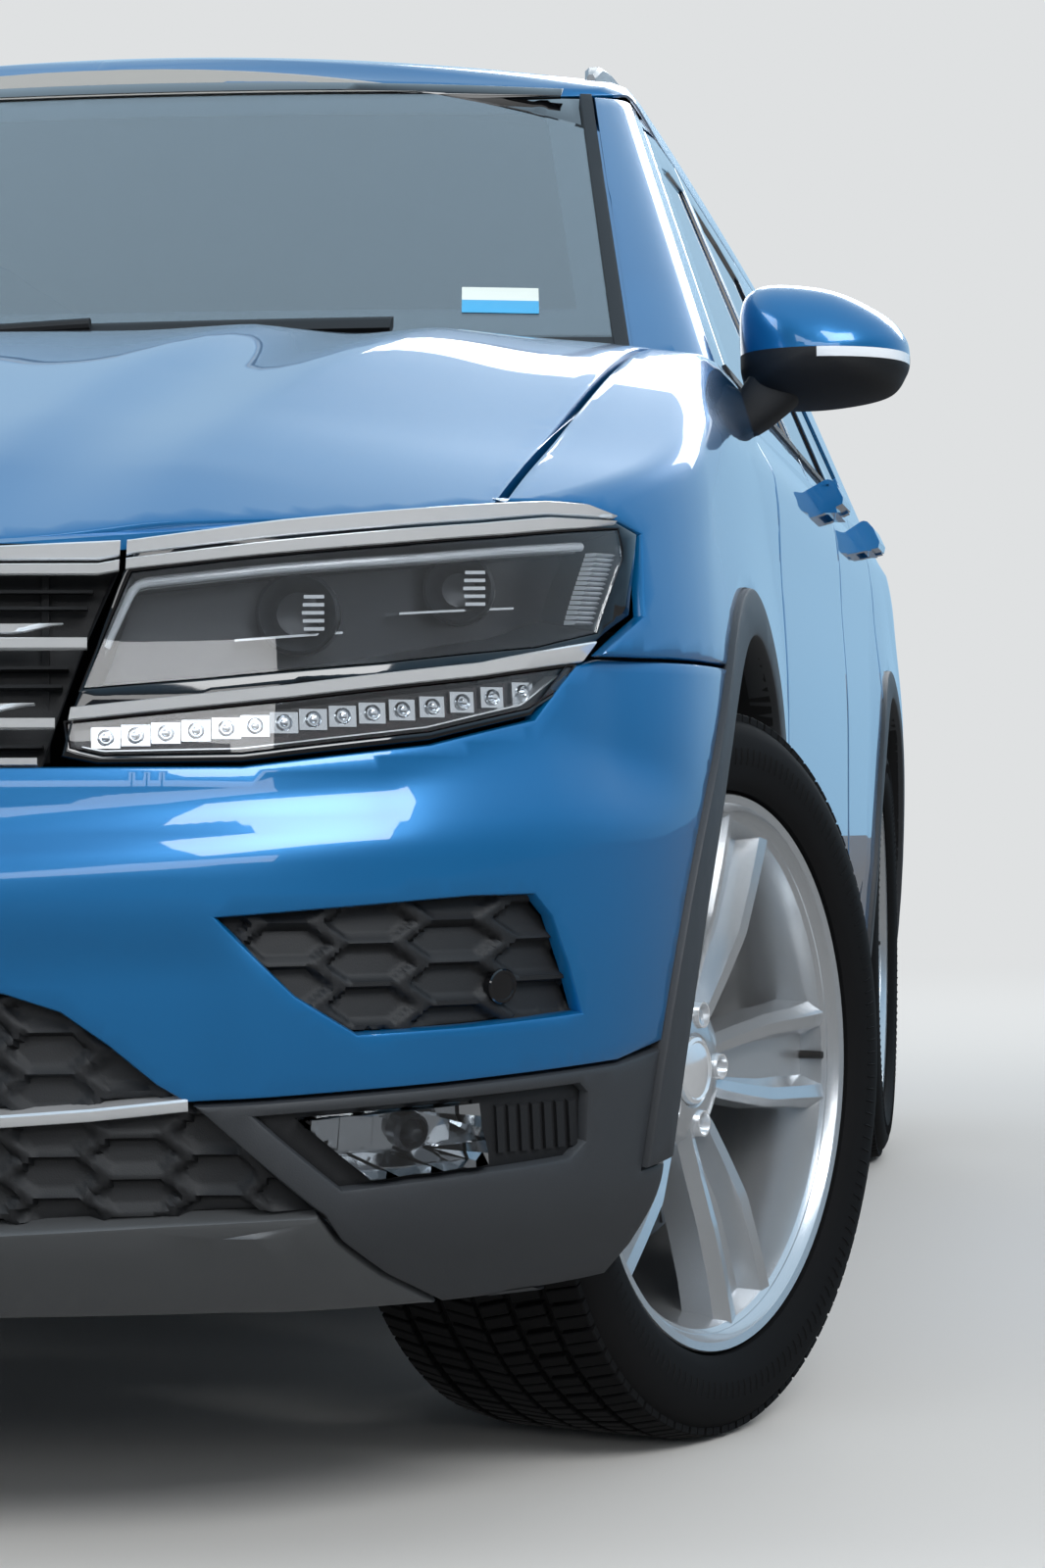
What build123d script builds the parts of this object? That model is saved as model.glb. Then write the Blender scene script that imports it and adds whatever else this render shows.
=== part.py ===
from build123d import *
from math import cos, radians, sin, sqrt
import os

# Compact SUV, millimetres. +X is the car's left, the nose faces -Y, +Z is up.
# The origin is on the ground, half way between the foremost and rearmost points.

# Overall sizes
length = 4486
body_half_width = 912
wheelbase = 2681
front_overhang = 880
nose_y = -length / 2
tail_y = length / 2
front_axle_y = nose_y + front_overhang
rear_axle_y = front_axle_y + wheelbase

# Wheels, size 255/40 R20
tyre_radius = 356
tyre_width = 255
rim_flange_radius = 271
bead_radius = 254
rim_half_width = 112
front_track_half = 791
rear_track_half = 786
steer_at_rest = 21.3
fit = 0.3

# Body form: plan outlines at stacked heights
nose_bow = 230
nose_corner = 480
tail_bow = 120
tail_corner = 260
# columns: height, half width, nose set back, tail set back
body_levels = (
    (190, 845, 120, 110),
    (300, 886, 25, 40),
    (520, 905, 0, 0),
    (720, body_half_width, 15, 20),
    (930, 896, 60, 75),
    (1130, 846, 130, 165),
)

# Hood and belt line, seen from the side, crowned across the car
hood_lip = (-2260, 795)
hood_middle = (-1650, 1015)
scuttle_top = (-1060, 1105)
belt_tail = (2300, 1150)
belt_crown_radius = 6000
crown_half_angle = 10

# Greenhouse: half widths and screen lines at two heights
glass_low, glass_high = 1040, 1600
glass_low_half_width, glass_high_half_width = 868, 634
windscreen_low_y, windscreen_high_y = -1217, -327
backlight_low_y, backlight_high_y = 2109, 1865
windscreen_bow = 95
backlight_bow = 60
pillar_corner = 70
pillar_tail_corner = 130

# Roof, seen from the side, crowned across the car
roof_front = (-520, 1520)
roof_peak = (250, 1632)
roof_tail = (2100, 1558)
roof_crown_radius = 2600
roof_half_angle = 25

# Walls and gaps
skin = 22
door_wall = 110
frame_wall = 42
door_skin = 26
door_inset = 14
gap = 6
hood_gap = 7
glass = 5
lens = 4

# Doors
fender_rear_y = -836
hinge_x = 918
front_door_rear_y = 250
rear_door_rear_y = 1085
sill_top = 326
door_bottom = sill_top + gap

# Wheel arches
arch_radius = 425
arch_trim_radius = 472
trim_proud = 7

# Bumpers
bumper_seam_z = 741
lamp_outer_y = -1868
rear_bumper_top = 640


def plan_outline(height, half_width, front_y, rear_y, bows, corners):
    """One closed plan outline: bowed nose and tail, straight sides, round corners."""
    front_bow, rear_bow = bows
    with BuildSketch(Plane.XY.offset(height)) as outline:
        with BuildLine():
            nose = ThreePointArc(
                (-half_width, front_y + front_bow), (0, front_y), (half_width, front_y + front_bow)
            )
            tail = ThreePointArc(
                (half_width, rear_y - rear_bow), (0, rear_y), (-half_width, rear_y - rear_bow)
            )
            Line(nose @ 1, tail @ 0)
            Line(tail @ 1, nose @ 0)
        make_face()
        fillet(outline.vertices().group_by(Axis.Y)[0], corners[0])
        fillet(outline.vertices().group_by(Axis.Y)[-1], corners[1])
    return outline.sketch


def crowned_block(draw_profile, top_height, crown_radius, half_angle, drop):
    """The side profile, lowered by drop, swept across the car about a long level axis."""
    pivot = top_height - crown_radius
    tilt = radians(half_angle)
    side_plane = Plane(origin=(0, 0, pivot), x_dir=(0, 1, 0), z_dir=(cos(tilt), 0, sin(tilt)))
    with BuildPart() as block:
        with BuildSketch(side_plane):
            with BuildLine():
                draw_profile(pivot + drop)
            make_face()
        revolve(axis=Axis((0, 0, pivot), (0, 1, 0)), revolution_arc=2 * half_angle)
    return block.part


def belt_profile(base):
    """Hood and belt line above a floor well under the car."""
    lip, middle, rear, tail = [
        (y, z - base) for y, z in (hood_lip, hood_middle, scuttle_top, belt_tail)
    ]
    hood_line = ThreePointArc(lip, middle, rear)
    belt_line = Line(hood_line @ 1, tail)
    Polyline(belt_line @ 1, (tail[0], -base), (lip[0] - 60, -base), (lip[0] - 60, lip[1]), hood_line @ 0)


def roof_profile(base):
    """Roof line in two arcs that meet level at the peak."""
    front, peak, tail = [(y, z - base) for y, z in (roof_front, roof_peak, roof_tail)]
    front_line = TangentArc(peak, front, tangent=(-1, 0))
    rear_line = TangentArc(peak, tail, tangent=(1, 0))
    floor = glass_low - base - 100
    Polyline(
        front_line @ 1, (front[0] - 900, front[1] - 60), (front[0] - 900, floor), (tail[0] + 200, floor),
        (tail[0] + 200, tail[1]), rear_line @ 1,
    )


def lower_form(inset, drop=None, floor=0):
    """The lower body, every wall moved in by inset and the top lowered by drop."""
    drop = inset if drop is None else drop
    outlines = [
        plan_outline(
            height - floor if height == body_levels[0][0] else height, half_width - inset,
            nose_y + nose_back + inset, tail_y - tail_back - inset, (nose_bow, tail_bow),
            (nose_corner, tail_corner),
        )
        for height, half_width, nose_back, tail_back in body_levels
    ]
    with BuildPart() as form:
        loft(outlines, ruled=True)
        add(
            crowned_block(belt_profile, scuttle_top[1], belt_crown_radius, crown_half_angle, drop),
            mode=Mode.INTERSECT,
        )
    return form.part


def greenhouse_form(inset, low=glass_low, drop=None):
    """Screens, side glass and roof, every face moved in by inset, from the height low."""
    drop = inset if drop is None else drop
    rise = glass_high - glass_low
    side_lean = (glass_low_half_width - glass_high_half_width) / rise
    front_lean = (windscreen_high_y - windscreen_low_y) / rise
    rear_lean = (backlight_low_y - backlight_high_y) / rise
    across = inset * sqrt(1 + side_lean**2)
    back = inset * sqrt(1 + front_lean**2)
    ahead = inset * sqrt(1 + rear_lean**2)
    outlines = [
        plan_outline(
            glass_low + climb, glass_low_half_width - side_lean * climb - across,
            windscreen_low_y + front_lean * climb + back, backlight_low_y - rear_lean * climb - ahead,
            (windscreen_bow, backlight_bow), (pillar_corner, pillar_tail_corner),
        )
        for climb in (low - glass_low, rise + 80)
    ]
    with BuildPart() as form:
        loft(outlines, ruled=True)
        add(
            crowned_block(roof_profile, roof_peak[1], roof_crown_radius, roof_half_angle, drop),
            mode=Mode.INTERSECT,
        )
    return form.part


def side_prism(points, x_near, x_far, growth=0):
    """A side view outline of (y, z) points, grown on all sides, carried across the car."""
    with BuildPart() as prism:
        with BuildSketch(Plane.YZ.offset(x_near)):
            with BuildLine():
                Polyline(*points, close=True)
            make_face()
            if growth:
                offset(amount=growth, kind=Kind.INTERSECTION, mode=Mode.REPLACE)
        extrude(amount=x_far - x_near)
    return prism.part


def front_prism(points, y_near, y_far, growth=0):
    """A front view outline of (x, z) points, grown on all sides, carried along the car."""
    with BuildPart() as prism:
        with BuildSketch(Plane.XZ.offset(-y_far)):
            with BuildLine():
                Polyline(*points, close=True)
            make_face()
            if growth:
                offset(amount=growth, kind=Kind.INTERSECTION, mode=Mode.REPLACE)
        extrude(amount=y_far - y_near)
    return prism.part


def plan_prism(points, z_low, z_high):
    """A plan view outline of (x, y) points, carried upward."""
    with BuildPart() as prism:
        with BuildSketch(Plane.XY.offset(z_low)):
            with BuildLine():
                Polyline(*points, close=True)
            make_face()
        extrude(amount=z_high - z_low)
    return prism.part


def box(x_range, y_range, z_range):
    """A block given by its three ranges."""
    size = [high - low for low, high in (x_range, y_range, z_range)]
    middle = [(high + low) / 2 for low, high in (x_range, y_range, z_range)]
    with BuildPart() as block:
        with Locations(tuple(middle)):
            Box(*size)
    return block.part


def axle_disc(radius, axle_y, x_near, x_far):
    """A disc about an axle line, between two distances from the car's middle."""
    with BuildPart() as disc:
        with BuildSketch(Plane.YZ.offset(x_near)):
            with Locations((axle_y, tyre_radius)):
                Circle(radius)
        extrude(amount=x_far - x_near)
    return disc.part


def post(radius, centre, z_low, z_high):
    """An upright cylinder."""
    with BuildPart() as cylinder:
        with BuildSketch(Plane.XY.offset(z_low)):
            with Locations(centre):
                Circle(radius)
        extrude(amount=z_high - z_low)
    return cylinder.part


far = 1400
lower_outer = lower_form(0)
lower_skin_inner = lower_form(skin, floor=20)
lower_cabin = lower_form(door_wall, drop=-100)
lower_trim_outer = lower_form(-trim_proud, drop=0)
lower_trim_inner = lower_form(50, floor=20)
lower_sill_face = lower_form(8, drop=0, floor=1)
house_outer = greenhouse_form(0)
house_cabin = greenhouse_form(frame_wall, low=1086)
house_pane_outer = greenhouse_form(3, low=1080)
house_pane_inner = greenhouse_form(3 + glass, low=1075)

# Inner space of the cabin, from the firewall back
firewall_y = -985
floor_top = 285
cabin_step_z = 1090
with BuildPart() as cabin_space:
    add(lower_cabin)
    add(box((-far, far), (firewall_y, 2400), (floor_top, cabin_step_z)), mode=Mode.INTERSECT)
    add(house_cabin)

with BuildPart() as left_wall:
    add(lower_outer)
    add(house_outer)
    add(box((0, far), (-1300, 2400), (190, 1700)), mode=Mode.INTERSECT)
    add(cabin_space.part, mode=Mode.SUBTRACT)

# Door outlines in the side view, points (y, z)
front_door_front = fender_rear_y + gap
front_door_outline = (
    (front_door_front, door_bottom), (front_door_front, 1085), (-262, 1478), (-50, 1505), (400, 1515),
    (400, door_bottom),
)
front_window_outline = ((-690, 1112), (-205, 1440), (-40, 1462), (190, 1470), (215, 1112))
rear_door_front = front_door_rear_y + gap
rear_door_outline = (
    (100, door_bottom), (100, 1513), (700, 1500), (1300, 1470), (1300, door_bottom),
)
rear_window_outline = ((300, 1116), (300, 1472), (640, 1462), (900, 1440), (985, 1120))
quarter_window_outline = ((1135, 1124), (1100, 1438), (1390, 1410), (1590, 1180), (1570, 1124))

front_swing_radius = front_door_rear_y - fender_rear_y
rear_swing_radius = rear_door_rear_y - front_door_rear_y
front_hinge = (hinge_x, fender_rear_y)
rear_hinge = (hinge_x, front_door_rear_y)
rear_arch_edge = arch_trim_radius + gap


def front_door_region(growth):
    """Everything that belongs to the front door, grown on all sides."""
    with BuildPart() as region:
        add(side_prism(front_door_outline, 300, far, growth))
        add(post(front_swing_radius + growth, front_hinge, 0, 2000), mode=Mode.INTERSECT)
    return region.part


def rear_door_region(growth):
    """Everything that belongs to the rear door, grown on all sides."""
    with BuildPart() as region:
        add(side_prism(rear_door_outline, 300, far, growth))
        add(post(rear_swing_radius + growth, rear_hinge, 0, 2000), mode=Mode.INTERSECT)
        add(axle_disc(rear_arch_edge - growth, rear_axle_y, 300, far), mode=Mode.SUBTRACT)
        add(post(front_swing_radius + gap - growth, front_hinge, 0, 2000), mode=Mode.SUBTRACT)
    return region.part


with BuildPart() as wall_skin_space:
    add(lower_form(door_skin, floor=20))
    add(greenhouse_form(door_skin))


def door_panel(region, inner_region, window_outline):
    """A door: outer skin with a flange around a narrower inner box, its window cut."""
    with BuildPart() as rim:
        add(wall_skin_space.part)
        add(inner_region, mode=Mode.SUBTRACT)
    with BuildPart() as panel:
        add(left_wall.part)
        add(region, mode=Mode.INTERSECT)
        add(rim.part, mode=Mode.SUBTRACT)
        add(side_prism(window_outline, 300, far), mode=Mode.SUBTRACT)
    return panel.part


def pane(window_outline):
    """A side pane that fills its window, set a little below the skin."""
    with BuildPart() as sheet:
        add(house_pane_outer)
        add(side_prism(window_outline, 300, far), mode=Mode.INTERSECT)
        add(house_pane_inner, mode=Mode.SUBTRACT)
    return sheet.part


pieces = {}


def mirrored(part):
    """The same piece on the other side of the car."""
    with BuildPart() as twin:
        mirror(part, about=Plane.YZ)
    return twin.part


def both_sides(part):
    """A left piece and its mirror image as two solids of one node."""
    with BuildPart() as pair:
        add(part)
        mirror(part, about=Plane.YZ)
    return pair.part


# Doors, their panes, and the fixed panes
# hinge lugs: ranges across, along and up; the front pair meets the hinge post, the rear pair the centre pillar
post_face_y = fender_rear_y + fit
pillar_face_x = 778 + fit
front_hinge_lugs = [
    ((812, 868), (post_face_y, front_door_front + door_inset + 4), (low, low + 60)) for low in (480, 850)
]
rear_hinge_lugs = [((pillar_face_x, 800), (266, 292), (low, low + 50)) for low in (530, 660)]
handle_z = (1004, 1034)
handle_foot = 30
handle_reach, handle_depth = 36, 14
handle_layer_top = lower_form(-handle_reach, drop=-60)
with BuildPart() as bar_layer:
    add(handle_layer_top)
    add(lower_form(handle_depth - handle_reach, drop=-60, floor=20), mode=Mode.SUBTRACT)
with BuildPart() as foot_layer:
    add(handle_layer_top)
    add(lower_skin_inner, mode=Mode.SUBTRACT)


def pull_handle(rear_y, reach=185):
    """A level bar held off the door by a foot at each end."""
    with BuildPart() as feet:
        add([
            box((700, far), (foot_y, foot_y + handle_foot), handle_z)
            for foot_y in (rear_y - reach, rear_y - handle_foot)
        ])
        add(foot_layer.part, mode=Mode.INTERSECT)
    with BuildPart() as handle:
        add(bar_layer.part)
        add(box((700, far), (rear_y - reach, rear_y), handle_z), mode=Mode.INTERSECT)
        add(feet.part)
    return handle.part


doors = (
    # columns: name, outline region, window outline, hinge lugs, back end of the handle
    ("door_front", front_door_region, front_window_outline, front_hinge_lugs, 212),
    ("door_rear", rear_door_region, rear_window_outline, rear_hinge_lugs, 1042),
)
for name, region, window, lugs, handle_rear_y in doors:
    with BuildPart() as hung_door:
        add(door_panel(region(0), region(-door_inset), window))
        add([box(*ranges) for ranges in lugs])
        add(pull_handle(handle_rear_y))
    panel = hung_door.part
    sheet = pane(window)
    pieces[name + "_left"] = panel
    pieces[name + "_right"] = mirrored(panel)
    pieces[name + "_glass_left"] = sheet
    pieces[name + "_glass_right"] = mirrored(sheet)
pieces["quarter_glass"] = both_sides(pane(quarter_window_outline))

# Windscreen and rear glass outlines in the front view, points (x, z)
screen_base, screen_top = 1122, 1505
windscreen_outline = ((-752, screen_base), (-628, screen_top), (628, screen_top), (752, screen_base))
backlight_outline = ((-610, 1105), (-520, 1450), (520, 1450), (610, 1105))
with BuildPart() as windscreen:
    add(greenhouse_form(2, low=1080))
    add(front_prism(windscreen_outline, -1400, 0), mode=Mode.INTERSECT)
    add(greenhouse_form(2 + glass, low=1075), mode=Mode.SUBTRACT)
pieces["windscreen"] = windscreen.part

# Tailgate, hinged at the back of the roof
roof_edge_x = 560
roof_rear_y = 1870
tailgate_top = 1496
tailgate_gap = 7
tailgate_outline = (
    (0, 646), (545, 646), (596, 760), (623, 900), (624, 1040), (612, 1160), (552, tailgate_top),
    (-552, tailgate_top), (-612, 1160), (-624, 1040), (-623, 900), (-596, 760), (-545, 646),
)
with BuildPart() as rear_wall:
    add(lower_outer)
    add(house_outer)
    add(box((-far, far), (1500, 2400), (190, 1700)), mode=Mode.INTERSECT)
    add(cabin_space.part, mode=Mode.SUBTRACT)
spoiler_outline = (
    (roof_rear_y + gap, 1600), (2007, 1600), (2007, 1530), (1930, 1488), (roof_rear_y + gap, 1488),
)
with BuildPart() as spoiler:
    with BuildSketch(Plane.YZ.offset(-540)):
        with BuildLine():
            Polyline(*spoiler_outline, close=True)
        make_face()
    extrude(amount=1080)
    add(
        crowned_block(roof_profile, roof_peak[1], roof_crown_radius, roof_half_angle, 0),
        mode=Mode.INTERSECT,
    )
with BuildPart() as tailgate_rim:
    add(wall_skin_space.part)
    add(front_prism(tailgate_outline, 1700, 2400, -door_inset), mode=Mode.SUBTRACT)
with BuildPart() as tailgate:
    add(rear_wall.part)
    add(front_prism(tailgate_outline, 1700, 2400), mode=Mode.INTERSECT)
    add(tailgate_rim.part, mode=Mode.SUBTRACT)
    add(front_prism(backlight_outline, 1700, 2400), mode=Mode.SUBTRACT)
    add(spoiler.part)
    for side in (-1, 1):
        low, high = sorted((side * 380, side * 430))
        add(box((low, high), (roof_rear_y + fit, roof_rear_y + 20), (1510, 1534)))
pieces["tailgate"] = tailgate.part
with BuildPart() as tailgate_glass:
    add(greenhouse_form(2, low=1080))
    add(front_prism(backlight_outline, 1700, 2400), mode=Mode.INTERSECT)
    add(greenhouse_form(2 + glass, low=1075), mode=Mode.SUBTRACT)
pieces["tailgate_glass"] = tailgate_glass.part

with BuildPart() as tailgate_hole:
    add(front_prism(tailgate_outline, 1700, 2400, tailgate_gap))
    add(box((-roof_edge_x, roof_edge_x), (roof_rear_y, 2400), (1480, 1700)))

# Roof panel between the cant rails
roof_outline = ((-roof_edge_x, -700), (roof_edge_x, -700), (roof_edge_x, roof_rear_y), (-roof_edge_x, roof_rear_y))
with BuildPart() as roof_panel:
    add(house_outer)
    add(plan_prism(roof_outline, 1440, 1700), mode=Mode.INTERSECT)
    add(house_cabin, mode=Mode.SUBTRACT)
    add(front_prism(windscreen_outline, -1400, 0), mode=Mode.SUBTRACT)
    add(tailgate_hole.part, mode=Mode.SUBTRACT)
pieces["roof_panel"] = roof_panel.part

# Hood outline in plan: front edge bowed like the nose, sides slightly splayed
hood_front_corner = (757, -1968)
hood_rear_corner = (800, -1110)
hood_front_y = -2215
hood_rear_y = -1162


def hood_region(growth, z_low=700):
    """The hood's outline in plan, grown on all sides, carried upward."""
    with BuildPart() as region:
        with BuildSketch(Plane.XY.offset(z_low)):
            with BuildLine():
                front_x, front_y = hood_front_corner
                rear_x, rear_y = hood_rear_corner
                lip = ThreePointArc((-front_x, front_y), (0, hood_front_y), (front_x, front_y))
                back = ThreePointArc((rear_x, rear_y), (0, hood_rear_y), (-rear_x, rear_y))
                Line(lip @ 1, back @ 0)
                Line(back @ 1, lip @ 0)
            make_face()
            if growth:
                offset(amount=growth, kind=Kind.INTERSECTION, mode=Mode.REPLACE)
        extrude(amount=1300 - z_low)
    return region.part


# Side frame: sill, pillars, cant rail and rear quarter
hinge_post_y = -955
sill_rear_y = 905
sill_depth = 200
sill_outline = ((hinge_post_y, 200), (hinge_post_y, sill_top), (sill_rear_y, sill_top), (sill_rear_y, 200))
rear_lamp_outline = ((650, 890), (650, 1035), (1000, 1062), (1000, 915))
rear_lamp_front_y = 1960
# the centre pillar's section in the front view, points (x, z), outer face first
centre_pillar_outline = (
    (762, 300), (762, 326), (778, 520), (778, 720), (764, 930), (726, 1086), (606, 1524), (655, 1524),
    (655, 1536), (540, 1536), (545, 1500), (660, 1086), (690, 930), (690, 300),
)
centre_pillar_y = (205, 300)
liner_wall = 6
liner_inner_x = {front_axle_y: 420, rear_axle_y: 600}

with BuildPart() as sill:
    add(lower_sill_face)
    add(side_prism(sill_outline, 905 - sill_depth, far), mode=Mode.INTERSECT)
with BuildPart() as pillar_base:
    add(house_outer)
    add(box((0, far), (-1300, hinge_post_y), (glass_low, 1700)), mode=Mode.INTERSECT)
    add(house_cabin, mode=Mode.SUBTRACT)
    add(lower_outer, mode=Mode.SUBTRACT)
    add(hood_region(hood_gap), mode=Mode.SUBTRACT)
with BuildPart() as fender_layer:
    add(lower_outer)
    add(box((500, far), (-2300, fender_rear_y), (0, 1300)), mode=Mode.INTERSECT)
    add(lower_skin_inner, mode=Mode.SUBTRACT)
with BuildPart() as side_frame:
    add(left_wall.part)
    add(box((0, far), (hinge_post_y, 2400), (sill_top, 1700)), mode=Mode.INTERSECT)
    add(fender_layer.part, mode=Mode.SUBTRACT)
    add(front_door_region(gap), mode=Mode.SUBTRACT)
    add(rear_door_region(gap), mode=Mode.SUBTRACT)
    add(box((0, far), (1500, 2400), (0, rear_bumper_top)), mode=Mode.SUBTRACT)
    add(pillar_base.part)
    add(sill.part)
    add(front_prism(centre_pillar_outline, *centre_pillar_y))
    add(front_prism(rear_lamp_outline, rear_lamp_front_y, 2400), mode=Mode.SUBTRACT)
    add(plan_prism(roof_outline, 1440, 1700), mode=Mode.SUBTRACT)
    add(front_prism(windscreen_outline, -1400, 0), mode=Mode.SUBTRACT)
    add(box((0, 752), (-1400, -900), (1000, screen_base)), mode=Mode.SUBTRACT)
    add(side_prism(quarter_window_outline, 300, far), mode=Mode.SUBTRACT)
    add(tailgate_hole.part, mode=Mode.SUBTRACT)
    add(axle_disc(arch_radius + liner_wall, rear_axle_y, 500, far), mode=Mode.SUBTRACT)
    add(axle_disc(arch_trim_radius, rear_axle_y, 850, far), mode=Mode.SUBTRACT)
    add(axle_disc(arch_trim_radius, front_axle_y, 500, far), mode=Mode.SUBTRACT)
pieces["side_frame_left"] = side_frame.part
pieces["side_frame_right"] = mirrored(side_frame.part)

# Rear lamps fill their pockets in the quarters
with BuildPart() as rear_lamp:
    add(left_wall.part)
    add(front_prism(rear_lamp_outline, rear_lamp_front_y, 2400), mode=Mode.INTERSECT)
pieces["rear_lamps"] = both_sides(rear_lamp.part)

# Wheel arches: proud trim ring and the liner behind it
arch_floor_z = 330
arches = []
for axle_y in (front_axle_y, rear_axle_y):
    with BuildPart() as arch:
        add(lower_trim_outer)
        add(axle_disc(arch_trim_radius, axle_y, 850, far), mode=Mode.INTERSECT)
        add(lower_trim_inner, mode=Mode.SUBTRACT)
        with BuildSketch(Plane.YZ.offset(liner_inner_x[axle_y])):
            with Locations((axle_y, tyre_radius)):
                Circle(arch_radius + liner_wall)
        extrude(amount=880 - liner_inner_x[axle_y])
        add(axle_disc(arch_radius, axle_y, 0, far), mode=Mode.SUBTRACT)
        add(box((0, far), (-2400, 2400), (-200, arch_floor_z)), mode=Mode.SUBTRACT)
    arches.append(arch.part)
with BuildPart() as wheel_arches:
    add(arches)
    mirror(arches, about=Plane.YZ)
pieces["wheel_arches"] = wheel_arches.part

# Sill strips under the doors
with BuildPart() as sill_strip:
    add(lower_trim_outer)
    add(side_prism(((-895, 205), (-895, 320), (840, 320), (840, 205)), 700, far), mode=Mode.INTERSECT)
    add(lower_sill_face, mode=Mode.SUBTRACT)
pieces["sill_strips"] = both_sides(sill_strip.part)

# Hood
hood_sheet = 12
under_hood = crowned_block(
    belt_profile, scuttle_top[1], belt_crown_radius, crown_half_angle, hood_sheet + 14
)
with BuildPart() as hood_well:
    add(hood_region(hood_gap))
    add(under_hood, mode=Mode.SUBTRACT)
with BuildPart() as hood_lugs:
    add(hood_region(hood_gap - fit))
    add(both_sides(box((560, 620), (-1180, -1100), (1000, 1120))), mode=Mode.INTERSECT)
    add(
        crowned_block(belt_profile, scuttle_top[1], belt_crown_radius, crown_half_angle, 4),
        mode=Mode.INTERSECT,
    )
    add(
        crowned_block(belt_profile, scuttle_top[1], belt_crown_radius, crown_half_angle, skin - 2),
        mode=Mode.SUBTRACT,
    )
with BuildPart() as hood:
    add(lower_outer)
    add(hood_region(0), mode=Mode.INTERSECT)
    add(
        crowned_block(belt_profile, scuttle_top[1], belt_crown_radius, crown_half_angle, hood_sheet),
        mode=Mode.SUBTRACT,
    )
    add(hood_lugs.part)
pieces["hood"] = hood.part

# Fenders
fender_outline = (
    (-1985, 1250), (fender_rear_y, 1250), (fender_rear_y, sill_top + 2), (-1250, sill_top + 2),
    (-1250, bumper_seam_z + 3), (lamp_outer_y, bumper_seam_z + 3), (lamp_outer_y, 866), (-1985, 872),
)
with BuildPart() as fender:
    add(fender_layer.part)
    add(side_prism(fender_outline, 500, far), mode=Mode.INTERSECT)
    add(hood_region(hood_gap), mode=Mode.SUBTRACT)
    add(box((0, 800), (-1200, -800), (900, 1300)), mode=Mode.SUBTRACT)
    add(axle_disc(arch_trim_radius, front_axle_y, 500, far), mode=Mode.SUBTRACT)
pieces["fenders"] = both_sides(fender.part)

# Scuttle cover between hood and windscreen, with the strip under the glass
with BuildPart() as cowl:
    add(lower_outer)
    add(box((-800, 800), (-1200, firewall_y - 15), (1000, 1300)), mode=Mode.INTERSECT)
    add(lower_skin_inner, mode=Mode.SUBTRACT)
    add(hood_region(hood_gap), mode=Mode.SUBTRACT)
    add(greenhouse_form(frame_wall, low=990), mode=Mode.SUBTRACT)
with BuildPart() as glass_foot:
    add(house_outer)
    add(box((-752, 752), (-1300, -900), (1000, screen_base)), mode=Mode.INTERSECT)
    add(house_cabin, mode=Mode.SUBTRACT)
    add(lower_outer, mode=Mode.SUBTRACT)
with BuildPart() as scuttle:
    add(cowl.part)
    add(glass_foot.part)
pieces["cowl"] = scuttle.part


def whole_outline(points):
    """A front view outline given for the left half, completed on the right."""
    return tuple(points) + tuple((-x, z) for x, z in reversed(points) if x)


# Front end, outlines in the front view, points (x, z) for the left half
intake_corner = (540, 384)
skid_corner = (634, 292)
intake_arch = (intake_corner, (518, 399), (482, 431), (446, 458), (402, 473), (0, 478))
paint_edge = ((1000, 420), (864, 403), (727, 394), intake_corner)
skid_seam = (skid_corner, (645, 267), (671, 233), (706, 200))
skid_top = ((0, 280), (391, 280), (505, 285), skid_corner)
bumper_outline = (
    (0, 652), (585, 652), (728, 669), (805, 690), (834, 736), (1000, bumper_seam_z), *paint_edge,
    *intake_arch[1:],
)
vent_outline = (
    (565, 532), (659, 539), (751, 546), (796, 546), (808, 528), (827, 447), (749, 441), (668, 438), (623, 470),
)
lower_side_outline = (*paint_edge, *skid_seam, (1000, 200))
skid_outline = (*skid_top, *skid_seam[1:], (0, 200))
intake_outline = (*reversed(intake_arch), *reversed(skid_top))
lamp_outline = (
    (504, 834), (607, 850), (757, 868), (798, 873), (826, 872), (846, 860), (864, 852), (868, 780),
    (840, bumper_seam_z + 3), (832, 739), (803, 693), (728, 672), (585, 655), (474, 654), (447, 658), (470, 712),
)
lens_outline = ((507, 808), (579, 818), (687, 830), (772, 841), (851, 854), (856, 830), (848, 762),
                (804, 748), (692, 734), (547, 720), (474, 714))
signal_outline = ((452, 688), (621, 704), (763, 722), (832, 735), (801, 697), (728, 675), (585, 659), (476, 658))
fog_outline = ((590, 373), (824, 386), (829, 378), (826, 337), (815, 324), (690, 315), (652, 310))

front_skin = lower_form(30, floor=20)
with BuildPart() as nose_shell:
    add(lower_outer)
    add(box((-far, far), (-2400, -1400), (0, 1000)), mode=Mode.INTERSECT)
    add(front_skin, mode=Mode.SUBTRACT)


def nose_piece(outline, shell=nose_shell):
    """The part of the nose skin inside a front view outline, clear of the arch trim."""
    with BuildPart() as piece:
        add(shell.part)
        add(front_prism(outline, -2400, -1400), mode=Mode.INTERSECT)
        add(both_sides(axle_disc(arch_trim_radius, front_axle_y, 500, far)), mode=Mode.SUBTRACT)
    return piece.part


with BuildPart() as front_bumper:
    add(nose_piece(whole_outline(bumper_outline)))
    add(both_sides(front_prism(vent_outline, -2400, -1800)), mode=Mode.SUBTRACT)
pieces["front_bumper"] = front_bumper.part
with BuildPart() as lower_side:
    add(nose_piece(lower_side_outline))
    add(front_prism(fog_outline, -2400, -1800), mode=Mode.SUBTRACT)
pieces["bumper_lower"] = both_sides(lower_side.part)
pieces["skid_plate"] = nose_piece(whole_outline(skid_outline))

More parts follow.
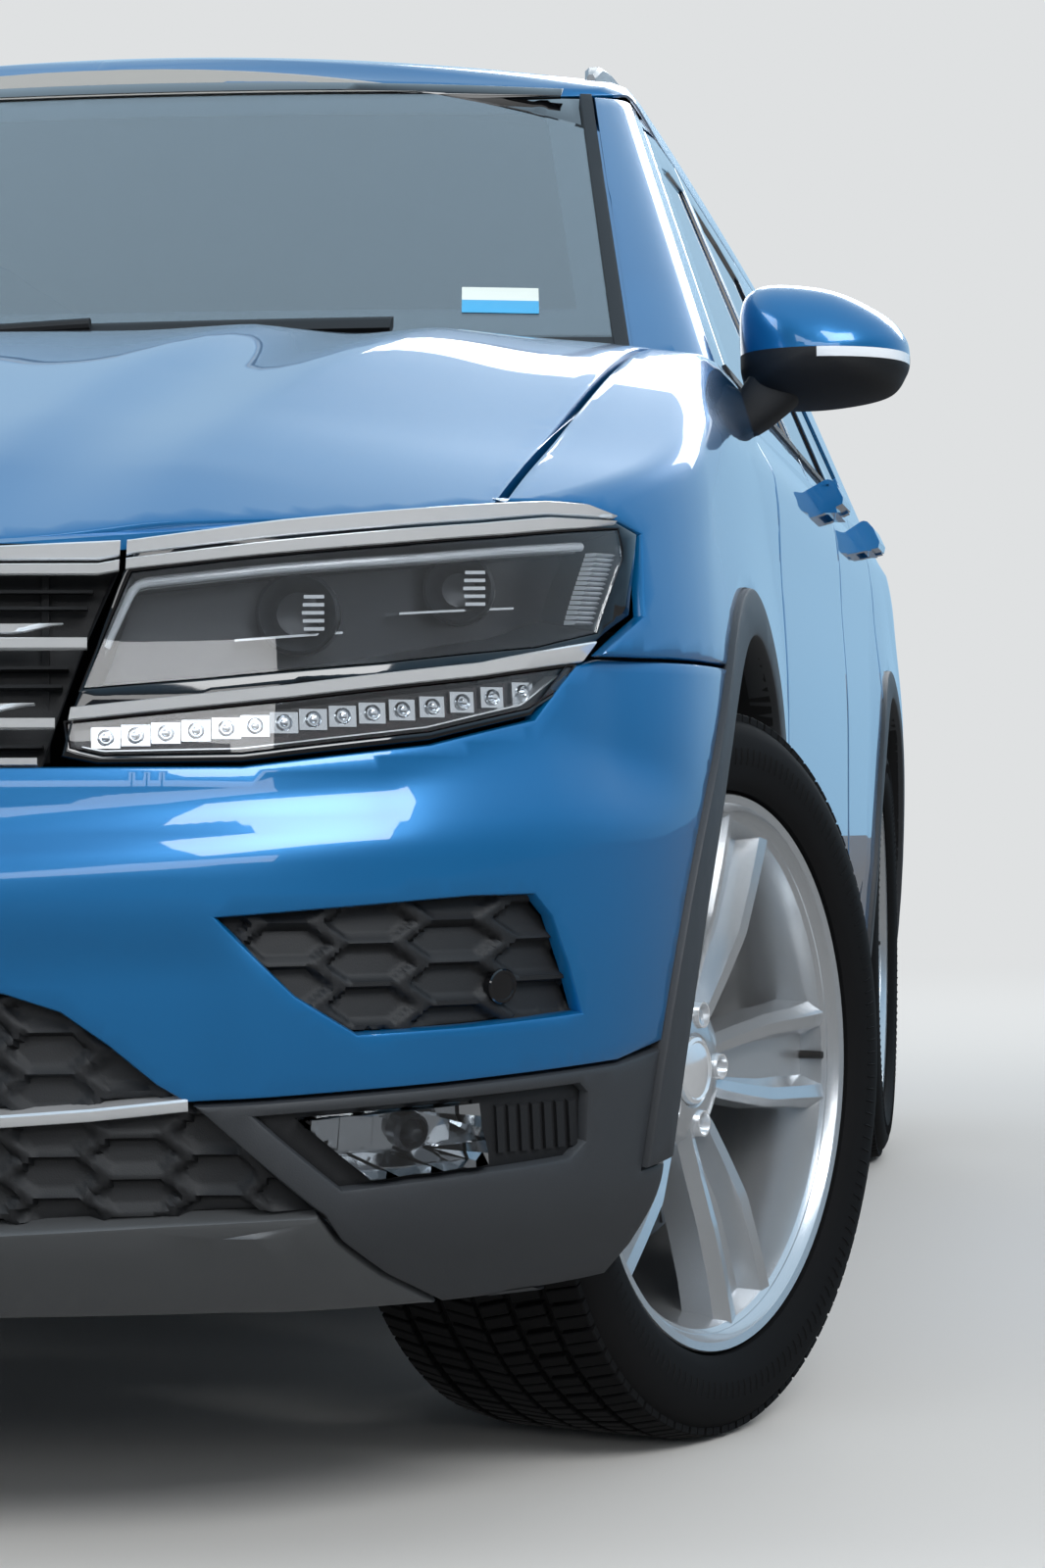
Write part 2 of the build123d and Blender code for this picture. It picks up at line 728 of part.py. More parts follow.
recess = 10
recessed_form = lower_form(recess, floor=10)
with BuildPart() as recessed_shell:
    add(recessed_form)
    add(box((-far, far), (-2400, -1400), (0, 1000)), mode=Mode.INTERSECT)
    add(front_skin, mode=Mode.SUBTRACT)
cell_half_width, cell_half_height = 37, 13
cell_pitch_x, cell_pitch_z = 62, 34
cell_edge = 6
pocket_depth = 9
cell_outline = (
    (-cell_half_width, 0), (-cell_half_width / 2, cell_half_height), (cell_half_width / 2, cell_half_height),
    (cell_half_width, 0), (cell_half_width / 2, -cell_half_height), (-cell_half_width / 2, -cell_half_height),
)
pocket_floor = lower_form(recess + pocket_depth, floor=20)
with BuildPart() as cell_layer:
    add(recessed_shell.part)
    add(pocket_floor, mode=Mode.SUBTRACT)
with BuildPart() as back_layer:
    add(recessed_shell.part)
    add(pocket_floor, mode=Mode.INTERSECT)


def honeycomb(outline, columns, rows):
    """A plate with flat hexagonal pockets, every second column half a cell lower."""
    centres = [
        (column * cell_pitch_x, (row - column % 2 / 2) * cell_pitch_z)
        for column in range(*columns) for row in range(*rows)
    ]
    with BuildSketch(Plane.XZ) as inner_outline:
        with BuildLine():
            Polyline(*outline, close=True)
        make_face()
        offset(amount=-cell_edge, kind=Kind.INTERSECTION, mode=Mode.REPLACE)
    with BuildPart() as plate:
        add(nose_piece(outline, cell_layer))
        with BuildSketch(Plane.XZ.offset(1400)):
            with Locations(*centres):
                Polygon(*cell_outline, align=None)
            add(inner_outline.sketch, mode=Mode.INTERSECT)
        extrude(amount=1000, mode=Mode.SUBTRACT)
        add(nose_piece(outline, back_layer))
    return plate.part


pieces["vent_grilles"] = both_sides(honeycomb(vent_outline, (9, 14), (13, 17)))
pieces["lower_grille"] = honeycomb(whole_outline(intake_outline), (-9, 10), (9, 15))


def along_car(middle, radius, back_y):
    """A round bar along the car, from well before the nose to back_y."""
    with BuildPart() as bar:
        with BuildSketch(Plane.XZ.offset(-back_y)):
            with Locations(middle):
                Circle(radius)
        extrude(amount=back_y + 2400)
    return bar.part


# Fog lamps: a bowl for the lamp in each recessed plate
fog_lens_outline = ((672, 320), (620, 368), (752, 376), (758, 326))
fog_bulb, fog_bulb_radius = (712, 352), 15
with BuildPart() as fog_lamp:
    add(nose_piece(fog_outline, recessed_shell))
    with BuildPart(mode=Mode.PRIVATE) as bowl:
        add(front_prism(fog_lens_outline, -2400, -1800))
        add(pocket_floor, mode=Mode.SUBTRACT)
    add(bowl.part, mode=Mode.SUBTRACT)
    with BuildPart(mode=Mode.PRIVATE) as bulb:
        add(along_car(fog_bulb, fog_bulb_radius, -1900))
        add(recessed_shell.part, mode=Mode.INTERSECT)
    add(bulb.part)
pieces["fog_lamps"] = both_sides(fog_lamp.part)

lens_back = lower_form(lens, drop=lens, floor=10)
with BuildPart() as lamp_block:
    add(lower_outer)
    add(front_prism(lamp_outline, -2400, lamp_outer_y + 20), mode=Mode.INTERSECT)
    add(lower_form(100, drop=0, floor=20), mode=Mode.SUBTRACT)
    add(hood_well.part, mode=Mode.SUBTRACT)
    add(fender.part, mode=Mode.SUBTRACT)
with BuildPart() as lens_space:
    add(front_prism(lens_outline, -2400, -1700))
    add(front_prism(signal_outline, -2400, -1700))
with BuildPart() as lamp_lens:
    add(lamp_block.part)
    add(lens_space.part, mode=Mode.INTERSECT)
    add(lens_back, mode=Mode.SUBTRACT)
lamp_depth = 55
lamp_edge = 9
projector_wall = 6
# columns: middle across, middle height, radius, ends of the bore and of the tube along the car
projectors = ((645, 776, 37, -2050, -1990), (777, 796, 33, -1940, -1900))

with BuildPart() as lamp_hollow:
    add(front_prism(lens_outline, -2400, lamp_outer_y, -lamp_edge))
    add(lower_form(lamp_depth, drop=0, floor=20), mode=Mode.SUBTRACT)
with BuildPart() as projector_tubes:
    add([along_car((x, z), radius, tube_y) for x, z, radius, bore_y, tube_y in projectors])
    add(recessed_form, mode=Mode.INTERSECT)
    for x, z, radius, bore_y, tube_y in projectors:
        add(along_car((x, z), radius - projector_wall, bore_y), mode=Mode.SUBTRACT)
with BuildPart() as headlamp:
    add(lamp_block.part)
    add(lamp_lens.part, mode=Mode.SUBTRACT)
    add(lamp_hollow.part, mode=Mode.SUBTRACT)
    add(projector_tubes.part)
pieces["headlamps"] = both_sides(headlamp.part)
pieces["lamp_lenses"] = both_sides(lamp_lens.part)

# Upper grille: four cross bars on upright ribs
# columns: bar bottom, bar top, half width
grille_bars = ((803, 826, 486), (750, 766, 470), (691, 705, 446), (652, 661, 430))
rib_places = (-420, -210, 0, 210, 420)
rib_half_width = 4
with BuildPart() as rib_layer:
    add([box((x - rib_half_width, x + rib_half_width), (-2400, -2050), (655, 826)) for x in rib_places])
    add(lower_form(12, drop=26, floor=10), mode=Mode.INTERSECT)
    add(lower_form(50, drop=0, floor=20), mode=Mode.SUBTRACT)
with BuildPart() as upper_grille:
    for low, high, half in grille_bars:
        add(front_prism(((-half, low), (-half, high), (half, high), (half, low)), -2400, -1900))
    add(nose_shell.part, mode=Mode.INTERSECT)
    add(rib_layer.part)
    add(hood_well.part, mode=Mode.SUBTRACT)
pieces["upper_grille"] = upper_grille.part

# Rear bumper
with BuildPart() as rear_bumper:
    add(lower_outer)
    add(box((-far, far), (1600, 2400), (0, rear_bumper_top)), mode=Mode.INTERSECT)
    add(lower_form(30, floor=20), mode=Mode.SUBTRACT)
    add(both_sides(axle_disc(arch_trim_radius, rear_axle_y, 500, far)), mode=Mode.SUBTRACT)
pieces["rear_bumper"] = rear_bumper.part

# Roof rails on the roof edges
rail_x = 592
rail_y = (-130, 1628)
# side view outline of the bar and its end feet, points (y, z)
rail_outline = (
    (rail_y[0], 1500), (rail_y[0], 1547), (-85, 1561), (50, 1587), (250, 1600), (1380, 1572), (1520, 1557),
    (rail_y[1], 1531), (rail_y[1], 1500), (1480, 1500), (1440, 1547), (250, 1582), (120, 1574), (60, 1500),
)
with BuildPart() as roof_rail:
    add(side_prism(rail_outline, rail_x - 14, rail_x + 14))
    add(house_outer, mode=Mode.SUBTRACT)
pieces["roof_rails"] = both_sides(roof_rail.part)

# Floor pan with firewall, tunnel and load floor
floor_bottom = 255
floor_half_width = 905 - sill_depth
load_floor_z = 560
with BuildPart() as firewall:
    add(lower_skin_inner)
    add(box((-700, 700), (firewall_y - 15, firewall_y), (floor_bottom, 1088)), mode=Mode.INTERSECT)
with BuildPart() as floor_pan:
    add(box((-floor_half_width, floor_half_width), (firewall_y, 840), (floor_bottom, floor_top)))
    add(box((-590, 590), (840, 2040), (floor_bottom, floor_top)))
    add(box((-120, 120), (firewall_y, 700), (floor_top, 380)))
    add(box((-590, 590), (1430, 2040), (load_floor_z - 20, load_floor_z)))
    add(box((-590, 590), (1430, 1450), (floor_top, load_floor_z - 20)))
    add(firewall.part)
    add(both_sides(axle_disc(arch_radius + liner_wall, front_axle_y, 400, far)), mode=Mode.SUBTRACT)
pieces["floor_pan"] = floor_pan.part

# Seats: front pair and rear bench
# side view outline of a front seat, points (y, z)
front_seat_outline = (
    (-170, 400), (-150, 540), (-90, 565), (330, 530), (560, 1120), (590, 1140), (600, 1290), (680, 1300),
    (700, 1150), (650, 1100), (480, 440), (430, 380),
)
rear_seat_outline = (
    (760, floor_top), (740, 560), (800, 585), (1130, 560), (1270, 1060), (1300, 1080), (1310, 1210), (1380, 1210),
    (1390, 1060), (1260, 520), (1200, floor_top),
)
seat_x = 370
seat_half_width = 255
with BuildPart() as seats:
    for side in (-1, 1):
        middle = side * seat_x
        add(side_prism(front_seat_outline, middle - seat_half_width, middle + seat_half_width))
        add(box((middle - 200, middle + 200), (-120, 400), (floor_top, 420)))
    add(side_prism(rear_seat_outline, -585, 585))
pieces["seats"] = seats.part

# Dashboard with centre console
dash_outline = (
    (firewall_y, 1050), (-780, 1072), (-600, 1012), (-560, 880), (-640, 660), (firewall_y, 600),
)
column_x = -370
column_tilt = 25
wheel_centre = (column_x, -440, 960)
steering_axis = (0, cos(radians(column_tilt)), sin(radians(column_tilt)))
column_plane = Plane(origin=wheel_centre, x_dir=(1, 0, 0), z_dir=steering_axis)
wheel_hub_back = 45
with BuildPart() as dashboard:
    add(side_prism(dash_outline, -735, 735))
    add(box((-105, 105), (-900, 240), (380, 625)))
    with BuildSketch(column_plane.offset(-240)):
        Circle(24)
    extrude(amount=240 - wheel_hub_back - fit)
pieces["dashboard"] = dashboard.part

rim_radius = 185
rim_tube = 16
with BuildPart() as steering_wheel:
    with BuildSketch(Plane(origin=wheel_centre, x_dir=(1, 0, 0), z_dir=column_plane.y_dir)):
        with Locations((rim_radius, 0)):
            RegularPolygon(rim_tube, 8)
    revolve(axis=Axis(wheel_centre, steering_axis))
    with BuildSketch(column_plane.offset(-wheel_hub_back)):
        Circle(60)
    extrude(amount=50)
    with BuildSketch(column_plane.offset(-20)):
        for angle in (0, 180, 270):
            with PolarLocations(0, 1, angle):
                with Locations((rim_radius / 2 + 20, 0)):
                    Rectangle(rim_radius - 50, 34)
    extrude(amount=18)
pieces["steering_wheel"] = steering_wheel.part

# Engine block and front running gear
rail_inner_x, rail_outer_x = 340, 402
rail_z = (480, 600)
subframe_z = (210, 250)
arm_low_z = 206
arm_high_z = 506
arm_depth = 20
with BuildPart() as engine:
    add(box((-rail_inner_x, rail_inner_x), (-1720, -1130), (330, 880)))
pieces["engine"] = engine.part
with BuildPart() as front_suspension:
    for side in (-1, 1):
        inner, outer = side * rail_inner_x, side * rail_outer_x
        across = (min(inner, outer), max(inner, outer))
        add(box(across, (-2080, firewall_y - 15), rail_z))
        add(box(across, (-1460, -1260), (subframe_z[1], rail_z[0])))
    add(box((-560, 560), (-2110, -2080), (470, 610)))
    add(box((-rail_outer_x, rail_outer_x), (-1480, -1240), subframe_z))
    for side in (-1, 1):
        for arm_z in (arm_low_z, arm_high_z):
            with BuildSketch(Plane.XY.offset(arm_z)):
                with Locations((side * (rail_outer_x + front_track_half) / 2, front_axle_y)):
                    SlotCenterToCenter(front_track_half - rail_outer_x, 60)
            extrude(amount=arm_depth)
pieces["front_suspension"] = front_suspension.part

with BuildPart() as rear_suspension:
    add(box((-640, 640), (rear_axle_y - 40, rear_axle_y + 40), (205, floor_bottom)))
    for side in (-1, 1):
        low, high = sorted((side * 600, side * 640))
        add(box((low, high), (rear_axle_y - 60, rear_axle_y + 60), (floor_bottom - 20, 430)))
        low, high = sorted((side * 600, side * (rear_track_half + 20)))
        add(axle_disc(50, rear_axle_y, low, high))
pieces["rear_suspension"] = rear_suspension.part

with BuildPart() as underbody:
    add(box((-360, 360), (-2040, -1000), (200, subframe_z[0])))
    add(box((-480, 300), (780, 1180), (200, floor_bottom)))
    add(box((-420, 420), (1760, 2040), (215, floor_bottom)))
pieces["underbody"] = underbody.part

# Mirrors on the front doors
mirror_outline = ((850, 1062), (1020, 1085), (1048, 1110), (1048, 1160), (1015, 1195), (900, 1209), (858, 1200))
with BuildPart() as mirror_left:
    with BuildSketch(Plane.XZ.offset(730)):
        with BuildLine():
            Polyline(*mirror_outline, close=True)
        make_face()
    extrude(amount=130, taper=10)
    add(box((830, 905), (-805, -750), (1035, 1085)))
    add(left_wall.part, mode=Mode.SUBTRACT)
    add(house_pane_outer, mode=Mode.SUBTRACT)
pieces["mirror_left"] = mirror_left.part
pieces["mirror_right"] = mirrored(mirror_left.part)


# Wheels, tyres and knuckles, each about its own hub
def hub_frame(side, axle_y, track_half, steered):
    """Centre and outward axis of a wheel."""
    turn = radians(steer_at_rest if steered else 0)
    return Vector(side * track_half, axle_y, tyre_radius), Vector(side * cos(turn), -side * sin(turn), 0)


# half section of the tyre, points (along the axle, out from the axle)
tyre_outline = (
    (-98, bead_radius + fit), (-102, rim_flange_radius + fit), (-114, rim_flange_radius + fit), (-124, 284),
    (-tyre_width / 2, 306), (-112, 346), (-88, tyre_radius), (88, tyre_radius), (112, 346),
    (tyre_width / 2, 306), (124, 284), (114, rim_flange_radius + fit), (102, rim_flange_radius + fit),
    (98, bead_radius + fit),
)
rim_outline = (
    (-99, bead_radius), (-103, rim_flange_radius), (-rim_half_width, rim_flange_radius), (-rim_half_width, 242),
    (0, 228), (rim_half_width, 242), (rim_half_width, rim_flange_radius), (103, rim_flange_radius), (99, bead_radius),
)
spoke_pairs = 5
spoke_lead = 18
spoke_face = 96
spoke_depth = 44
hub_radius = 78
hub_back = 20 + fit
# one arm of a forked spoke, in the wheel's plane, points (out, across)
spoke_outline = ((60, 4), (60, 40), (120, 34), (238, 74), (238, 40), (120, 12))


def revolved(outline, centre, axle):
    """A ring about the axle from its half section."""
    up = Vector(0, 0, 1)
    with BuildPart() as ring:
        with BuildSketch(Plane(origin=centre, x_dir=axle, z_dir=axle.cross(up))):
            with BuildLine():
                Polyline(*outline, close=True)
            make_face()
        revolve(axis=Axis(centre, axle))
    return ring.part


def alloy_wheel(centre, axle, side):
    """Rim, hub and forked spokes, one of them pointing to the rear."""
    face = Plane(origin=centre, x_dir=(0, 0, 1), z_dir=axle)
    with BuildPart() as wheel:
        add(revolved(rim_outline, centre, axle))
        with BuildSketch(face.offset(hub_back)):
            Circle(hub_radius)
        extrude(amount=spoke_face - 14 - hub_back)
        with BuildSketch(face.offset(spoke_face - spoke_depth)):
            for turn in range(spoke_pairs):
                with PolarLocations(0, 1, turn * 360 / spoke_pairs - side * spoke_lead):
                    for across in (-1, 1):
                        Polygon(*[(out, across * y) for out, y in spoke_outline], align=None)
        extrude(amount=spoke_depth)
    return wheel.part


hub_radius_inner = 55
knuckle_width = 56
knuckle_depth = 36
corners = (
    # columns: name, side, axle, half track, steered
    ("front_left", 1, front_axle_y, front_track_half, True),
    ("front_right", -1, front_axle_y, front_track_half, True),
    ("rear_left", 1, rear_axle_y, rear_track_half, False),
    ("rear_right", -1, rear_axle_y, rear_track_half, False),
)
for name, side, axle_y, track_half, steered in corners:
    centre, axle = hub_frame(side, axle_y, track_half, steered)
    pieces["tyre_" + name] = revolved(tyre_outline, centre, axle)
    pieces["wheel_" + name] = alloy_wheel(centre, axle, side)
    if steered:
        with BuildPart() as knuckle:
            with BuildSketch(Plane.XY.offset(arm_low_z + arm_depth + fit)):
                with Locations((centre.X, centre.Y)):
                    Rectangle(knuckle_depth, knuckle_width, rotation=-steer_at_rest)
            extrude(amount=arm_high_z - arm_low_z - arm_depth - 2 * fit)
            with BuildSketch(Plane(origin=centre, x_dir=(0, 0, 1), z_dir=axle).offset(-30)):
                Circle(hub_radius_inner)
            extrude(amount=30 + hub_back - fit)
        pieces["knuckle_" + name.split("_")[1]] = knuckle.part

os.makedirs("parts", exist_ok=True)
for name, part in pieces.items():
    part.label = name
    export_step(part, f"parts/{name}.step")
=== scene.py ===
# %% [markdown]
# # A compact SUV in blue, dressed from its CAD solids
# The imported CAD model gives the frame: every body, every joint and every real size.
# This lesson lays smooth painted skins, lamps, grilles, wheels and soft seats over that frame.
# Panels are cut from one smooth body surface, so their edges meet as pressed steel does.

# %% Load the frame
import math
import bmesh
import bpy
import numpy as np
from mathutils import Matrix, Vector
from mathutils.geometry import delaunay_2d_cdt


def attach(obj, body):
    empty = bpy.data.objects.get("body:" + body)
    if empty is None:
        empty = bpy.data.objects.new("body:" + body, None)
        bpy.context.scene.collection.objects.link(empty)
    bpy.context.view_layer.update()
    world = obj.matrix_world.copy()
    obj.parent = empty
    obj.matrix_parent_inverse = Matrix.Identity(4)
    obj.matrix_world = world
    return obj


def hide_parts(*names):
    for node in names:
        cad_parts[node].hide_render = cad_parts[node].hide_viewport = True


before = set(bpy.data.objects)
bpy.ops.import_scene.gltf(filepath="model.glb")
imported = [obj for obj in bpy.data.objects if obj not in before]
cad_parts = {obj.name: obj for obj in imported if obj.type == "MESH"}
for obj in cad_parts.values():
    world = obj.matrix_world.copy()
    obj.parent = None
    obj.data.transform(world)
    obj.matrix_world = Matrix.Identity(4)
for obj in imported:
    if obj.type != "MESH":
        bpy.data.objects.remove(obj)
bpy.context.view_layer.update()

# %% [markdown]
# ## Camera and soft studio
# The photograph was taken low and square to the nose, from about three metres away.
# A long lens of 85 mm keeps the bumper and the roof in proportion.
# Large soft lights and a pale world give painted steel broad, calm reflections.

# %% Camera
camera_place = Vector((1.238, -5.006, 0.634))
camera_turn, camera_pitch, camera_roll = math.radians(8.56), math.radians(0.05), math.radians(0.27)
camera = bpy.data.objects.new("camera", bpy.data.cameras.new("camera"))
bpy.context.scene.collection.objects.link(camera)
camera.data.lens = 85.14
camera.data.sensor_width = 36
camera.data.clip_start, camera.data.clip_end = 0.05, 100
camera.location = camera_place
looking = Vector((-math.sin(camera_turn), math.cos(camera_turn), math.tan(camera_pitch)))
camera.rotation_mode = "QUATERNION"
camera.rotation_quaternion = looking.to_track_quat("-Z", "Y") @ Matrix.Rotation(
    -camera_roll, 3, "Z"
).to_quaternion()
bpy.context.scene.camera = camera
bpy.context.scene.view_settings.view_transform = "Standard"
print("camera", [round(v, 3) for v in bpy.context.scene.camera.location])

# %% [markdown]
# ## Materials
# One function turns hex colours to linear light, and one adds a node with its settings.
# Each finish starts from the real material: coated paint, moulded plastic, chrome, rubber, glass.
# Fine grain comes from noise whose scale is worked out from its size in millimetres.


# %% Material helpers
def colour(hex_code):
    """A hex sRGB colour as linear light."""
    channels = [int(hex_code[i:i + 2], 16) / 255 for i in (1, 3, 5)]
    return [c / 12.92 if c <= 0.04045 else ((c + 0.055) / 1.055) ** 2.4 for c in channels] + [1]


def per_mm(size):
    """Pattern scale for features of this size in millimetres, on coordinates in metres."""
    return 1000 / size


def node(tree, kind, links=(), **settings):
    """Adds a node, sets its properties and inputs, and links the named inputs."""
    made = tree.nodes.new(kind)
    for key, value in settings.items():
        if hasattr(made, key):
            setattr(made, key, value)
        else:
            made.inputs[key.replace("_", " ")].default_value = value
    for socket, source in dict(links).items():
        tree.links.new(source, made.inputs[socket])
    return made


finishes = {}


def finish(slot, name, base, rough=0.5, metal=0.0, grain=0.0, grain_mm=1.0, shade=None, shade_mm=300.0,
           **extra):
    """A finish: base colour with slow drift to a second shade, roughness, and fine moulded grain."""
    material = bpy.data.materials.new(name)
    material.use_nodes = True
    tree = material.node_tree
    shader = tree.nodes["Principled BSDF"]
    shader.inputs["Roughness"].default_value = rough
    shader.inputs["Metallic"].default_value = metal
    for key, value in extra.items():
        shader.inputs[key.replace("_", " ")].default_value = value
    place = node(tree, "ShaderNodeTexCoord").outputs["Object"]
    drift = node(tree, "ShaderNodeTexNoise", {"Vector": place}, Scale=per_mm(shade_mm), Detail=3.0)
    blend = node(tree, "ShaderNodeMix", {0: drift.outputs["Fac"]}, data_type="RGBA")
    blend.inputs["A"].default_value = colour(base)
    blend.inputs["B"].default_value = colour(shade or base)
    tree.links.new(blend.outputs["Result"], shader.inputs["Base Color"])
    if grain:
        fine = node(tree, "ShaderNodeTexNoise", {"Vector": place}, Scale=per_mm(grain_mm), Detail=2.0)
        bump = node(tree, "ShaderNodeBump", {"Height": fine.outputs["Fac"]}, Strength=grain, Distance=0.0004)
        tree.links.new(bump.outputs["Normal"], shader.inputs["Normal"])
    material["slot"] = slot
    finishes[name] = material
    return material


print("mid grey in linear light", [round(v, 3) for v in colour("#808080")])

# %% [markdown]
# ### Body paint
# Metallic blue under clear lacquer: aluminium flakes glint in the blue layer,
# and the lacquer gives the sharp reflection. The flakes are drawn at 2 mm,
# coarser than real ones, so that they still show from this distance.

# %% The body paint
paint = finish("paint", "metallic_blue_lacquered_paint", "#056ca6", 0.32, 0.45, shade="#045f97",
               Coat_Weight=1.0,
               Coat_Roughness=0.02, grain=0.05, grain_mm=2.0)
print("paint", paint.name)

# %% [markdown]
# ### The other finishes
# Moulded plastic has a fine grain, rubber and cloth a coarser one, and plated parts have none.
# Each base colour drifts slowly to a second shade, so that no surface is one flat colour.
# Panes are tinted clear bodies; the windscreen has a higher index, as its coating reflects more sky.

# %% Plastics, metals, cloth and glass
plastic = finish("textured_plastic", "moulded_black_textured_plastic", "#111214", 0.62, grain=0.5,
                 grain_mm=1.2, shade="#17181b")
cladding = finish("textured_plastic", "moulded_dark_grey_polypropylene", "#33363a", 0.55, grain=0.45,
                  grain_mm=1.4, shade="#2c2f33")
gloss_black = finish("gloss_black", "polished_black_acrylic", "#060608", 0.06, shade="#0a0a0c",
                     Coat_Weight=0.6)
chrome = finish("chrome_trim", "bright_chrome_plating", "#f3f5f7", 0.1, 0.62, shade="#e8ebee")
satin = finish("satin_grey", "satin_silver_painted_plastic", "#8d9093", 0.34, 0.7, grain=0.1, grain_mm=1.5,
               shade="#7d8083")
skid_satin = finish("satin_grey", "satin_grey_moulded_skid", "#525456", 0.42, 0.35, grain=0.2, grain_mm=1.5,
                    shade="#47494b")
rubber = finish("tyre_rubber", "moulded_tyre_rubber", "#0f0f10", 0.78, grain=0.35, grain_mm=1.5,
                shade="#151516",
                Specular_IOR_Level=0.12)
seal = finish("textured_plastic", "extruded_rubber_seal", "#0c0c0d", 0.6, grain=0.2, grain_mm=2.0)
silver_alloy = finish("alloy", "silver_lacquered_cast_aluminium", "#d4d7da", 0.27, 0.8, shade="#c2c6ca",
                      Coat_Weight=0.6)
alloy_grey = finish("alloy", "grey_lacquered_cast_aluminium", "#858a90", 0.3, 0.75, shade="#70757b",
                    Coat_Weight=0.5)
iron = finish("cast_iron", "machined_cast_iron_disc", "#6a6a6c", 0.38, 1.0, shade="#57524e", shade_mm=20)
dark_metal = finish("steel", "cast_and_painted_chassis_steel", "#242527", 0.6, 0.4, grain=0.3, grain_mm=3.0,
                    shade="#34302c")
lamp_grey = finish("gloss_black", "moulded_grey_lamp_housing", "#3c4046", 0.3, 0.3, shade="#2c3035")
reflector = finish("chrome_trim", "vapour_coated_lamp_reflector", "#e8ebee", 0.1, 1.0, shade="#d0d4d8")
light_guide = finish("clear_cover", "frosted_light_guide", "#e9eef2", 0.25, shade="#dfe6ee", Coat_Weight=0.5)
red_lens = finish("lamp_red", "moulded_red_acrylic_lens", "#8a0710", 0.05, shade="#6c040b", Coat_Weight=1.0)
mirror_glass = finish("chrome_trim", "silvered_mirror_glass", "#f0f3f5", 0.02, 1.0, shade="#e8ecef")
headliner = finish("seat_cloth", "pale_grey_knit_headliner", "#9a9a96", 0.9, grain=0.4, grain_mm=1.5,
                   Sheen_Weight=0.4)
carpet = finish("seat_cloth", "needled_black_carpet", "#1b1b1d", 0.95, grain=0.8, grain_mm=3.0,
                Sheen_Weight=0.4)
dash_plastic = finish("dash_plastic", "soft_touch_dashboard_skin", "#1a1b1d", 0.55, grain=0.5, grain_mm=1.6,
                      shade="#212226")
leather = finish("wheel_trim", "stitched_black_rim_leather", "#141414", 0.45, grain=0.6, grain_mm=1.8)


def clear(slot, name, tint, ior=1.45):
    """A see-through finish with a tint, for panes and lamp covers."""
    return finish(slot, name, tint, 0.0, shade=tint, Transmission_Weight=1.0, IOR=ior)


pane_glass = clear("window_glass", "clear_side_glass", "#b4cbdc", ior=1.5)
screen_glass = clear("window_glass", "coated_laminated_glass", "#b4cbdc", ior=2.3)
privacy_glass = clear("window_glass", "dark_tinted_rear_glass", "#3a4042")
lens_clear = clear("clear_cover", "clear_polycarbonate_lens", "#f4f7fa", ior=1.5)
print("finishes", len(finishes))


# %% [markdown]
# ## One smooth body surface
# The body is drawn as plan outlines stacked by height: a bowed nose, a rounded corner,
# a straight side, another corner and a bowed tail. Heights between the named levels
# follow a smooth monotone curve, so no crease shows where the CAD has a straight wall.

# %% The body form
nose_y, tail_y = -2.243, 2.243
# columns: height, half width, nose set back, tail set back
body_levels = np.array([
    (0.19, 0.845, 0.12, 0.11), (0.3, 0.886, 0.025, 0.04), (0.52, 0.905, 0.0, 0.0),
    (0.72, 0.912, 0.015, 0.02), (0.93, 0.896, 0.06, 0.075), (1.13, 0.846, 0.13, 0.165),
])
body_bows, body_corners = (0.23, 0.12), (0.48, 0.26)
house_bows, house_corners = (0.095, 0.06), (0.07, 0.13)
glass_low, glass_high = 1.04, 1.6
front_axle_y, rear_axle_y, tyre_radius = -1.363, 1.318, 0.356
# the rear corners and the tail change from body to greenhouse: lowest height, and height of the change
corner_change, tail_change = (0.93, 0.17), (1.085, 0.025)


def ease(t):
    """0 to 1 with soft ends."""
    t = np.clip(t, 0, 1)
    return t * t * (3 - 2 * t)


def smooth_curve(at, places, values):
    """A monotone curve through the values, level at each peak."""
    gaps = np.diff(places)
    slopes = np.diff(values) / gaps
    inner = np.where(slopes[:-1] * slopes[1:] > 0,
                     2 * slopes[:-1] * slopes[1:] / (slopes[:-1] + slopes[1:] + 1e-12), 0)
    ends = np.concatenate([[slopes[0]], inner, [slopes[-1]]])
    at = np.clip(at, places[0], places[-1])
    k = np.clip(np.searchsorted(places, at) - 1, 0, len(gaps) - 1)
    t = (at - places[k]) / gaps[k]
    return ((1 + 2 * t) * (1 - t) ** 2 * values[k] + t * (1 - t) ** 2 * gaps[k] * ends[k]
            + t * t * (3 - 2 * t) * values[k + 1] + t * t * (t - 1) * gaps[k] * ends[k + 1])


def body_outline(z):
    """Half width, nose and tail of the lower body at a height, with bows and corner radii."""
    half, nose_back, tail_back = [smooth_curve(z, body_levels[:, 0], body_levels[:, i]) for i in (1, 2, 3)]
    ones = np.ones_like(half)
    return (half, nose_y + nose_back, tail_y - tail_back, body_bows[0] * ones, body_bows[1] * ones,
            body_corners[0] * ones, body_corners[1] * ones)


def house_outline(z):
    """The same for the greenhouse, whose sides lean in evenly."""
    rise = (z - glass_low) / (glass_high - glass_low)
    ones = np.ones_like(rise)
    return (0.868 - 0.234 * rise, -1.217 + 0.89 * rise, 2.109 - 0.244 * rise, house_bows[0] * ones,
            house_bows[1] * ones, house_corners[0] * ones, house_corners[1] * ones)


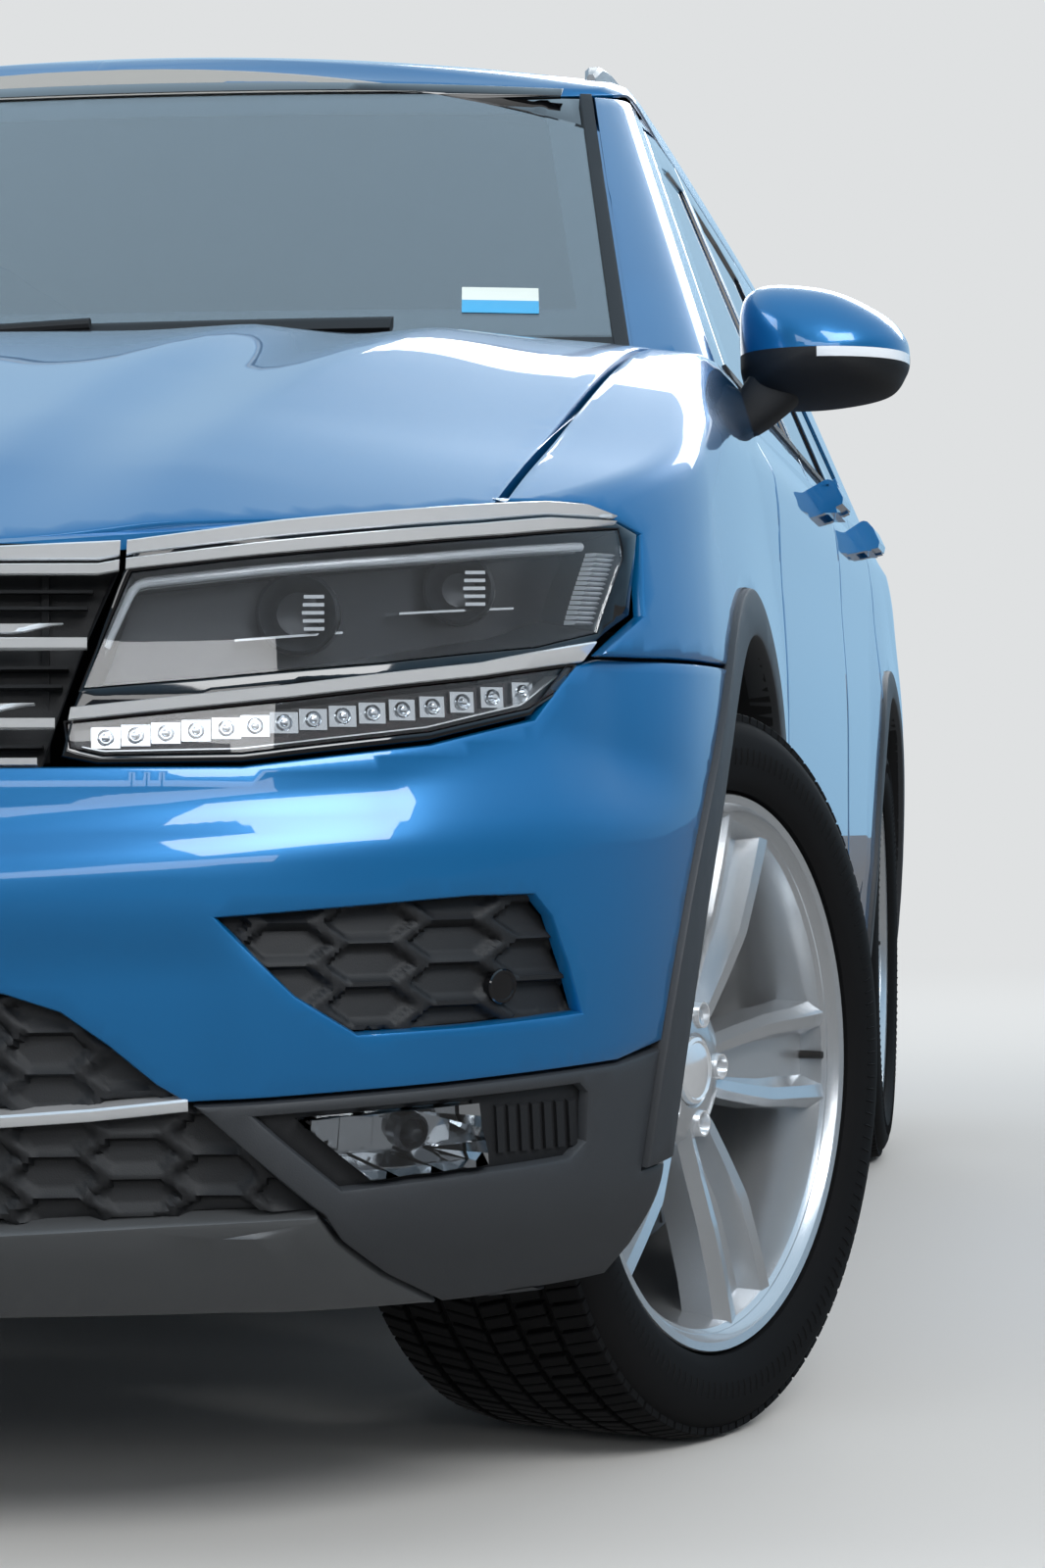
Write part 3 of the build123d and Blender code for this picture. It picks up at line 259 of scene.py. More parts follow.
def shell_outline(z):
    """Lower body and greenhouse as one wall, whichever is narrower at that height."""
    low, high = body_outline(z), house_outline(z)
    share = ease((z - corner_change[0]) / corner_change[1])
    ledge = np.clip((z - tail_change[0]) / tail_change[1], 0, 1)
    tail = low[2] + (np.minimum(low[2], high[2]) - low[2]) * ledge
    return (np.minimum(low[0], high[0]), low[1], tail, low[3],
            low[4] + (high[4] - low[4]) * share, low[5], low[6] + (high[6] - low[6]) * share)


print("half width at 0.6 m", round(float(shell_outline(np.array([0.6]))[0][0]), 3))

# %% Walking round an outline
def arc_parts(outline):
    """Centres and turning angles of the two bows and two corners of a plan outline."""
    half, front, rear, bow_f, bow_r, corner_f, corner_r = outline
    parts = []
    for end, bow, corner, way in ((front, bow_f, corner_f, 1), (rear, bow_r, corner_r, -1)):
        radius = (half**2 + bow**2) / (2 * bow)
        middle = end + way * radius
        across = half - corner
        drop = np.sqrt(np.maximum((radius - corner) ** 2 - across**2, 0))
        parts.append((radius, middle, across, middle - way * drop, corner,
                      np.arcsin(across / (radius - corner))))
    return parts


def walk(outline, u):
    """The point at u on a plan outline: 0 nose, 1 to 2 corner, 3 to 4 rear corner, 5 tail."""
    (rf, mf, xf, yf, cf, af), (rr, mr, xr, yr, cr, ar) = arc_parts(outline)
    side, u = np.sign(u) + (u == 0), np.abs(u)
    turn_f = np.where(u < 1, u * af, af + (np.clip(u, 1, 2) - 1) * (np.pi / 2 - af))
    turn_r = np.where(u > 4, (5 - u) * ar, np.pi / 2 - (np.clip(u, 3, 4) - 3) * (np.pi / 2 - ar))
    x = np.select([u < 1, u < 2, u < 3, u < 4],
                  [rf * np.sin(turn_f), xf + cf * np.sin(turn_f), xf + cf, xr + cr * np.sin(turn_r)],
                  rr * np.sin(turn_r))
    y = np.select([u < 1, u < 2, u < 3, u < 4],
                  [mf - rf * np.cos(turn_f), yf - cf * np.cos(turn_f), yf + (u - 2) * (yr - yf),
                   yr + cr * np.cos(turn_r)], mr + rr * np.cos(turn_r))
    return side * x, y


print("nose at 0.6 m", round(float(walk(shell_outline(np.array([0.6])), np.zeros(1))[1][0]), 3))

# %% [markdown]
# ## Arc length as a drawing board
# Panel outlines are easiest to draw flat. The wall is unrolled: the first coordinate is the
# distance walked round the body from the nose, the second is the height.
# Outlines read from the front, the side or the back are turned into this board.

# %% Unrolled coordinates
board_height = np.array([0.6])
board_u = np.linspace(0, 5, 2001)
board_x, board_y = walk(tuple(np.full_like(board_u, v[0]) for v in shell_outline(board_height)), board_u)
board_s = np.concatenate([[0], np.cumsum(np.hypot(np.diff(board_x), np.diff(board_y)))])
wall_length = board_s[-1]


def s_of(u):
    """Distance walked round the body for the place u on its outline."""
    return np.sign(u) * np.interp(np.abs(u), board_u, board_s)


def u_of(s):
    """The place on the outline for a distance walked."""
    return np.sign(s) * np.interp(np.abs(s), board_s, board_u)


def solve_u(form, z, want, along, low, high):
    """The u at which the outline at height z reaches the wanted coordinate, by halving."""
    z, want = np.broadcast_arrays(np.asarray(z, float), np.asarray(want, float))
    low, high = np.full(z.shape, float(low)), np.full(z.shape, float(high))
    outline = form(z)
    rising = walk(outline, high)[along] > walk(outline, low)[along]
    for _ in range(40):
        middle = (low + high) / 2
        under = (walk(outline, middle)[along] < want) == rising
        low, high = np.where(under, middle, low), np.where(under, high, middle)
    return (low + high) / 2


def dense(points, step=0.012, close=True):
    """The outline with more points along each run."""
    points = np.asarray(points, float)
    ends = np.roll(points, -1, 0) if close else points[1:]
    rows = []
    for a, b in zip(points, ends):
        count = max(1, int(np.ceil(np.hypot(*(b - a)) / step)))
        rows.append(a + (b - a) * np.arange(count)[:, None] / count)
    if not close:
        rows.append(points[-1:])
    return np.concatenate(rows)


def on_front(points, form=shell_outline):
    """Front view points (x, z) on the board, one for one."""
    x, z = np.asarray(points, float).T
    return np.column_stack([s_of(solve_u(form, z, np.abs(x), 0, 0, 2)) * np.where(x < 0, -1, 1), z])


def on_side(points, form=shell_outline):
    """Side view points (y, z) on the board, one for one."""
    y, z = np.asarray(points, float).T
    return np.column_stack([s_of(solve_u(form, z, y, 1, 1, 4)), z])


def on_back(points, form=shell_outline):
    """Back view points (x, z) on the board, one for one; the right half runs past the tail."""
    x, z = np.asarray(points, float).T
    s = s_of(solve_u(form, z, np.abs(x), 0, 3, 5))
    return np.column_stack([np.where(x < 0, 2 * wall_length - s, s), z])


def run_of(view, points, form=shell_outline):
    """A run of an outline: the view's points, made dense, on the board."""
    return view(dense(points, close=False), form)


def loop_of(view, points, step=0.012):
    """A closed outline: the view's points, made dense, on the board."""
    return view(dense(points, step))


print("the wall is", round(float(wall_length), 3), "m from nose to tail")

# %% [markdown]
# ### Pressed lines
# Pressed steel is stiffened by lines that also catch the light: a shoulder line, a lower door
# line, a flare round each arch, and the shelf under the lamps. Each is a smooth bump that is
# added along the surface's own normal, so it can be drawn in the side or front view.


# %% Pressed lines and the wall
def bump(distance, rise, fall, sharp=0.004):
    """A ridge: 1 on its line, fading over rise on one side and fall on the other."""
    width = np.where(distance < 0, rise, fall)
    away = (np.sqrt(distance**2 + sharp**2) - sharp) / width
    return np.exp(-away * away * 1.2) * 0.6 + np.exp(-away * 1.6) * 0.4


def side_relief(y, z):
    """Pressed lines of the side: shoulder line, lower door line and flares round the arches."""
    shoulder = 0.011 * bump(z - (0.985 + 0.012 * (y + 0.8)), 0.1, 0.028)
    lower = 0.007 * bump(z - (0.5 + 0.02 * y), 0.05, 0.13)
    lower = lower * np.clip((y + 0.95) / 0.2, 0, 1) * np.clip((0.95 - y) / 0.2, 0, 1)
    flare = 0
    for axle in (front_axle_y, rear_axle_y):
        reach = np.hypot(y - axle, z - tyre_radius)
        flare = flare + 0.008 * np.clip((0.66 - reach) / 0.2, 0, 1) ** 1.5
    ends = np.clip((2.05 - y) / 0.3, 0, 1) * np.clip((y + 1.95) / 0.3, 0, 1)
    return (shoulder + lower + flare) * ends


shelf_low = ((0.0, 0.564), (0.402, 0.566), (0.55, 0.574), (0.694, 0.583), (0.806, 0.592), (0.9, 0.6))
shelf_high = ((0.0, 0.606), (0.402, 0.612), (0.7, 0.64), (0.812, 0.688), (0.9, 0.65))


def nose_relief(x, z):
    """Pressed form of the nose: a shelf under the lamps and a lower face that tucks in."""
    low, high = [np.interp(x, *np.array(line).T) for line in (shelf_low, shelf_high)]
    shelf = -0.016 * ease((z - low) / (high - low)) * (1 - ease((z - 0.74) / 0.12))
    tuck = -0.012 * ease((0.537 - z) / 0.05) * ease((0.6 - x) / 0.06)
    return (shelf + tuck) * ease((0.905 - x) / 0.05)


soft_limit, soft_room = 2.24, 0.0024  # the skin flattens softly here, to stay in the CAD's box


def wall(s, z, form=shell_outline, relief=True):
    """The body wall in space for points on the unrolled board, pressed lines included."""
    s = np.asarray(s, float)
    past = np.abs(s) > wall_length
    fold = np.where(past, 2 * wall_length - np.abs(s), np.abs(s))
    outline, u = form(z), u_of(fold)
    x, y = walk(outline, u)
    if relief:
        x2, y2 = walk(outline, u + 0.002)
        run = np.hypot(x2 - x, y2 - y) + 1e-12
        amount = np.where(y < -1.6, nose_relief(x, z), 0) + side_relief(y, z)
        x, y = x + (y2 - y) / run * amount, y - (x2 - x) / run * amount
    beyond = np.maximum(np.abs(y) - soft_limit, 0)
    y = np.sign(y) * (np.abs(y) - beyond + soft_room * np.tanh(beyond / soft_room))
    side = np.where(s < 0, -1, 1) * np.where(past, -1, 1)
    return np.column_stack([side * x, y, z])


def house(s, z):
    """The greenhouse wall, on its own unrolled board."""
    return wall(s, z, house_outline, relief=False)


print("half width at the belt", round(float(wall(s_of(np.array([2.5])), np.array([1.1]))[0, 0]), 3))


# %% [markdown]
# ## Hood, fender top and roof
# These are crowned sheets: a side profile carried across the car on a large radius.
# Where the fender rolls from the crown into the side, the section is worked out at each
# station and its corner is eased, which leaves the crease that catches the light.


# %% Crowned sheets
def arc_through(a, b, c):
    """Centre and radius of the circle through three points."""
    (ax, ay), (bx, by), (cx, cy) = a, b, c
    d = 2 * (ax * (by - cy) + bx * (cy - ay) + cx * (ay - by))
    x = ((ax**2 + ay**2) * (by - cy) + (bx**2 + by**2) * (cy - ay) + (cx**2 + cy**2) * (ay - by)) / d
    y = ((ax**2 + ay**2) * (cx - bx) + (bx**2 + by**2) * (ax - cx) + (cx**2 + cy**2) * (bx - ax)) / d
    return x, y, math.hypot(ax - x, ay - y)


hood_arc = arc_through((-2.26, 0.795), (-1.65, 1.015), (-1.06, 1.105))
belt_height, belt_crown_radius, roof_crown_radius = 1.105, 6.0, 4.0
belt_pivot = belt_height - belt_crown_radius
roof_peak_y, roof_peak_z = 0.25, 1.632
roof_pivot = roof_peak_z - roof_crown_radius
roof_ends = ((-0.52, 1.52), (2.1, 1.558))


def crown_height(x, y):
    """Height of the hood and belt sheet."""
    y_arc = np.clip(y, -2.26, -1.06)
    profile = hood_arc[1] + np.sqrt(hood_arc[2] ** 2 - (y_arc - hood_arc[0]) ** 2)
    profile = np.where(y > -1.06, belt_height + (y + 1.06) * 0.0134, profile)
    rear_rise = (0.026 + 0.02 * np.clip(np.abs(x) / 0.75, 0, 1) ** 2) * ease((y + 1.8) / 0.62)
    return belt_pivot + np.sqrt((profile - belt_pivot) ** 2 - x * x) + rear_rise


def roof_height(x, y):
    """Height of the roof sheet, level at its peak."""
    profile = np.full_like(np.asarray(y, float), roof_peak_z)
    for (end_y, end_z), front in zip(roof_ends, (True, False)):
        run, fall = abs(end_y - roof_peak_y), roof_peak_z - end_z
        radius = (run**2 + fall**2) / (2 * fall)
        away = np.clip(np.abs(y - roof_peak_y), 0, radius * 0.99)
        part = roof_peak_z - radius + np.sqrt(radius**2 - away**2)
        profile = np.where((y < roof_peak_y) == front, part, profile)
    return roof_pivot + np.sqrt((profile - roof_pivot) ** 2 - x * x)


hood_ridges = (
    # columns: (y, x) along the ridge, height, width inboard, width outboard
    (((-2.21, 0.3), (-1.95, 0.327), (-1.586, 0.345), (-1.15, 0.42)), 0.01, 0.1, 0.05),
    (((-2.086, 0.499), (-1.927, 0.492), (-1.754, 0.504), (-1.564, 0.528), (-1.15, 0.62)), 0.012, 0.07, 0.1),
)


def hood_sheet(x, y):
    """The hood in space: crown with two pressed ridges each side."""
    z = crown_height(x, y)
    for line, height, inboard, outboard in hood_ridges:
        ys, xs = np.array(line).T
        away = np.abs(x) - np.interp(y, ys, xs)
        fade = np.clip((y + 2.23) / 0.25, 0, 1) * np.clip((-1.13 - y) / 0.15, 0, 1)
        z = z + height * bump(away, inboard, outboard, 0.006) * fade
    return np.column_stack([x, y, z])


print("roof over the front seats", round(float(roof_height(np.zeros(1), np.array([0.4]))[0]), 3))

# %% Rolled sections
def rolled_sections(stations, top, side_at, x_start, z_range, soft, reach=0.45):
    """Sections across the car: crown outboard to the corner, then down the side, corner eased."""
    steps = np.arange(-reach, 0.75, 0.0025)
    table = np.zeros((len(stations), len(steps), 2))
    kernel = np.ones(2 * soft + 1) / (2 * soft + 1)
    for i, y in enumerate(stations):
        z_side = np.linspace(z_range[1], z_range[0], 600)
        x_side = side_at(np.full_like(z_side, y), z_side)
        keep = z_side <= top(x_side, np.full_like(z_side, y))
        x_side, z_side = x_side[keep], z_side[keep]
        x_top = np.linspace(x_start, x_side[0], 300)
        line = np.concatenate([np.column_stack([x_top, top(x_top, np.full_like(x_top, y))]),
                               np.column_stack([x_side, z_side])])
        run = np.concatenate([[0], np.cumsum(np.hypot(*np.diff(line, axis=0).T))])
        at = steps + run[299]
        for k in (0, 1):
            end_slope = (line[-1, k] - line[-20, k]) / (run[-1] - run[-20])
            start_slope = (line[20, k] - line[0, k]) / run[20]
            value = np.interp(at, run, line[:, k])
            value = value + np.where(at > run[-1], (at - run[-1]) * end_slope, 0)
            value = value + np.where(at < 0, at * start_slope, 0)
            padded = np.pad(value, soft, mode="reflect", reflect_type="odd")
            table[i, :, k] = np.convolve(padded, kernel, "valid")
    return stations, steps, table


def section_point(sections, y, v):
    """The (x, z) on the rolled sections at station y and distance v past the corner."""
    stations, steps, table = sections
    fy = np.clip((y - stations[0]) / (stations[1] - stations[0]), 0, len(stations) - 1.001)
    fv = np.clip((v - steps[0]) / (steps[1] - steps[0]), 0, len(steps) - 1.001)
    iy, iv = fy.astype(int), fv.astype(int)
    ty, tv = (fy - iy)[:, None], (fv - iv)[:, None]
    low = table[iy, iv] * (1 - tv) + table[iy, iv + 1] * tv
    high = table[iy + 1, iv] * (1 - tv) + table[iy + 1, iv + 1] * tv
    return low * (1 - ty) + high * ty


def section_v(sections, y, want, axis):
    """The v at which the section at y reaches the wanted x (axis 0) or z (axis 1)."""
    low, high = np.full(len(y), sections[1][0]), np.full(len(y), sections[1][-1])
    for _ in range(40):
        middle = (low + high) / 2
        value = section_point(sections, y, middle)[:, axis]
        under = value < want if axis == 0 else value > want
        low, high = np.where(under, middle, low), np.where(under, high, middle)
    return (low + high) / 2


def body_side_x(y, z):
    """Half width of the lower body at a station and height."""
    u = solve_u(body_outline, z, y, 1, 0.5, 3)
    return walk(body_outline(z), u)[0]


def house_side_x(y, z):
    """Half width of the greenhouse at a station and height."""
    u = solve_u(house_outline, z, y, 1, 0.5, 4.5)
    return walk(house_outline(z), u)[0]


fender_sections = rolled_sections(
    np.linspace(-2.02, -0.8, 62), crown_height, body_side_x, 0.55, (0.25, 1.13), 6)
print("fender sections", fender_sections[2].shape)


def fender_sheet(y, v):
    """The fender in space: rolled section plus the side's pressed lines."""
    point = section_point(fender_sections, y, v)
    relief = side_relief(y, point[:, 1]) * np.clip(v / 0.05, 0, 1)
    return np.column_stack([point[:, 0] + relief, y, point[:, 1]])


# %% [markdown]
# ## Cutting a panel
# A panel is its outline filled with a regular net of points, laid on the body surface.
# Its edge is rolled over a small radius and turned inward, as a hemmed steel edge is,
# so that the shut lines are real gaps with depth. Openings are cut in the same way.


# %% Outlines on the board
def inside(points, outline):
    """Which points lie inside a closed outline."""
    x, y = points[:, 0][:, None], points[:, 1][:, None]
    ax, ay = outline[:, 0], outline[:, 1]
    bx, by = np.roll(ax, -1), np.roll(ay, -1)
    crosses = (ay > y) != (by > y)
    cut = (bx - ax) * (y - ay) / np.where(by == ay, 1e-12, by - ay) + ax
    return (crosses & (x < cut)).sum(1) % 2 == 1


def signed_area(outline):
    """Area of an outline, above zero where it runs anticlockwise."""
    x, y = outline.T
    return 0.5 * np.sum(x * np.roll(y, -1) - np.roll(x, -1) * y)


def anticlockwise(outline):
    """The outline in anticlockwise order."""
    outline = np.asarray(outline, float)
    return outline if signed_area(outline) > 0 else outline[::-1]


def inset(outline, amount):
    """An anticlockwise outline moved inward by amount."""
    before, after = outline - np.roll(outline, 1, 0), np.roll(outline, -1, 0) - outline
    normals = []
    for run in (before, after):
        unit = run / (np.linalg.norm(run, axis=1)[:, None] + 1e-12)
        normals.append(np.column_stack([-unit[:, 1], unit[:, 0]]))
    middle = normals[0] + normals[1]
    size = np.linalg.norm(middle, axis=1)
    middle = middle / (size[:, None] + 1e-12)
    reach = amount / np.maximum(np.sum(middle * normals[0], axis=1), 0.5)
    return outline + middle * reach[:, None]


normal_step = 0.0008


def lifted(surface, points, height):
    """Points of a surface moved along its outward side by height."""
    (p, q), small = points.T, normal_step
    base = surface(p, q)
    along = surface(p + small, q) - surface(p - small, q)
    up = surface(p, q + small) - surface(p, q - small)
    normal = np.cross(along, up)
    normal /= np.linalg.norm(normal, axis=1)[:, None] + 1e-15
    return base + normal * (height[:, None] if np.ndim(height) else height)


def filled_share(points, outline, holes):
    """Which points lie in the outline and in none of its openings."""
    keep = inside(points, outline)
    for hole in holes:
        keep &= ~inside(points, hole)
    return keep


trial = np.array([(1.0, 0.6), (1.1, 0.6), (1.1, 0.7), (1.0, 0.7)])
print("trial outline", round(signed_area(trial), 4), "square metres")

# %% [markdown]
# ### From an outline to a sheet of faces
# A real panel is pressed from one sheet and trimmed to its outline, openings included.
# A grid cut by booleans leaves ragged rims, so the inside is filled with points on a grid and
# triangulated together with the rims: every rim point stays exactly where the outline has it.

# %% Filling an outline
def fill(outline, holes, step):
    """Triangles over an outline with openings, on a regular net of points."""
    low, high = outline.min(0), outline.max(0)
    grid = np.stack(np.meshgrid(np.arange(low[0], high[0], step), np.arange(low[1], high[1], step)), -1)
    grid = grid.reshape(-1, 2) + step / 2
    grid = grid[filled_share(grid, outline, holes)]
    rims = [outline, *holes]
    edge_points = np.concatenate(rims)
    for start in range(0, len(edge_points), 200):
        near = np.linalg.norm(grid[:, None] - edge_points[None, start:start + 200], axis=2).min(1)
        grid = grid[near > 0.45 * min(step, 0.02)]
    edges, first = [], 0
    for rim in rims:
        count = len(rim)
        edges += [(first + i, first + (i + 1) % count) for i in range(count)]
        first += count
    points = np.concatenate([edge_points, grid])
    out, _, faces, *_ = delaunay_2d_cdt([Vector(p) for p in points], edges, [], 0, 1e-7)
    out = np.array([tuple(p) for p in out])
    faces = np.array([tuple(f) for f in faces])
    keep = filled_share(out[faces].mean(1), outline, holes)
    return out, [tuple(f) for f in faces[keep]]


print("trial outline filled with", len(fill(dense(trial), [], 0.02)[1]), "triangles")

# %% [markdown]
# ### Rolled edges
# The edge of a pressed panel turns inward round a small radius, and that is what a shut line shows.
# Each rim is therefore followed by rings that roll over and run back into the gap.

# %% A panel with rolled edges
def panel_mesh(surface, outline, holes=(), step=0.02, roll=0.003, depth=0.012, lift=0.0006):
    """Vertices and faces of a panel with rolled, inturned edges."""
    rims = [(anticlockwise(outline), 1)] + [(anticlockwise(hole), -1) for hole in holes]
    inner = [inset(rim, way * roll) for rim, way in rims]
    points, faces = fill(inner[0], inner[1:], step)
    verts = [lifted(surface, points, lift)]
    first, total = 0, len(points)
    for rim, way in rims:
        count = len(rim)
        rings = [list(range(first, first + count))]
        for share, sink in ((0.35, 0.3), (0.0, 1.0), (0.0, 1.0 + (depth - roll) / roll)):
            ring_points = inset(rim, way * roll * share)
            verts.append(lifted(surface, ring_points, lift - roll * sink))
            rings.append(list(range(total, total + count)))
            total += count
        for near, far in zip(rings, rings[1:]):
            for i in range(count):
                j = (i + 1) % count
                quad = (near[i], far[i], far[j], near[j])
                faces.append(quad if way > 0 else quad[::-1])
        first += count
    return np.concatenate(verts), faces


print("trial panel with rolled edges", len(panel_mesh(wall, dense(trial))[1]), "faces")

# %% [markdown]
# ### Finished pieces
# A car is the same on both sides, so a mesh is made once and mirrored.
# Each piece is one object with one finish that rides on the CAD body which carries it.

# %% Mirror images, joined meshes and finished pieces
def mirrored(mesh):
    """The mirror image of a mesh, faces outward again."""
    return mesh[0] * np.array([-1, 1, 1]), [f[::-1] for f in mesh[1]]


def joined(*meshes):
    """Several meshes as one."""
    verts, faces, total = [], [], 0
    for v, f in meshes:
        verts.append(np.asarray(v, float))
        faces += [tuple(i + total for i in face) for face in f]
        total += len(v)
    return np.concatenate(verts), faces


def both(mesh):
    """The same mesh with its mirror image on the other side of the car."""
    return joined(mesh, mirrored(mesh))


def piece(name, mesh, material, body, replaces=(), sharp=35, flat=False):
    """A finished object: smooth shading with sharp edges, riding on its CAD body."""
    data = bpy.data.meshes.new(name)
    verts, faces = mesh
    data.from_pydata([tuple(v) for v in verts], [], [tuple(int(i) for i in f) for f in faces])
    data.validate()
    made = bpy.data.objects.new(name, data)
    bpy.context.scene.collection.objects.link(made)
    bm = bmesh.new()
    bm.from_mesh(data)
    bmesh.ops.remove_doubles(bm, verts=bm.verts, dist=1e-6)
    bm.to_mesh(data)
    bm.free()
    data.polygons.foreach_set("use_smooth", [not flat] * len(data.polygons))
    data.set_sharp_from_angle(angle=math.radians(sharp))
    data.materials.append(material)
    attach(made, body)
    if replaces:
        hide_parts(*([replaces] if isinstance(replaces, str) else replaces))
    print(name, len(verts), "points on", body)
    return made


def pair(name, mesh, material, body, replaces=()):
    """One piece on the left body and its mirror image on the right one; SIDE in a name is the side."""
    for side, form in (("left", mesh), ("right", mirrored(mesh))):
        stood_for = [node_name.replace("SIDE", side) for node_name in replaces]
        piece(name.replace("SIDE", side), form, material, body.replace("SIDE", side), stood_for)

# %% [markdown]
# ## Painted steel panels
# Outlines repeat the CAD's own shut lines: the hood in plan, the fender in the side view,
# doors that end on an arc about their hinges, and the quarter with its window and lamp openings.
# Each skin lies over its CAD panel, which stays behind it as the inner pressing.


# %% Outline helpers
def arc(a, b, c, count=40):
    """Points on the arc from a through b to c."""
    x, y, r = arc_through(a, b, c)
    turns = np.unwrap([math.atan2(p[1] - y, p[0] - x) for p in (a, b, c)])
    t = np.linspace(turns[0], turns[2], count)
    return np.column_stack([x + r * np.cos(t), y + r * np.sin(t)])


def arch_run(axle, radius, start, stop, count=40):
    """Points round a wheel arch in the side view, angles from straight back, in degrees."""
    t = np.radians(np.linspace(start, stop, count))
    return np.column_stack([axle + radius * np.cos(t), tyre_radius + radius * np.sin(t)])


def whole(left):
    """A left half outline on the board, from bottom centre to top centre, made whole."""
    right = left[::-1] * np.array([-1, 1])
    return np.concatenate([left, right[(right[:, 0] < -1e-6)]])


hinge_x, front_hinge_y, rear_hinge_y = 0.918, -0.836, 0.25
shut = 0.006
arch_cut, arch_inner = 0.472, 0.425
sill_z, belt_z, door_top_z = 0.332, 1.1, 1.513


def shut_line(hinge_y, radius, low, high, count=60):
    """The rear edge of a door: an arc about its hinge, as the wall leans in."""
    z = np.linspace(low, high, count)
    half = shell_outline(z)[0]
    return np.column_stack([hinge_y + np.sqrt(radius**2 - (hinge_x - half) ** 2), z])


print("front door edge at the sill", shut_line(front_hinge_y, 1.086, sill_z, door_top_z)[0].round(3))

# %% Hood
hood_corner_front, hood_corner_rear = (0.757, -1.968), (0.8, -1.11)
hood_outline = np.concatenate([
    arc((-hood_corner_front[0], hood_corner_front[1]), (0, -2.2055), hood_corner_front, 120)[:-1],
    dense([hood_corner_front, hood_corner_rear], close=False)[:-1],
    arc(hood_corner_rear, (0, -1.162), (-hood_corner_rear[0], hood_corner_rear[1]), 120)[:-1],
    dense([(-hood_corner_rear[0], hood_corner_rear[1]), (-hood_corner_front[0], hood_corner_front[1])],
          close=False)[:-1],
])
piece("hood_skin", panel_mesh(hood_sheet, hood_outline, step=0.018, roll=0.004, depth=0.014), paint, "hood")

# %% [markdown]
# ### Fenders
# A front fender runs from the lamp to the door and rolls over its top edge to the hood.
# Neither the side view nor the plan alone can hold that roll, so its outline lies on a board of
# its own, whose second axis is the way up the side and over the top.

# %% Fenders
def to_fender(points, plan=False):
    """Side view (y, z) or plan (y, x) points on the fender's rolled board."""
    y = np.clip(points[:, 0], fender_sections[0][0], fender_sections[0][-1])
    return np.column_stack([y, -section_v(fender_sections, y, points[:, 1], 0 if plan else 1)])


def fender_board(y, w):
    """The fender's surface, with w running up the side and over the top."""
    return fender_sheet(y, -w)


hood_gap = 0.007
lamp_end = dense([(0.798, 0.874), (0.826, 0.873), (0.846, 0.861), (0.866, 0.85), (0.871, 0.78),
                  (0.842, 0.7445)],
                 close=False)
lamp_end_u = solve_u(body_outline, lamp_end[:, 1], lamp_end[:, 0], 0, 0, 2)
lamp_end_side = np.column_stack([walk(body_outline(lamp_end[:, 1]), lamp_end_u)[1], lamp_end[:, 1]])
edge_y = np.linspace(-0.842, lamp_end_side[0, 0] - 0.004, 90)
edge_x = np.interp(edge_y, [hood_corner_front[1], hood_corner_rear[1], -0.8],
                   [hood_corner_front[0], hood_corner_rear[0], 0.8]) + hood_gap
fender_outline = np.concatenate([
    to_fender(lamp_end_side),
    to_fender(dense([(lamp_end_side[-1, 0] + 0.004, 0.7445), (-1.64, 0.7445)], close=False)),
    to_fender(arch_run(front_axle_y, arch_cut, 124.6, -3.4, 90)),
    to_fender(dense([(-0.88, sill_z - 0.004), (-0.836, sill_z - 0.004)], close=False)),
    to_fender(dense([(-0.836, sill_z), (-0.836, 1.03)], close=False)),
    to_fender(np.column_stack([edge_y, edge_x]), plan=True),
])
fender = both(panel_mesh(fender_board, fender_outline, step=0.014, roll=0.003))
piece("fender_skins", fender, paint, "body", "fenders")

# %% [markdown]
# ### Doors, belt line and window frames
# The steel of a door ends at the belt line. Above it stands a frame faced in black acrylic,
# which makes the side glass read as one dark band. Both parts ride on the door's CAD body.

# %% Doors
windows = {
    "front": ((-0.69, 1.112), (-0.205, 1.44), (-0.04, 1.462), (0.19, 1.47), (0.215, 1.112)),
    "rear": ((0.3, 1.116), (0.3, 1.472), (0.64, 1.462), (0.9, 1.44), (0.985, 1.12)),
    "quarter": ((1.135, 1.124), (1.1, 1.438), (1.39, 1.41), (1.59, 1.18), (1.57, 1.124)),
}
front_edge = front_hinge_y + shut
front_radius, rear_radius = 1.086, 0.835
front_shut = shut_line(front_hinge_y, front_radius, sill_z, door_top_z)
rear_start = shut_line(front_hinge_y, front_radius + shut, sill_z, door_top_z)
rear_shut = shut_line(rear_hinge_y, rear_radius, 0.779, 1.49)


def below(points, z):
    """The points up to a height."""
    return points[points[:, 1] <= z]


def above(points, z):
    """The points over a height."""
    return points[points[:, 1] > z]


door_shapes = {
    "front": (
        [(front_edge, sill_z), *below(front_shut, belt_z), (0.248, belt_z), (front_edge, belt_z - 0.012)],
        [(-0.815, belt_z + 0.002), *above(front_shut, belt_z), (-0.05, 1.505), (-0.262, 1.478)],
    ),
    "rear": (
        [*below(rear_start, belt_z)[::-1], *arch_run(rear_axle_y, arch_cut + shut, 183, 120.5, 50),
         *below(rear_shut, belt_z), (1.083, belt_z), (0.256, belt_z)],
        [*above(rear_start, belt_z)[::-1], (0.256, belt_z + 0.002), (1.083, belt_z + 0.002),
         *above(rear_shut, belt_z), (0.7, 1.5)],
    ),
}
for place, (lower, upper) in door_shapes.items():
    window = loop_of(on_side, windows[place])
    steel = panel_mesh(wall, loop_of(on_side, lower), step=0.016)
    black = panel_mesh(wall, loop_of(on_side, upper), [window], step=0.02, roll=0.002, lift=0.0012)
    body = f"door_{place}_SIDE"
    pair(f"{body}_skin", steel, paint, body)
    pair(f"{body}_frame_face", black, gloss_black, body)

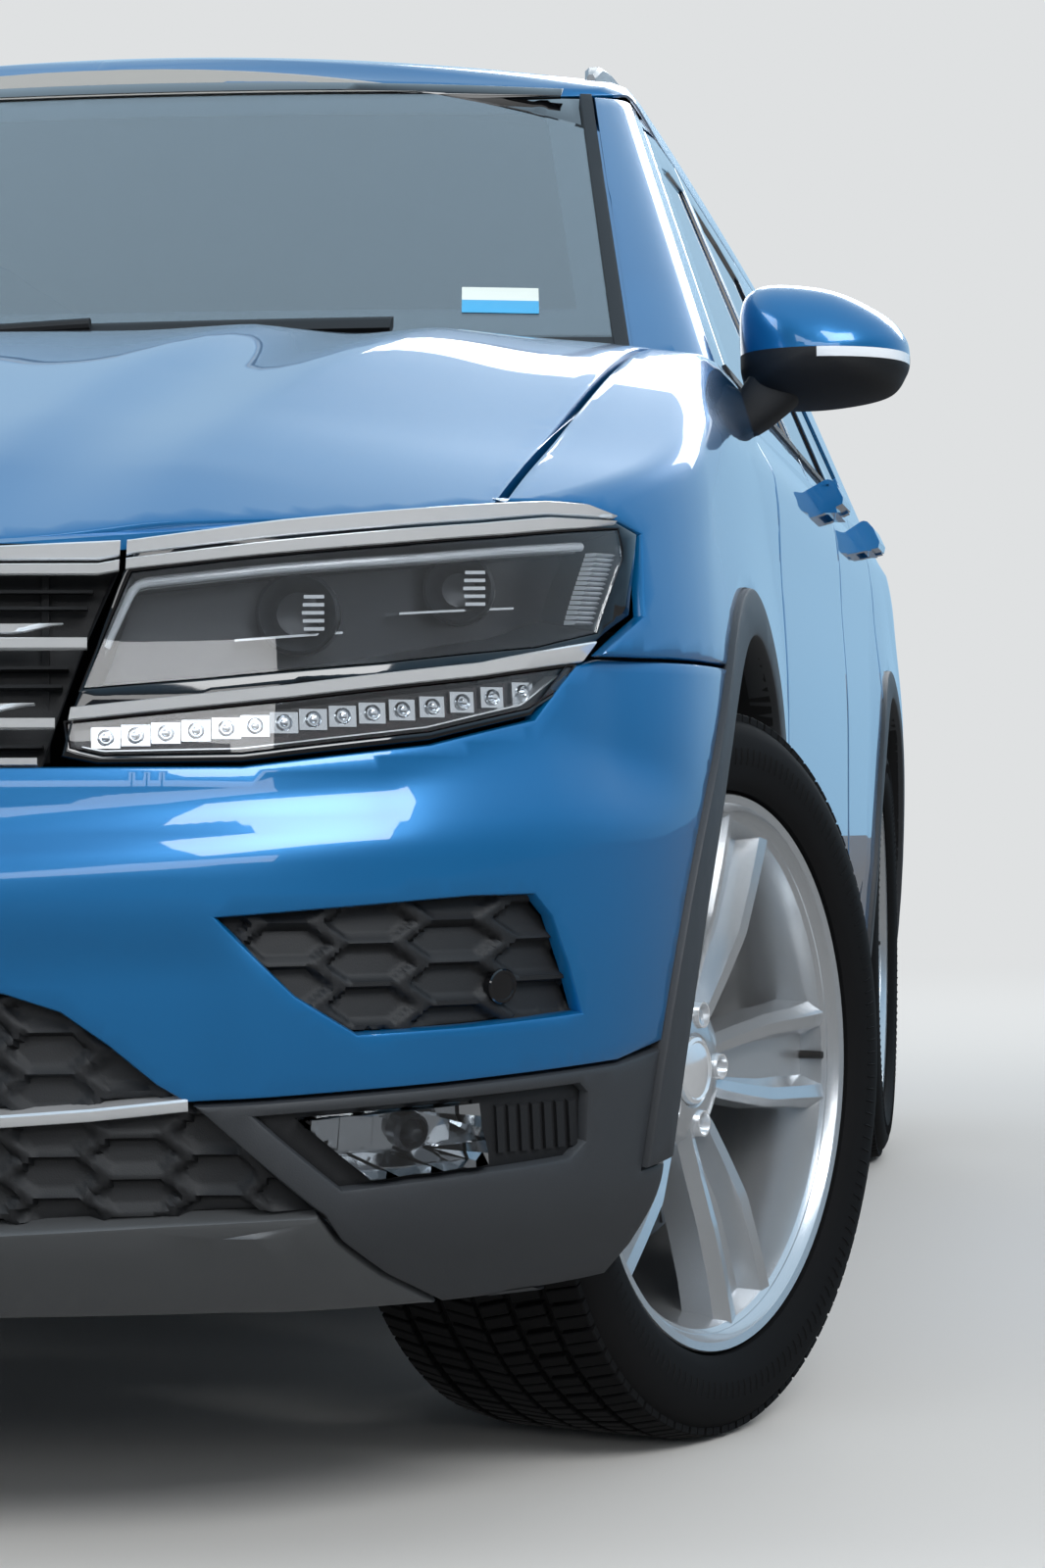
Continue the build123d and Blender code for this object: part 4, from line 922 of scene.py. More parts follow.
# %% [markdown]
# ### Quarter panels
# The rear quarter goes from the door round the corner to the tailgate, as one pressing, with the
# side window and the lamp pocket cut out. Its outline mixes side view and back view points,
# because the corner can be read in neither view alone.

# %% Quarter panels, sills and arches
lamp_pocket = np.concatenate([
    run_of(on_back, [(0.65, 0.89), (0.65, 1.035)]),
    run_of(on_back, [(0.65, 1.035), (0.79, 1.045)]),
    run_of(on_side, [(2.03, 1.052), (1.96, 1.058), (1.96, 0.913), (2.03, 0.907)]),
    run_of(on_back, [(0.79, 0.899), (0.65, 0.89)]),
])
gate_edge = [(0.552, 0.646), (0.603, 0.76), (0.63, 0.9), (0.631, 1.04), (0.619, 1.16), (0.566, 1.47)]
quarter_outline = np.concatenate([
    run_of(on_side, shut_line(rear_hinge_y, rear_radius + shut, 0.776, 1.49)),
    run_of(on_side, [(1.09, 1.5), (1.8, 1.48)]),
    run_of(on_back, [(0.64, 1.476), (0.566, 1.47)]),
    run_of(on_back, gate_edge[::-1]),
    run_of(on_back, [(0.551, 0.644), (0.76, 0.644)]),
    run_of(on_side, [(2.05, 0.644), (1.7, 0.644)]),
    run_of(on_side, arch_run(rear_axle_y, arch_cut, 37.6, 117.6, 60)),
])
quarter = panel_mesh(wall, quarter_outline, [loop_of(on_side, windows["quarter"]), lamp_pocket], step=0.018)
piece("quarter_skins", both(quarter), paint, "body")

# %% [markdown]
# ### Arch trims and sills
# Grey plastic trims frame the wheel openings and stand a few millimetres proud of the paint.
# They are cut from the same surface moved outward, so they follow the flare of the arch.

# %% Arch trims and sills in grey cladding
def proud(surface, height):
    """The same surface moved outward by height."""
    return lambda p, q: lifted(surface, np.column_stack([p, q]), height)


trims = []
for axle, start, stop in ((front_axle_y, -3.3, 186), (rear_axle_y, -3.3, 183.3)):
    ring = np.concatenate([arch_run(axle, arch_cut, start, stop, 70),
                           arch_run(axle, arch_inner, stop, start, 70)])
    trims.append(panel_mesh(proud(wall, 0.006), loop_of(on_side, ring), step=0.02, roll=0.003, depth=0.03))
piece("arch_trims", both(joined(*trims)), cladding, "body")
sill = panel_mesh(proud(wall, 0.006),
                  loop_of(on_side, [(-0.895, 0.205), (0.84, 0.205), (0.84, 0.32), (-0.895, 0.32)]),
                  step=0.03, roll=0.008, depth=0.03)
piece("sill_skins", both(sill), cladding, "body", "sill_strips")

# %% [markdown]
# ### Roof and pillars
# The roof is one pressing from rail to rail that rolls into the cant rail.
# The windscreen pillar is painted on the outside, with a black trim beside the glass.

# %% Roof and windscreen pillars
roof_sections = rolled_sections(
    np.linspace(-0.5, 1.95, 80), roof_height, house_side_x, 0.0, (1.4, 1.62), 9, 0.75)


def roof_board(y, w):
    """The roof and its rolled edge; w runs from the side up and over to the middle."""
    point = section_point(roof_sections, y, -w)
    behind = y - np.interp(np.abs(point[:, 0]), header_x[::-1], header_y[::-1])
    brow = 0.01 * ease(behind / 0.08) * (1 - ease((behind - 0.15) / 0.4))
    brow = brow - 0.0009 * np.exp(-np.abs(roof_peak_z - point[:, 1]) / 0.0015)
    drop = np.interp(np.abs(point[:, 0]), header_x[::-1], header_drop[::-1]) * (1 - ease(behind / 0.08))
    return np.column_stack([point[:, 0], y, point[:, 1] + brow - drop])


def roof_edge(points):
    return np.column_stack([points[:, 0], -section_v(roof_sections, points[:, 0], points[:, 1], 1)])


def roof_middle(y):
    return np.column_stack([y, -section_v(roof_sections, y, np.full(len(y), -0.006), 0)])


header_x = np.linspace(0.6, 0, 31)
header_z = 1.523 - 0.015 * (header_x / 0.62) ** 2
header_y = walk(house_outline(header_z), solve_u(house_outline, header_z, header_x, 0, 0, 2))[1]
header_drop = roof_height(header_x, header_y) - header_z
roof_front = np.column_stack([header_y, -section_v(roof_sections, header_y, header_x, 0)])
roof_tail_y = 1.87
roof_outline = np.concatenate([
    roof_edge(dense([(-0.405, 1.5), (-0.05, 1.512), (0.25, 1.519), (0.7, 1.507), (1.1, 1.5),
                     (roof_tail_y, 1.48)], close=False)),
    np.column_stack([np.full(30, roof_tail_y), np.linspace(0.06, roof_middle(np.array([roof_tail_y]))[0, 1],
                                                           30)]),
    roof_middle(np.linspace(roof_tail_y - 0.02, header_y[-1] + 0.02, 100)),
    roof_front[::-1],
])
half_roof = panel_mesh(roof_board, roof_outline, step=0.022, roll=0.001, depth=0.004, lift=0.0008)
piece("roof_skin", both(half_roof), paint, "body")

pillar_front = run_of(on_front, [(0.768, 1.085), (0.64, 1.497)], house_outline)
pillar_back = run_of(on_side, [(-0.268, 1.482), (-0.83, 1.094)], house_outline)
pillar_outline = np.concatenate([pillar_front,
                                 run_of(on_side, [(-0.402, 1.497), (-0.268, 1.505)], house_outline),
                                 pillar_back])
piece("pillar_skins", both(panel_mesh(house, pillar_outline, step=0.016, lift=0.0012)), paint, "body")
trim_outline = np.concatenate([
    run_of(on_front, [(0.745, 1.1), (0.622, 1.5)], house_outline),
    run_of(on_front, [(0.636, 1.5), (0.764, 1.092)], house_outline)])
piece("pillar_trims", both(panel_mesh(house, trim_outline, step=0.02, roll=0.002, lift=0.003)), plastic,
      "body")

# %% [markdown]
# ### Nose panels
# The painted bumper wraps from the grille to the wheel arch and has an opening for each vent.
# Below it come the textured corner mouldings and the satin skid plate.

# %% Bumper, corner mouldings and skid plate
bumper_end = run_of(on_side, arch_run(front_axle_y, arch_cut, 172.8, 125.4, 50))
bumper_left = np.concatenate([
    run_of(on_front, [(0, 0.478), (0.402, 0.473), (0.446, 0.458), (0.482, 0.431), (0.518, 0.399),
                      (0.54, 0.385),
                (0.727, 0.395), (0.85, 0.403)]),
    bumper_end,
    run_of(on_side, [(-1.64, 0.7415), (-1.88, 0.7415)]),
    run_of(on_front, [(0.85, 0.7415), (0.834, 0.735), (0.805, 0.69), (0.728, 0.669), (0.585, 0.652),
                      (0.44, 0.652),
                (0, 0.652)]),
])
vent_outline = ((0.565, 0.532), (0.623, 0.47), (0.668, 0.438), (0.749, 0.441), (0.827, 0.447), (0.819, 0.487),
                (0.808, 0.528), (0.796, 0.546), (0.751, 0.546), (0.659, 0.539))
vent = loop_of(on_front, vent_outline)
flip = np.array([-1, 1])
bumper = panel_mesh(wall, whole(bumper_left), [vent, vent * flip], step=0.012, roll=0.0035, depth=0.014)
piece("bumper_skin", bumper, paint, "body", "front_bumper")

corner_left = np.concatenate([
    run_of(on_front, [(0.706, 0.202), (0.78, 0.203)]),
    run_of(on_side, [(-1.9, 0.204), (-1.775, 0.206)]),
    run_of(on_side, arch_run(front_axle_y, arch_inner + 0.003, 197.0, 186.6, 16)),
    run_of(on_side, arch_run(front_axle_y, arch_cut, 186.3, 173.6, 20)),
    run_of(on_front, [(0.85, 0.4), (0.727, 0.392), (0.545, 0.382), (0.638, 0.29), (0.647, 0.267),
                      (0.673, 0.233)]),
])
fog_outline = ((0.59, 0.373), (0.652, 0.312), (0.69, 0.315), (0.815, 0.324), (0.826, 0.337), (0.829, 0.378),
               (0.824, 0.386))
fog = loop_of(on_front, fog_outline)
corner = panel_mesh(wall, corner_left, [fog], step=0.014, roll=0.004, depth=0.02)
piece("bumper_corner_mouldings", both(corner), cladding, "body", "bumper_lower")
skid_left = np.concatenate([
    run_of(on_front, [(0, 0.202), (0.702, 0.202), (0.669, 0.233), (0.643, 0.267), (0.633, 0.29)]),
    run_of(on_front, [(0.505, 0.285), (0.391, 0.28), (0, 0.28)])])
piece("skid_plate_skin", panel_mesh(wall, whole(skid_left), step=0.02, roll=0.004, depth=0.02), skid_satin,
      "body",
      "skid_plate")

# %% [markdown]
# ### Tail panels
# The tailgate, the painted rear bumper and its textured lower part meet along level lines.
# Outlines are drawn for the left half and made whole across the tail of the board.

# %% Tail panels
def across_tail(board):
    """A left half outline on the board, made whole across the tail."""
    right = np.column_stack([2 * wall_length - board[::-1, 0], board[::-1, 1]])
    return np.concatenate([board, right])


def back_whole(left):
    """A left half outline read from the back, made whole across the tail."""
    return across_tail(run_of(on_back, left))


gate_left = ((0.0, 0.646), (0.545, 0.646), (0.596, 0.76), (0.623, 0.9), (0.624, 1.04), (0.612, 1.16),
             (0.552, 1.496), (0.0, 1.496))
rear_glass = ((0.0, 1.105), (0.61, 1.105), (0.52, 1.45), (0.0, 1.45))
gate = panel_mesh(wall, back_whole(gate_left), [back_whole(rear_glass)], step=0.02)
piece("tailgate_skin", gate, paint, "tailgate")
rear_lower = np.concatenate([run_of(on_back, [(0.0, 0.42), (0.7, 0.42)]),
                             run_of(on_side, [(2.0, 0.43), (1.785, 0.45)]),
                             run_of(on_side, arch_run(rear_axle_y, arch_cut, 11.0, 36.5, 30)),
                             run_of(on_side, [(1.72, 0.638), (2.0, 0.638)]),
                             run_of(on_back, [(0.76, 0.638), (0.0, 0.638)])])
rear_skin = panel_mesh(wall, across_tail(rear_lower), step=0.018)
piece("rear_bumper_skin", rear_skin, paint, "body", "rear_bumper")
rear_under = np.concatenate([run_of(on_back, [(0.0, 0.215), (0.78, 0.215)]),
                             run_of(on_side, arch_run(rear_axle_y, arch_inner + 0.003, -14, -3.8, 16)),
                             run_of(on_side, arch_run(rear_axle_y, arch_cut, -3.5, 10.4, 20)),
                             run_of(on_side, [(1.79, 0.446), (2.0, 0.426)]),
                             run_of(on_back, [(0.7, 0.416), (0.0, 0.416)])])
rear_cladding = panel_mesh(wall, across_tail(rear_under), step=0.025, roll=0.004, depth=0.03)
piece("rear_bumper_cladding", rear_cladding, cladding, "body")
lamp = panel_mesh(wall, lamp_pocket, step=0.02, roll=0.004, depth=0.03, lift=-0.001)
piece("rear_lamp_lenses", both(lamp), red_lens, "body", "rear_lamps")

# %% [markdown]
# ## Geometry Nodes for what repeats
# Spokes, bolts and tread blocks repeat round an axle, and lamp cells repeat over a surface.
# Two small node trees make them: one turns copies of a mesh about the X axis,
# the other sets copies of an element on points that carry their outward and upward directions.


# %% Node trees for rings and for points
def new_tree(name, inputs):
    """A geometry node tree with a geometry input, more named inputs, and a geometry output."""
    tree = bpy.data.node_groups.new(name, "GeometryNodeTree")
    tree.interface.new_socket("Geometry", in_out="INPUT", socket_type="NodeSocketGeometry")
    for label, kind, value in inputs:
        socket = tree.interface.new_socket(label, in_out="INPUT", socket_type=kind)
        if value is not None:
            socket.default_value = value
    tree.interface.new_socket("Geometry", in_out="OUTPUT", socket_type="NodeSocketGeometry")
    return tree, node(tree, "NodeGroupInput"), node(tree, "NodeGroupOutput")


def close_tree(tree, source, geometry, out):
    """Realize Instances and Set Material before the output."""
    real = node(tree, "GeometryNodeRealizeInstances", {"Geometry": geometry})
    dressed = node(tree, "GeometryNodeSetMaterial",
                   {"Geometry": real.outputs[0], "Material": source.outputs["Material"]})
    tree.links.new(dressed.outputs[0], out.inputs[0])


ring_tree, source, out = new_tree("ring_about_the_axle", [
    ("Count", "NodeSocketInt", 5), ("Start", "NodeSocketFloat", 0.0),
    ("Material", "NodeSocketMaterial", None)])
points = node(ring_tree, "GeometryNodePoints", {"Count": source.outputs["Count"]})
index = node(ring_tree, "GeometryNodeInputIndex")
share = node(ring_tree, "ShaderNodeMath", {0: index.outputs[0], 1: source.outputs["Count"]},
             operation="DIVIDE")
angle = node(ring_tree, "ShaderNodeMath", {0: share.outputs[0], 2: source.outputs["Start"]},
             operation="MULTIPLY_ADD")
angle.inputs[1].default_value = 2 * math.pi
turn = node(ring_tree, "ShaderNodeCombineXYZ", {"X": angle.outputs[0]})
copies = node(ring_tree, "GeometryNodeInstanceOnPoints", {
    "Points": points.outputs[0], "Instance": source.outputs["Geometry"], "Rotation": turn.outputs[0]})
close_tree(ring_tree, source, copies.outputs[0], out)

seat_tree, source, out = new_tree("elements_on_points", [
    ("Element", "NodeSocketObject", None), ("Scale", "NodeSocketFloat", 1.0),
    ("Material", "NodeSocketMaterial", None)])
outward = node(seat_tree, "GeometryNodeInputNamedAttribute", data_type="FLOAT_VECTOR", Name="outward")
upward = node(seat_tree, "GeometryNodeInputNamedAttribute", data_type="FLOAT_VECTOR", Name="upward")
size = node(seat_tree, "GeometryNodeInputNamedAttribute", data_type="FLOAT", Name="size")
facing = node(seat_tree, "FunctionNodeAxesToRotation",
              {0: outward.outputs["Attribute"], 1: upward.outputs["Attribute"]},
              primary_axis="X", secondary_axis="Z")
element = node(seat_tree, "GeometryNodeObjectInfo", {"Object": source.outputs["Element"]})
scale = node(seat_tree, "ShaderNodeMath", {0: size.outputs["Attribute"], 1: source.outputs["Scale"]},
             operation="MULTIPLY")
copies = node(seat_tree, "GeometryNodeInstanceOnPoints", {
    "Points": source.outputs["Geometry"], "Instance": element.outputs["Geometry"],
    "Rotation": facing.outputs[0], "Scale": scale.outputs[0]})
close_tree(seat_tree, source, copies.outputs[0], out)
print("ring tree", len(ring_tree.nodes), "nodes, seat tree", len(seat_tree.nodes), "nodes")

# %% Growing what a tree makes
def scratch(name, mesh):
    """A working object that is removed later."""
    data = bpy.data.meshes.new(name)
    data.from_pydata([tuple(v) for v in mesh[0]], [], [tuple(f) for f in mesh[1]])
    obj = bpy.data.objects.new(name, data)
    bpy.context.scene.collection.objects.link(obj)
    return obj


def mesh_of(obj):
    """The evaluated mesh of an object as plain arrays."""
    graph = bpy.context.evaluated_depsgraph_get()
    data = bpy.data.meshes.new_from_object(obj.evaluated_get(graph))
    verts = np.empty(len(data.vertices) * 3)
    data.vertices.foreach_get("co", verts)
    return verts.reshape(-1, 3), [tuple(p.vertices) for p in data.polygons]


def grown(obj, tree, **settings):
    """Runs a node tree on a working object and gives the plain mesh it makes."""
    modifier = obj.modifiers.new("grow", "NODES")
    modifier.node_group = tree
    for socket in tree.interface.items_tree:
        if socket.in_out == "INPUT" and socket.name in settings:
            modifier[socket.identifier] = settings[socket.name]
    obj.data.update()
    made = mesh_of(obj)
    bpy.data.objects.remove(obj)
    return made


def ringed(mesh, count):
    """Copies of a mesh round the axle, from the ring tree."""
    return grown(scratch("ring_source", mesh), ring_tree, Count=count, Start=0.0)


def seated(places, outwards, upwards, sizes, element):
    """Copies of an element mesh, X outward and Z upward, on the given places."""
    carrier = scratch("seat_points", (places, []))
    for label, kind, values in (("outward", "FLOAT_VECTOR", outwards), ("upward", "FLOAT_VECTOR", upwards),
                                ("size", "FLOAT", sizes)):
        attribute = carrier.data.attributes.new(label, kind, "POINT")
        attribute.data.foreach_set("vector" if kind == "FLOAT_VECTOR" else "value",
                                   np.asarray(values, np.float32).ravel())
    part = scratch("seat_element", element)
    made = grown(carrier, seat_tree, Element=part, Scale=1.0)
    bpy.data.objects.remove(part)
    return made


# %% [markdown]
# ## Wheels and tyres
# A cast wheel has a turned barrel and five broad arms. Each arm is two faceted beams with
# a sunken web between them, so one arm is lofted and the ring tree makes the other four.
# The tyre is a turned carcass with six rows of tread blocks and a ribbed wall.


# %% Turned and lofted meshes
def turned(profile, count=128, closed=True):
    """A ring about the X axis from a half section of (x, radius) points."""
    profile = np.asarray(profile, float)
    t = np.arange(count) * 2 * np.pi / count
    verts = np.stack([np.repeat(profile[None, :, 0], count, 0),
                      profile[None, :, 1] * np.cos(t)[:, None], profile[None, :, 1] * np.sin(t)[:, None]], -1)
    n, faces = len(profile), []
    for i in range(count):
        j = (i + 1) % count
        for k in range(n if closed else n - 1):
            m = (k + 1) % n
            faces.append((i * n + k, i * n + m, j * n + m, j * n + k))
    return verts.reshape(-1, 3), faces


def lofted(sections, closed=False, caps=False):
    """Quads between matching sections, given as an array (sections, points, 3)."""
    sections = np.asarray(sections, float)
    rows, n = sections.shape[:2]
    faces = []
    for i in range(rows - 1):
        for k in range(n if closed else n - 1):
            m = (k + 1) % n
            faces.append((i * n + k, i * n + m, (i + 1) * n + m, (i + 1) * n + k))
    if caps:
        faces += [tuple(range(n))[::-1], tuple((rows - 1) * n + k for k in range(n))]
    return sections.reshape(-1, 3), faces


def outward_faces(mesh):
    """The mesh with its doubles merged and its faces turned outward."""
    bm = bmesh.new()
    made = [bm.verts.new(v) for v in mesh[0]]
    for face in mesh[1]:
        try:
            bm.faces.new([made[i] for i in face])
        except ValueError:
            continue
    bmesh.ops.remove_doubles(bm, verts=bm.verts, dist=1e-6)
    bmesh.ops.recalc_face_normals(bm, faces=bm.faces)
    bm.verts.index_update()
    result = (np.array([tuple(v.co) for v in bm.verts]), [tuple(v.index for v in f.verts) for f in bm.faces])
    bm.free()
    return result


def solid(sections):
    """A closed body through closed sections, capped at both ends."""
    return outward_faces(lofted(sections, closed=True, caps=True))


print("a turned ring", len(turned([(0, 1), (1, 1)], 12)[0]), "points")

# %% [markdown]
# ### Spokes, rim and bolts
# A cast wheel has five forked spokes: two beams with a thin web between them.
# One arm is lofted through stations along its length, and a Geometry Nodes ring repeats it about
# the axle. Rim, hub and cap are turned from their half sections.

# %% Wheel
# columns: radius, face height, half width of the web, inner beam edge, outer beam edge, base half width
arm_stations = np.array([
    (0.04, 0.07, 0.006, 0.008, 0.016, 0.026), (0.066, 0.076, 0.01, 0.014, 0.024, 0.034),
    (0.1, 0.083, 0.014, 0.02, 0.031, 0.041), (0.14, 0.091, 0.018, 0.026, 0.038, 0.048),
    (0.15, 0.093, 0.019, 0.027, 0.039, 0.05), (0.2, 0.097, 0.02, 0.029, 0.041, 0.053),
    (0.24, 0.099, 0.021, 0.03, 0.043, 0.058), (0.258, 0.099, 0.022, 0.031, 0.045, 0.064),
])
web_depth, beam_depth = 0.024, 0.046
spoke_count, vane_count = 5, 36
sections = []
for radius, face, web, inner, outer, base in arm_stations:
    half = [(-beam_depth, base), (-0.014, base - 0.003), (0.0, outer), (-0.0025, inner), (-web_depth, web)]
    line = [(x, -t) for x, t in half] + [(x, t) for x, t in half[::-1]]
    sections.append([(face + x, t, radius) for x, t in line])
arms = ringed(solid(sections), spoke_count)
rim_profile = [
    (0.112, 0.27), (0.1105, 0.2712), (0.104, 0.2712), (0.1005, 0.2545), (0.06, 0.247), (-0.06, 0.247),
    (-0.0995, 0.2545), (-0.104, 0.2712), (-0.112, 0.27), (-0.112, 0.262), (-0.09, 0.244), (-0.04, 0.234),
    (0.02, 0.236), (0.07, 0.242), (0.096, 0.25), (0.104, 0.259), (0.1105, 0.262),
]
rim = turned(rim_profile, 144)
hub_front = turned([(0.0205, 0.0), (0.0205, 0.078), (0.06, 0.074), (0.07, 0.066), (0.0755, 0.05),
                    (0.0765, 0.037),
                    (0.074, 0.0345), (0.074, 0.0)], 72, closed=False)
cap = turned([(0.0745, 0.0335), (0.0795, 0.0325), (0.081, 0.029), (0.0795, 0.027), (0.08, 0.0255),
              (0.0815, 0.0)], 60, closed=False)
socket_ring = turned([(0.07, 0.0135), (0.079, 0.0128), (0.079, 0.0112), (0.056, 0.0105)], 28, closed=False)
bolt_head = turned([(0.057, 0.0105), (0.057, 0.0088), (0.069, 0.0086), (0.07, 0.0076), (0.07, 0.0045),
                    (0.064, 0.004), (0.064, 0.0)], 6, closed=False)
bolts = [ringed((part[0] + np.array([0, 0, 0.056]), part[1]), 5) for part in (socket_ring, bolt_head)]
disc_face = turned([(0.01, 0.172), (0.01, 0.075), (0.016, 0.072), (-0.012, 0.072), (-0.012, 0.172)], 96)
vane_section = ((0.012, -0.002), (0.012, 0.002), (-0.014, 0.002), (-0.014, -0.002))
vanes = ringed(solid([[(x, y, r) for x, y in vane_section] for r in (0.085, 0.168)]), vane_count)
valve = turned([(0.06, 0.0045), (0.1, 0.004), (0.1015, 0.0)], 12, closed=False)
valve = (valve[0] + np.array([0, 0, 0.243]), valve[1])
print("spokes", len(arms[0]), "points, rim", len(rim[0]))

# %% [markdown]
# ### Tyre with a cut tread
# A low tyre has bulged walls with fine ribs and six rows of tread blocks.
# Cutting grooves into the carcass would cost far more faces, so one pitch of blocks stands on a
# smooth carcass and is repeated 66 times about the axle.

# %% Tyre
tyre_profile = [
    (-0.098, 0.2545), (-0.104, 0.2745), (-0.1145, 0.2745), (-0.119, 0.279), (-0.1235, 0.287), (-0.125, 0.295),
    (-0.1275, 0.305), (-0.127, 0.315), (-0.1245, 0.327), (-0.1195, 0.337), (-0.112, 0.344),
    (-0.104, 0.3475), (-0.07, 0.349), (0.0, 0.3495),
]
tyre_profile = tyre_profile + [(-x, r) for x, r in tyre_profile[-2::-1]]
carcass = turned(tyre_profile, 144, closed=False)
tread_count, rib_count = 66, 150
tread_pitch = 2 * math.pi / tread_count
# columns: from x, to x, start turn and end turn as shares of a pitch, slant
tread_rows = (
    (-0.1135, -0.082, 0.06, 0.92, 0.1), (-0.074, -0.042, 0.0, 0.8, 0.25), (-0.034, -0.003, 0.05, 0.9, 0.25),
    (0.003, 0.034, 0.3, 1.15, -0.25), (0.042, 0.074, 0.25, 1.05, -0.25), (0.082, 0.1135, 0.1, 0.96, -0.1),
)
blocks = []
for x0, x1, t0, t1, slant in tread_rows:
    for a, b in ((t0, (t0 + t1) / 2 - 0.03), ((t0 + t1) / 2 + 0.03, t1)):
        corners = []
        for x, t in ((x0, a), (x1, a + slant), (x1, b + slant), (x0, b)):
            top = tyre_radius - (0.0055 if abs(x) > 0.1 else 0.0003)
            for r, tuck in ((0.343, 0), (top - 0.001, 0), (top, 0.0012)):
                middle = ((x0 + x1) / 2, (a + b + slant) / 2)
                xs = x + np.sign(middle[0] - x) * tuck
                turn = t + np.sign(middle[1] - t) * tuck / (0.35 * tread_pitch)
                corners.append((xs, r * math.sin(-turn * tread_pitch), r * math.cos(turn * tread_pitch)))
        c = np.array(corners).reshape(4, 3, 3).transpose(1, 0, 2)
        blocks.append(lofted(c, closed=True, caps=True))
tread = ringed(outward_faces(joined(*blocks)), tread_count)
rib = lofted([[(0.1262, y, 0.299), (0.1278, y, 0.305), (0.127, y, 0.315)] for y in (-0.0009, 0.0, 0.0009)])
rib[0][3:6, 0] += 0.0009
ribs = ringed(rib, rib_count)
tyre = joined(carcass, tread, ribs, mirrored(ribs))
print("tyre", len(tyre[0]), "points")

# %% [markdown]
# ### Four wheels on their hubs
# The same meshes serve all wheels; the right ones are turned over, as real wheels are.
# The front pair stands steered at rest, as in the photograph.

# %% The four wheels in place
steer_at_rest = math.radians(21.3)
wheel_places = {
    "front_left": (0.791, front_axle_y, 1, steer_at_rest),
    "front_right": (-0.791, front_axle_y, -1, steer_at_rest),
    "rear_left": (0.786, rear_axle_y, 1, 0.0), "rear_right": (-0.786, rear_axle_y, -1, 0.0),
}


def at_hub(mesh, x, y, side, steer, start=0.0):
    """A mesh in the wheel's own frame, X outward, set on its hub."""
    axle = Vector((side * math.cos(steer), -side * math.sin(steer), 0))
    turn = Matrix((axle, Vector((0, 0, 1)).cross(axle), Vector((0, 0, 1)))).transposed()
    turn = np.array(turn @ Matrix.Rotation(start, 3, "X"))
    return mesh[0] @ turn.T + np.array([x, y, tyre_radius]), mesh[1]


for place, (x, y, side, steer) in wheel_places.items():
    body = "wheel_" + place
    start = -side * math.pi / 2
    spin = (x, y, side, steer, start)
    piece(f"{body}_spokes", at_hub(joined(arms, hub_front), *spin), silver_alloy, body, body, sharp=20)
    piece(f"{body}_rim", at_hub(rim, *spin), silver_alloy, body, sharp=28)
    piece(f"{body}_cap", at_hub(joined(cap, bolts[0]), *spin), chrome, body)
    piece(f"{body}_bolts", at_hub(joined(bolts[1], valve), *spin), dark_metal, body)
    piece(f"{body}_brake_disc", at_hub(joined(disc_face, vanes), *spin), iron, body)
    piece(f"tyre_{place}_carcass", at_hub(tyre, *spin), rubber, body, f"tyre_{place}", sharp=30)

# %% [markdown]
# ## Lamps and grilles
# A headlamp is a black housing with a clear cover over a grey bowl. Two light modules,
# a light guide along the top and a ribbed side reflector sit in the bowl.
# Chrome ribbons run from the grille bars across the lamps, each in two steps.


# %% Ribbons
def resampled(points, count):
    """Evenly spaced points along a line."""
    points = np.asarray(points, float)
    run = np.concatenate([[0], np.cumsum(np.hypot(*np.diff(points, axis=0).T))])
    at = np.linspace(0, run[-1], count)
    return np.column_stack([np.interp(at, run, points[:, k]) for k in range(2)])


def ribbon_rows(view, lower, upper, profile, count):
    """Rows of a moulding between two lines of a view; profile gives (share of its height, lift) across it."""
    low, high = resampled(lower, count), resampled(upper, count)
    rows = [lifted(wall, view(low + (high - low) * share), lift) for share, lift in profile]
    return np.stack(rows, 1)


def ribbon(lower, upper, profile, count=80):
    """A moulding between two front view lines."""
    verts, faces = lofted(ribbon_rows(on_front, lower, upper, profile, count), caps=True)
    return verts, [f[::-1] for f in faces]


print("a line in five points", resampled([(0, 0), (1, 0)], 5)[:, 0])

# %% [markdown]
# ### Recesses, panes and bars
# Lamps need a hollow with a floor, a thin clear pane over it, and round bars inside.
# All of them are made from the same outlines, so a pane fits its bowl without measuring.

# %% Bowls, covers, tubes and blocks


def bowl(surface, outline, depth, taper=0.006, step=0.02):
    """A recess seen from outside: a back plate at depth and walls up to the rim."""
    outline = anticlockwise(outline)
    points, faces = fill(inset(outline, taper), [], step)
    count = len(outline)
    verts = np.concatenate([lifted(surface, points, -depth), lifted(surface, outline, -0.001)])
    first = len(points)
    walls = [(i, (i + 1) % count, first + (i + 1) % count, first + i) for i in range(count)]
    return verts, faces + [w[::-1] for w in walls]


def cover(surface, outline, thickness=0.003, lift=0.0, step=0.02):
    """A thin clear pane with both faces and an edge."""
    outline = anticlockwise(outline)
    points, faces = fill(outline, [], step)
    count, first = len(outline), len(points)
    verts = np.concatenate([lifted(surface, points, lift), lifted(surface, points, lift - thickness)])
    edge = [(i, first + i, first + (i + 1) % count, (i + 1) % count) for i in range(count)]
    return verts, faces + [tuple(i + first for i in f[::-1]) for f in faces] + edge


def tube(path, radius, count=10):
    """A round bar along a path in space."""
    path = np.asarray(path, float)
    run = np.gradient(path, axis=0)
    run /= np.linalg.norm(run, axis=1)[:, None]
    side = np.cross(run, np.array([0.0, 0.0, 1.0]) + 1e-6)
    side /= np.linalg.norm(side, axis=1)[:, None]
    up = np.cross(side, run)
    t = np.arange(count) * 2 * np.pi / count
    rings = path[:, None] + radius * (side[:, None] * np.cos(t)[:, None] + up[:, None] * np.sin(t)[:, None])
    return solid(rings)


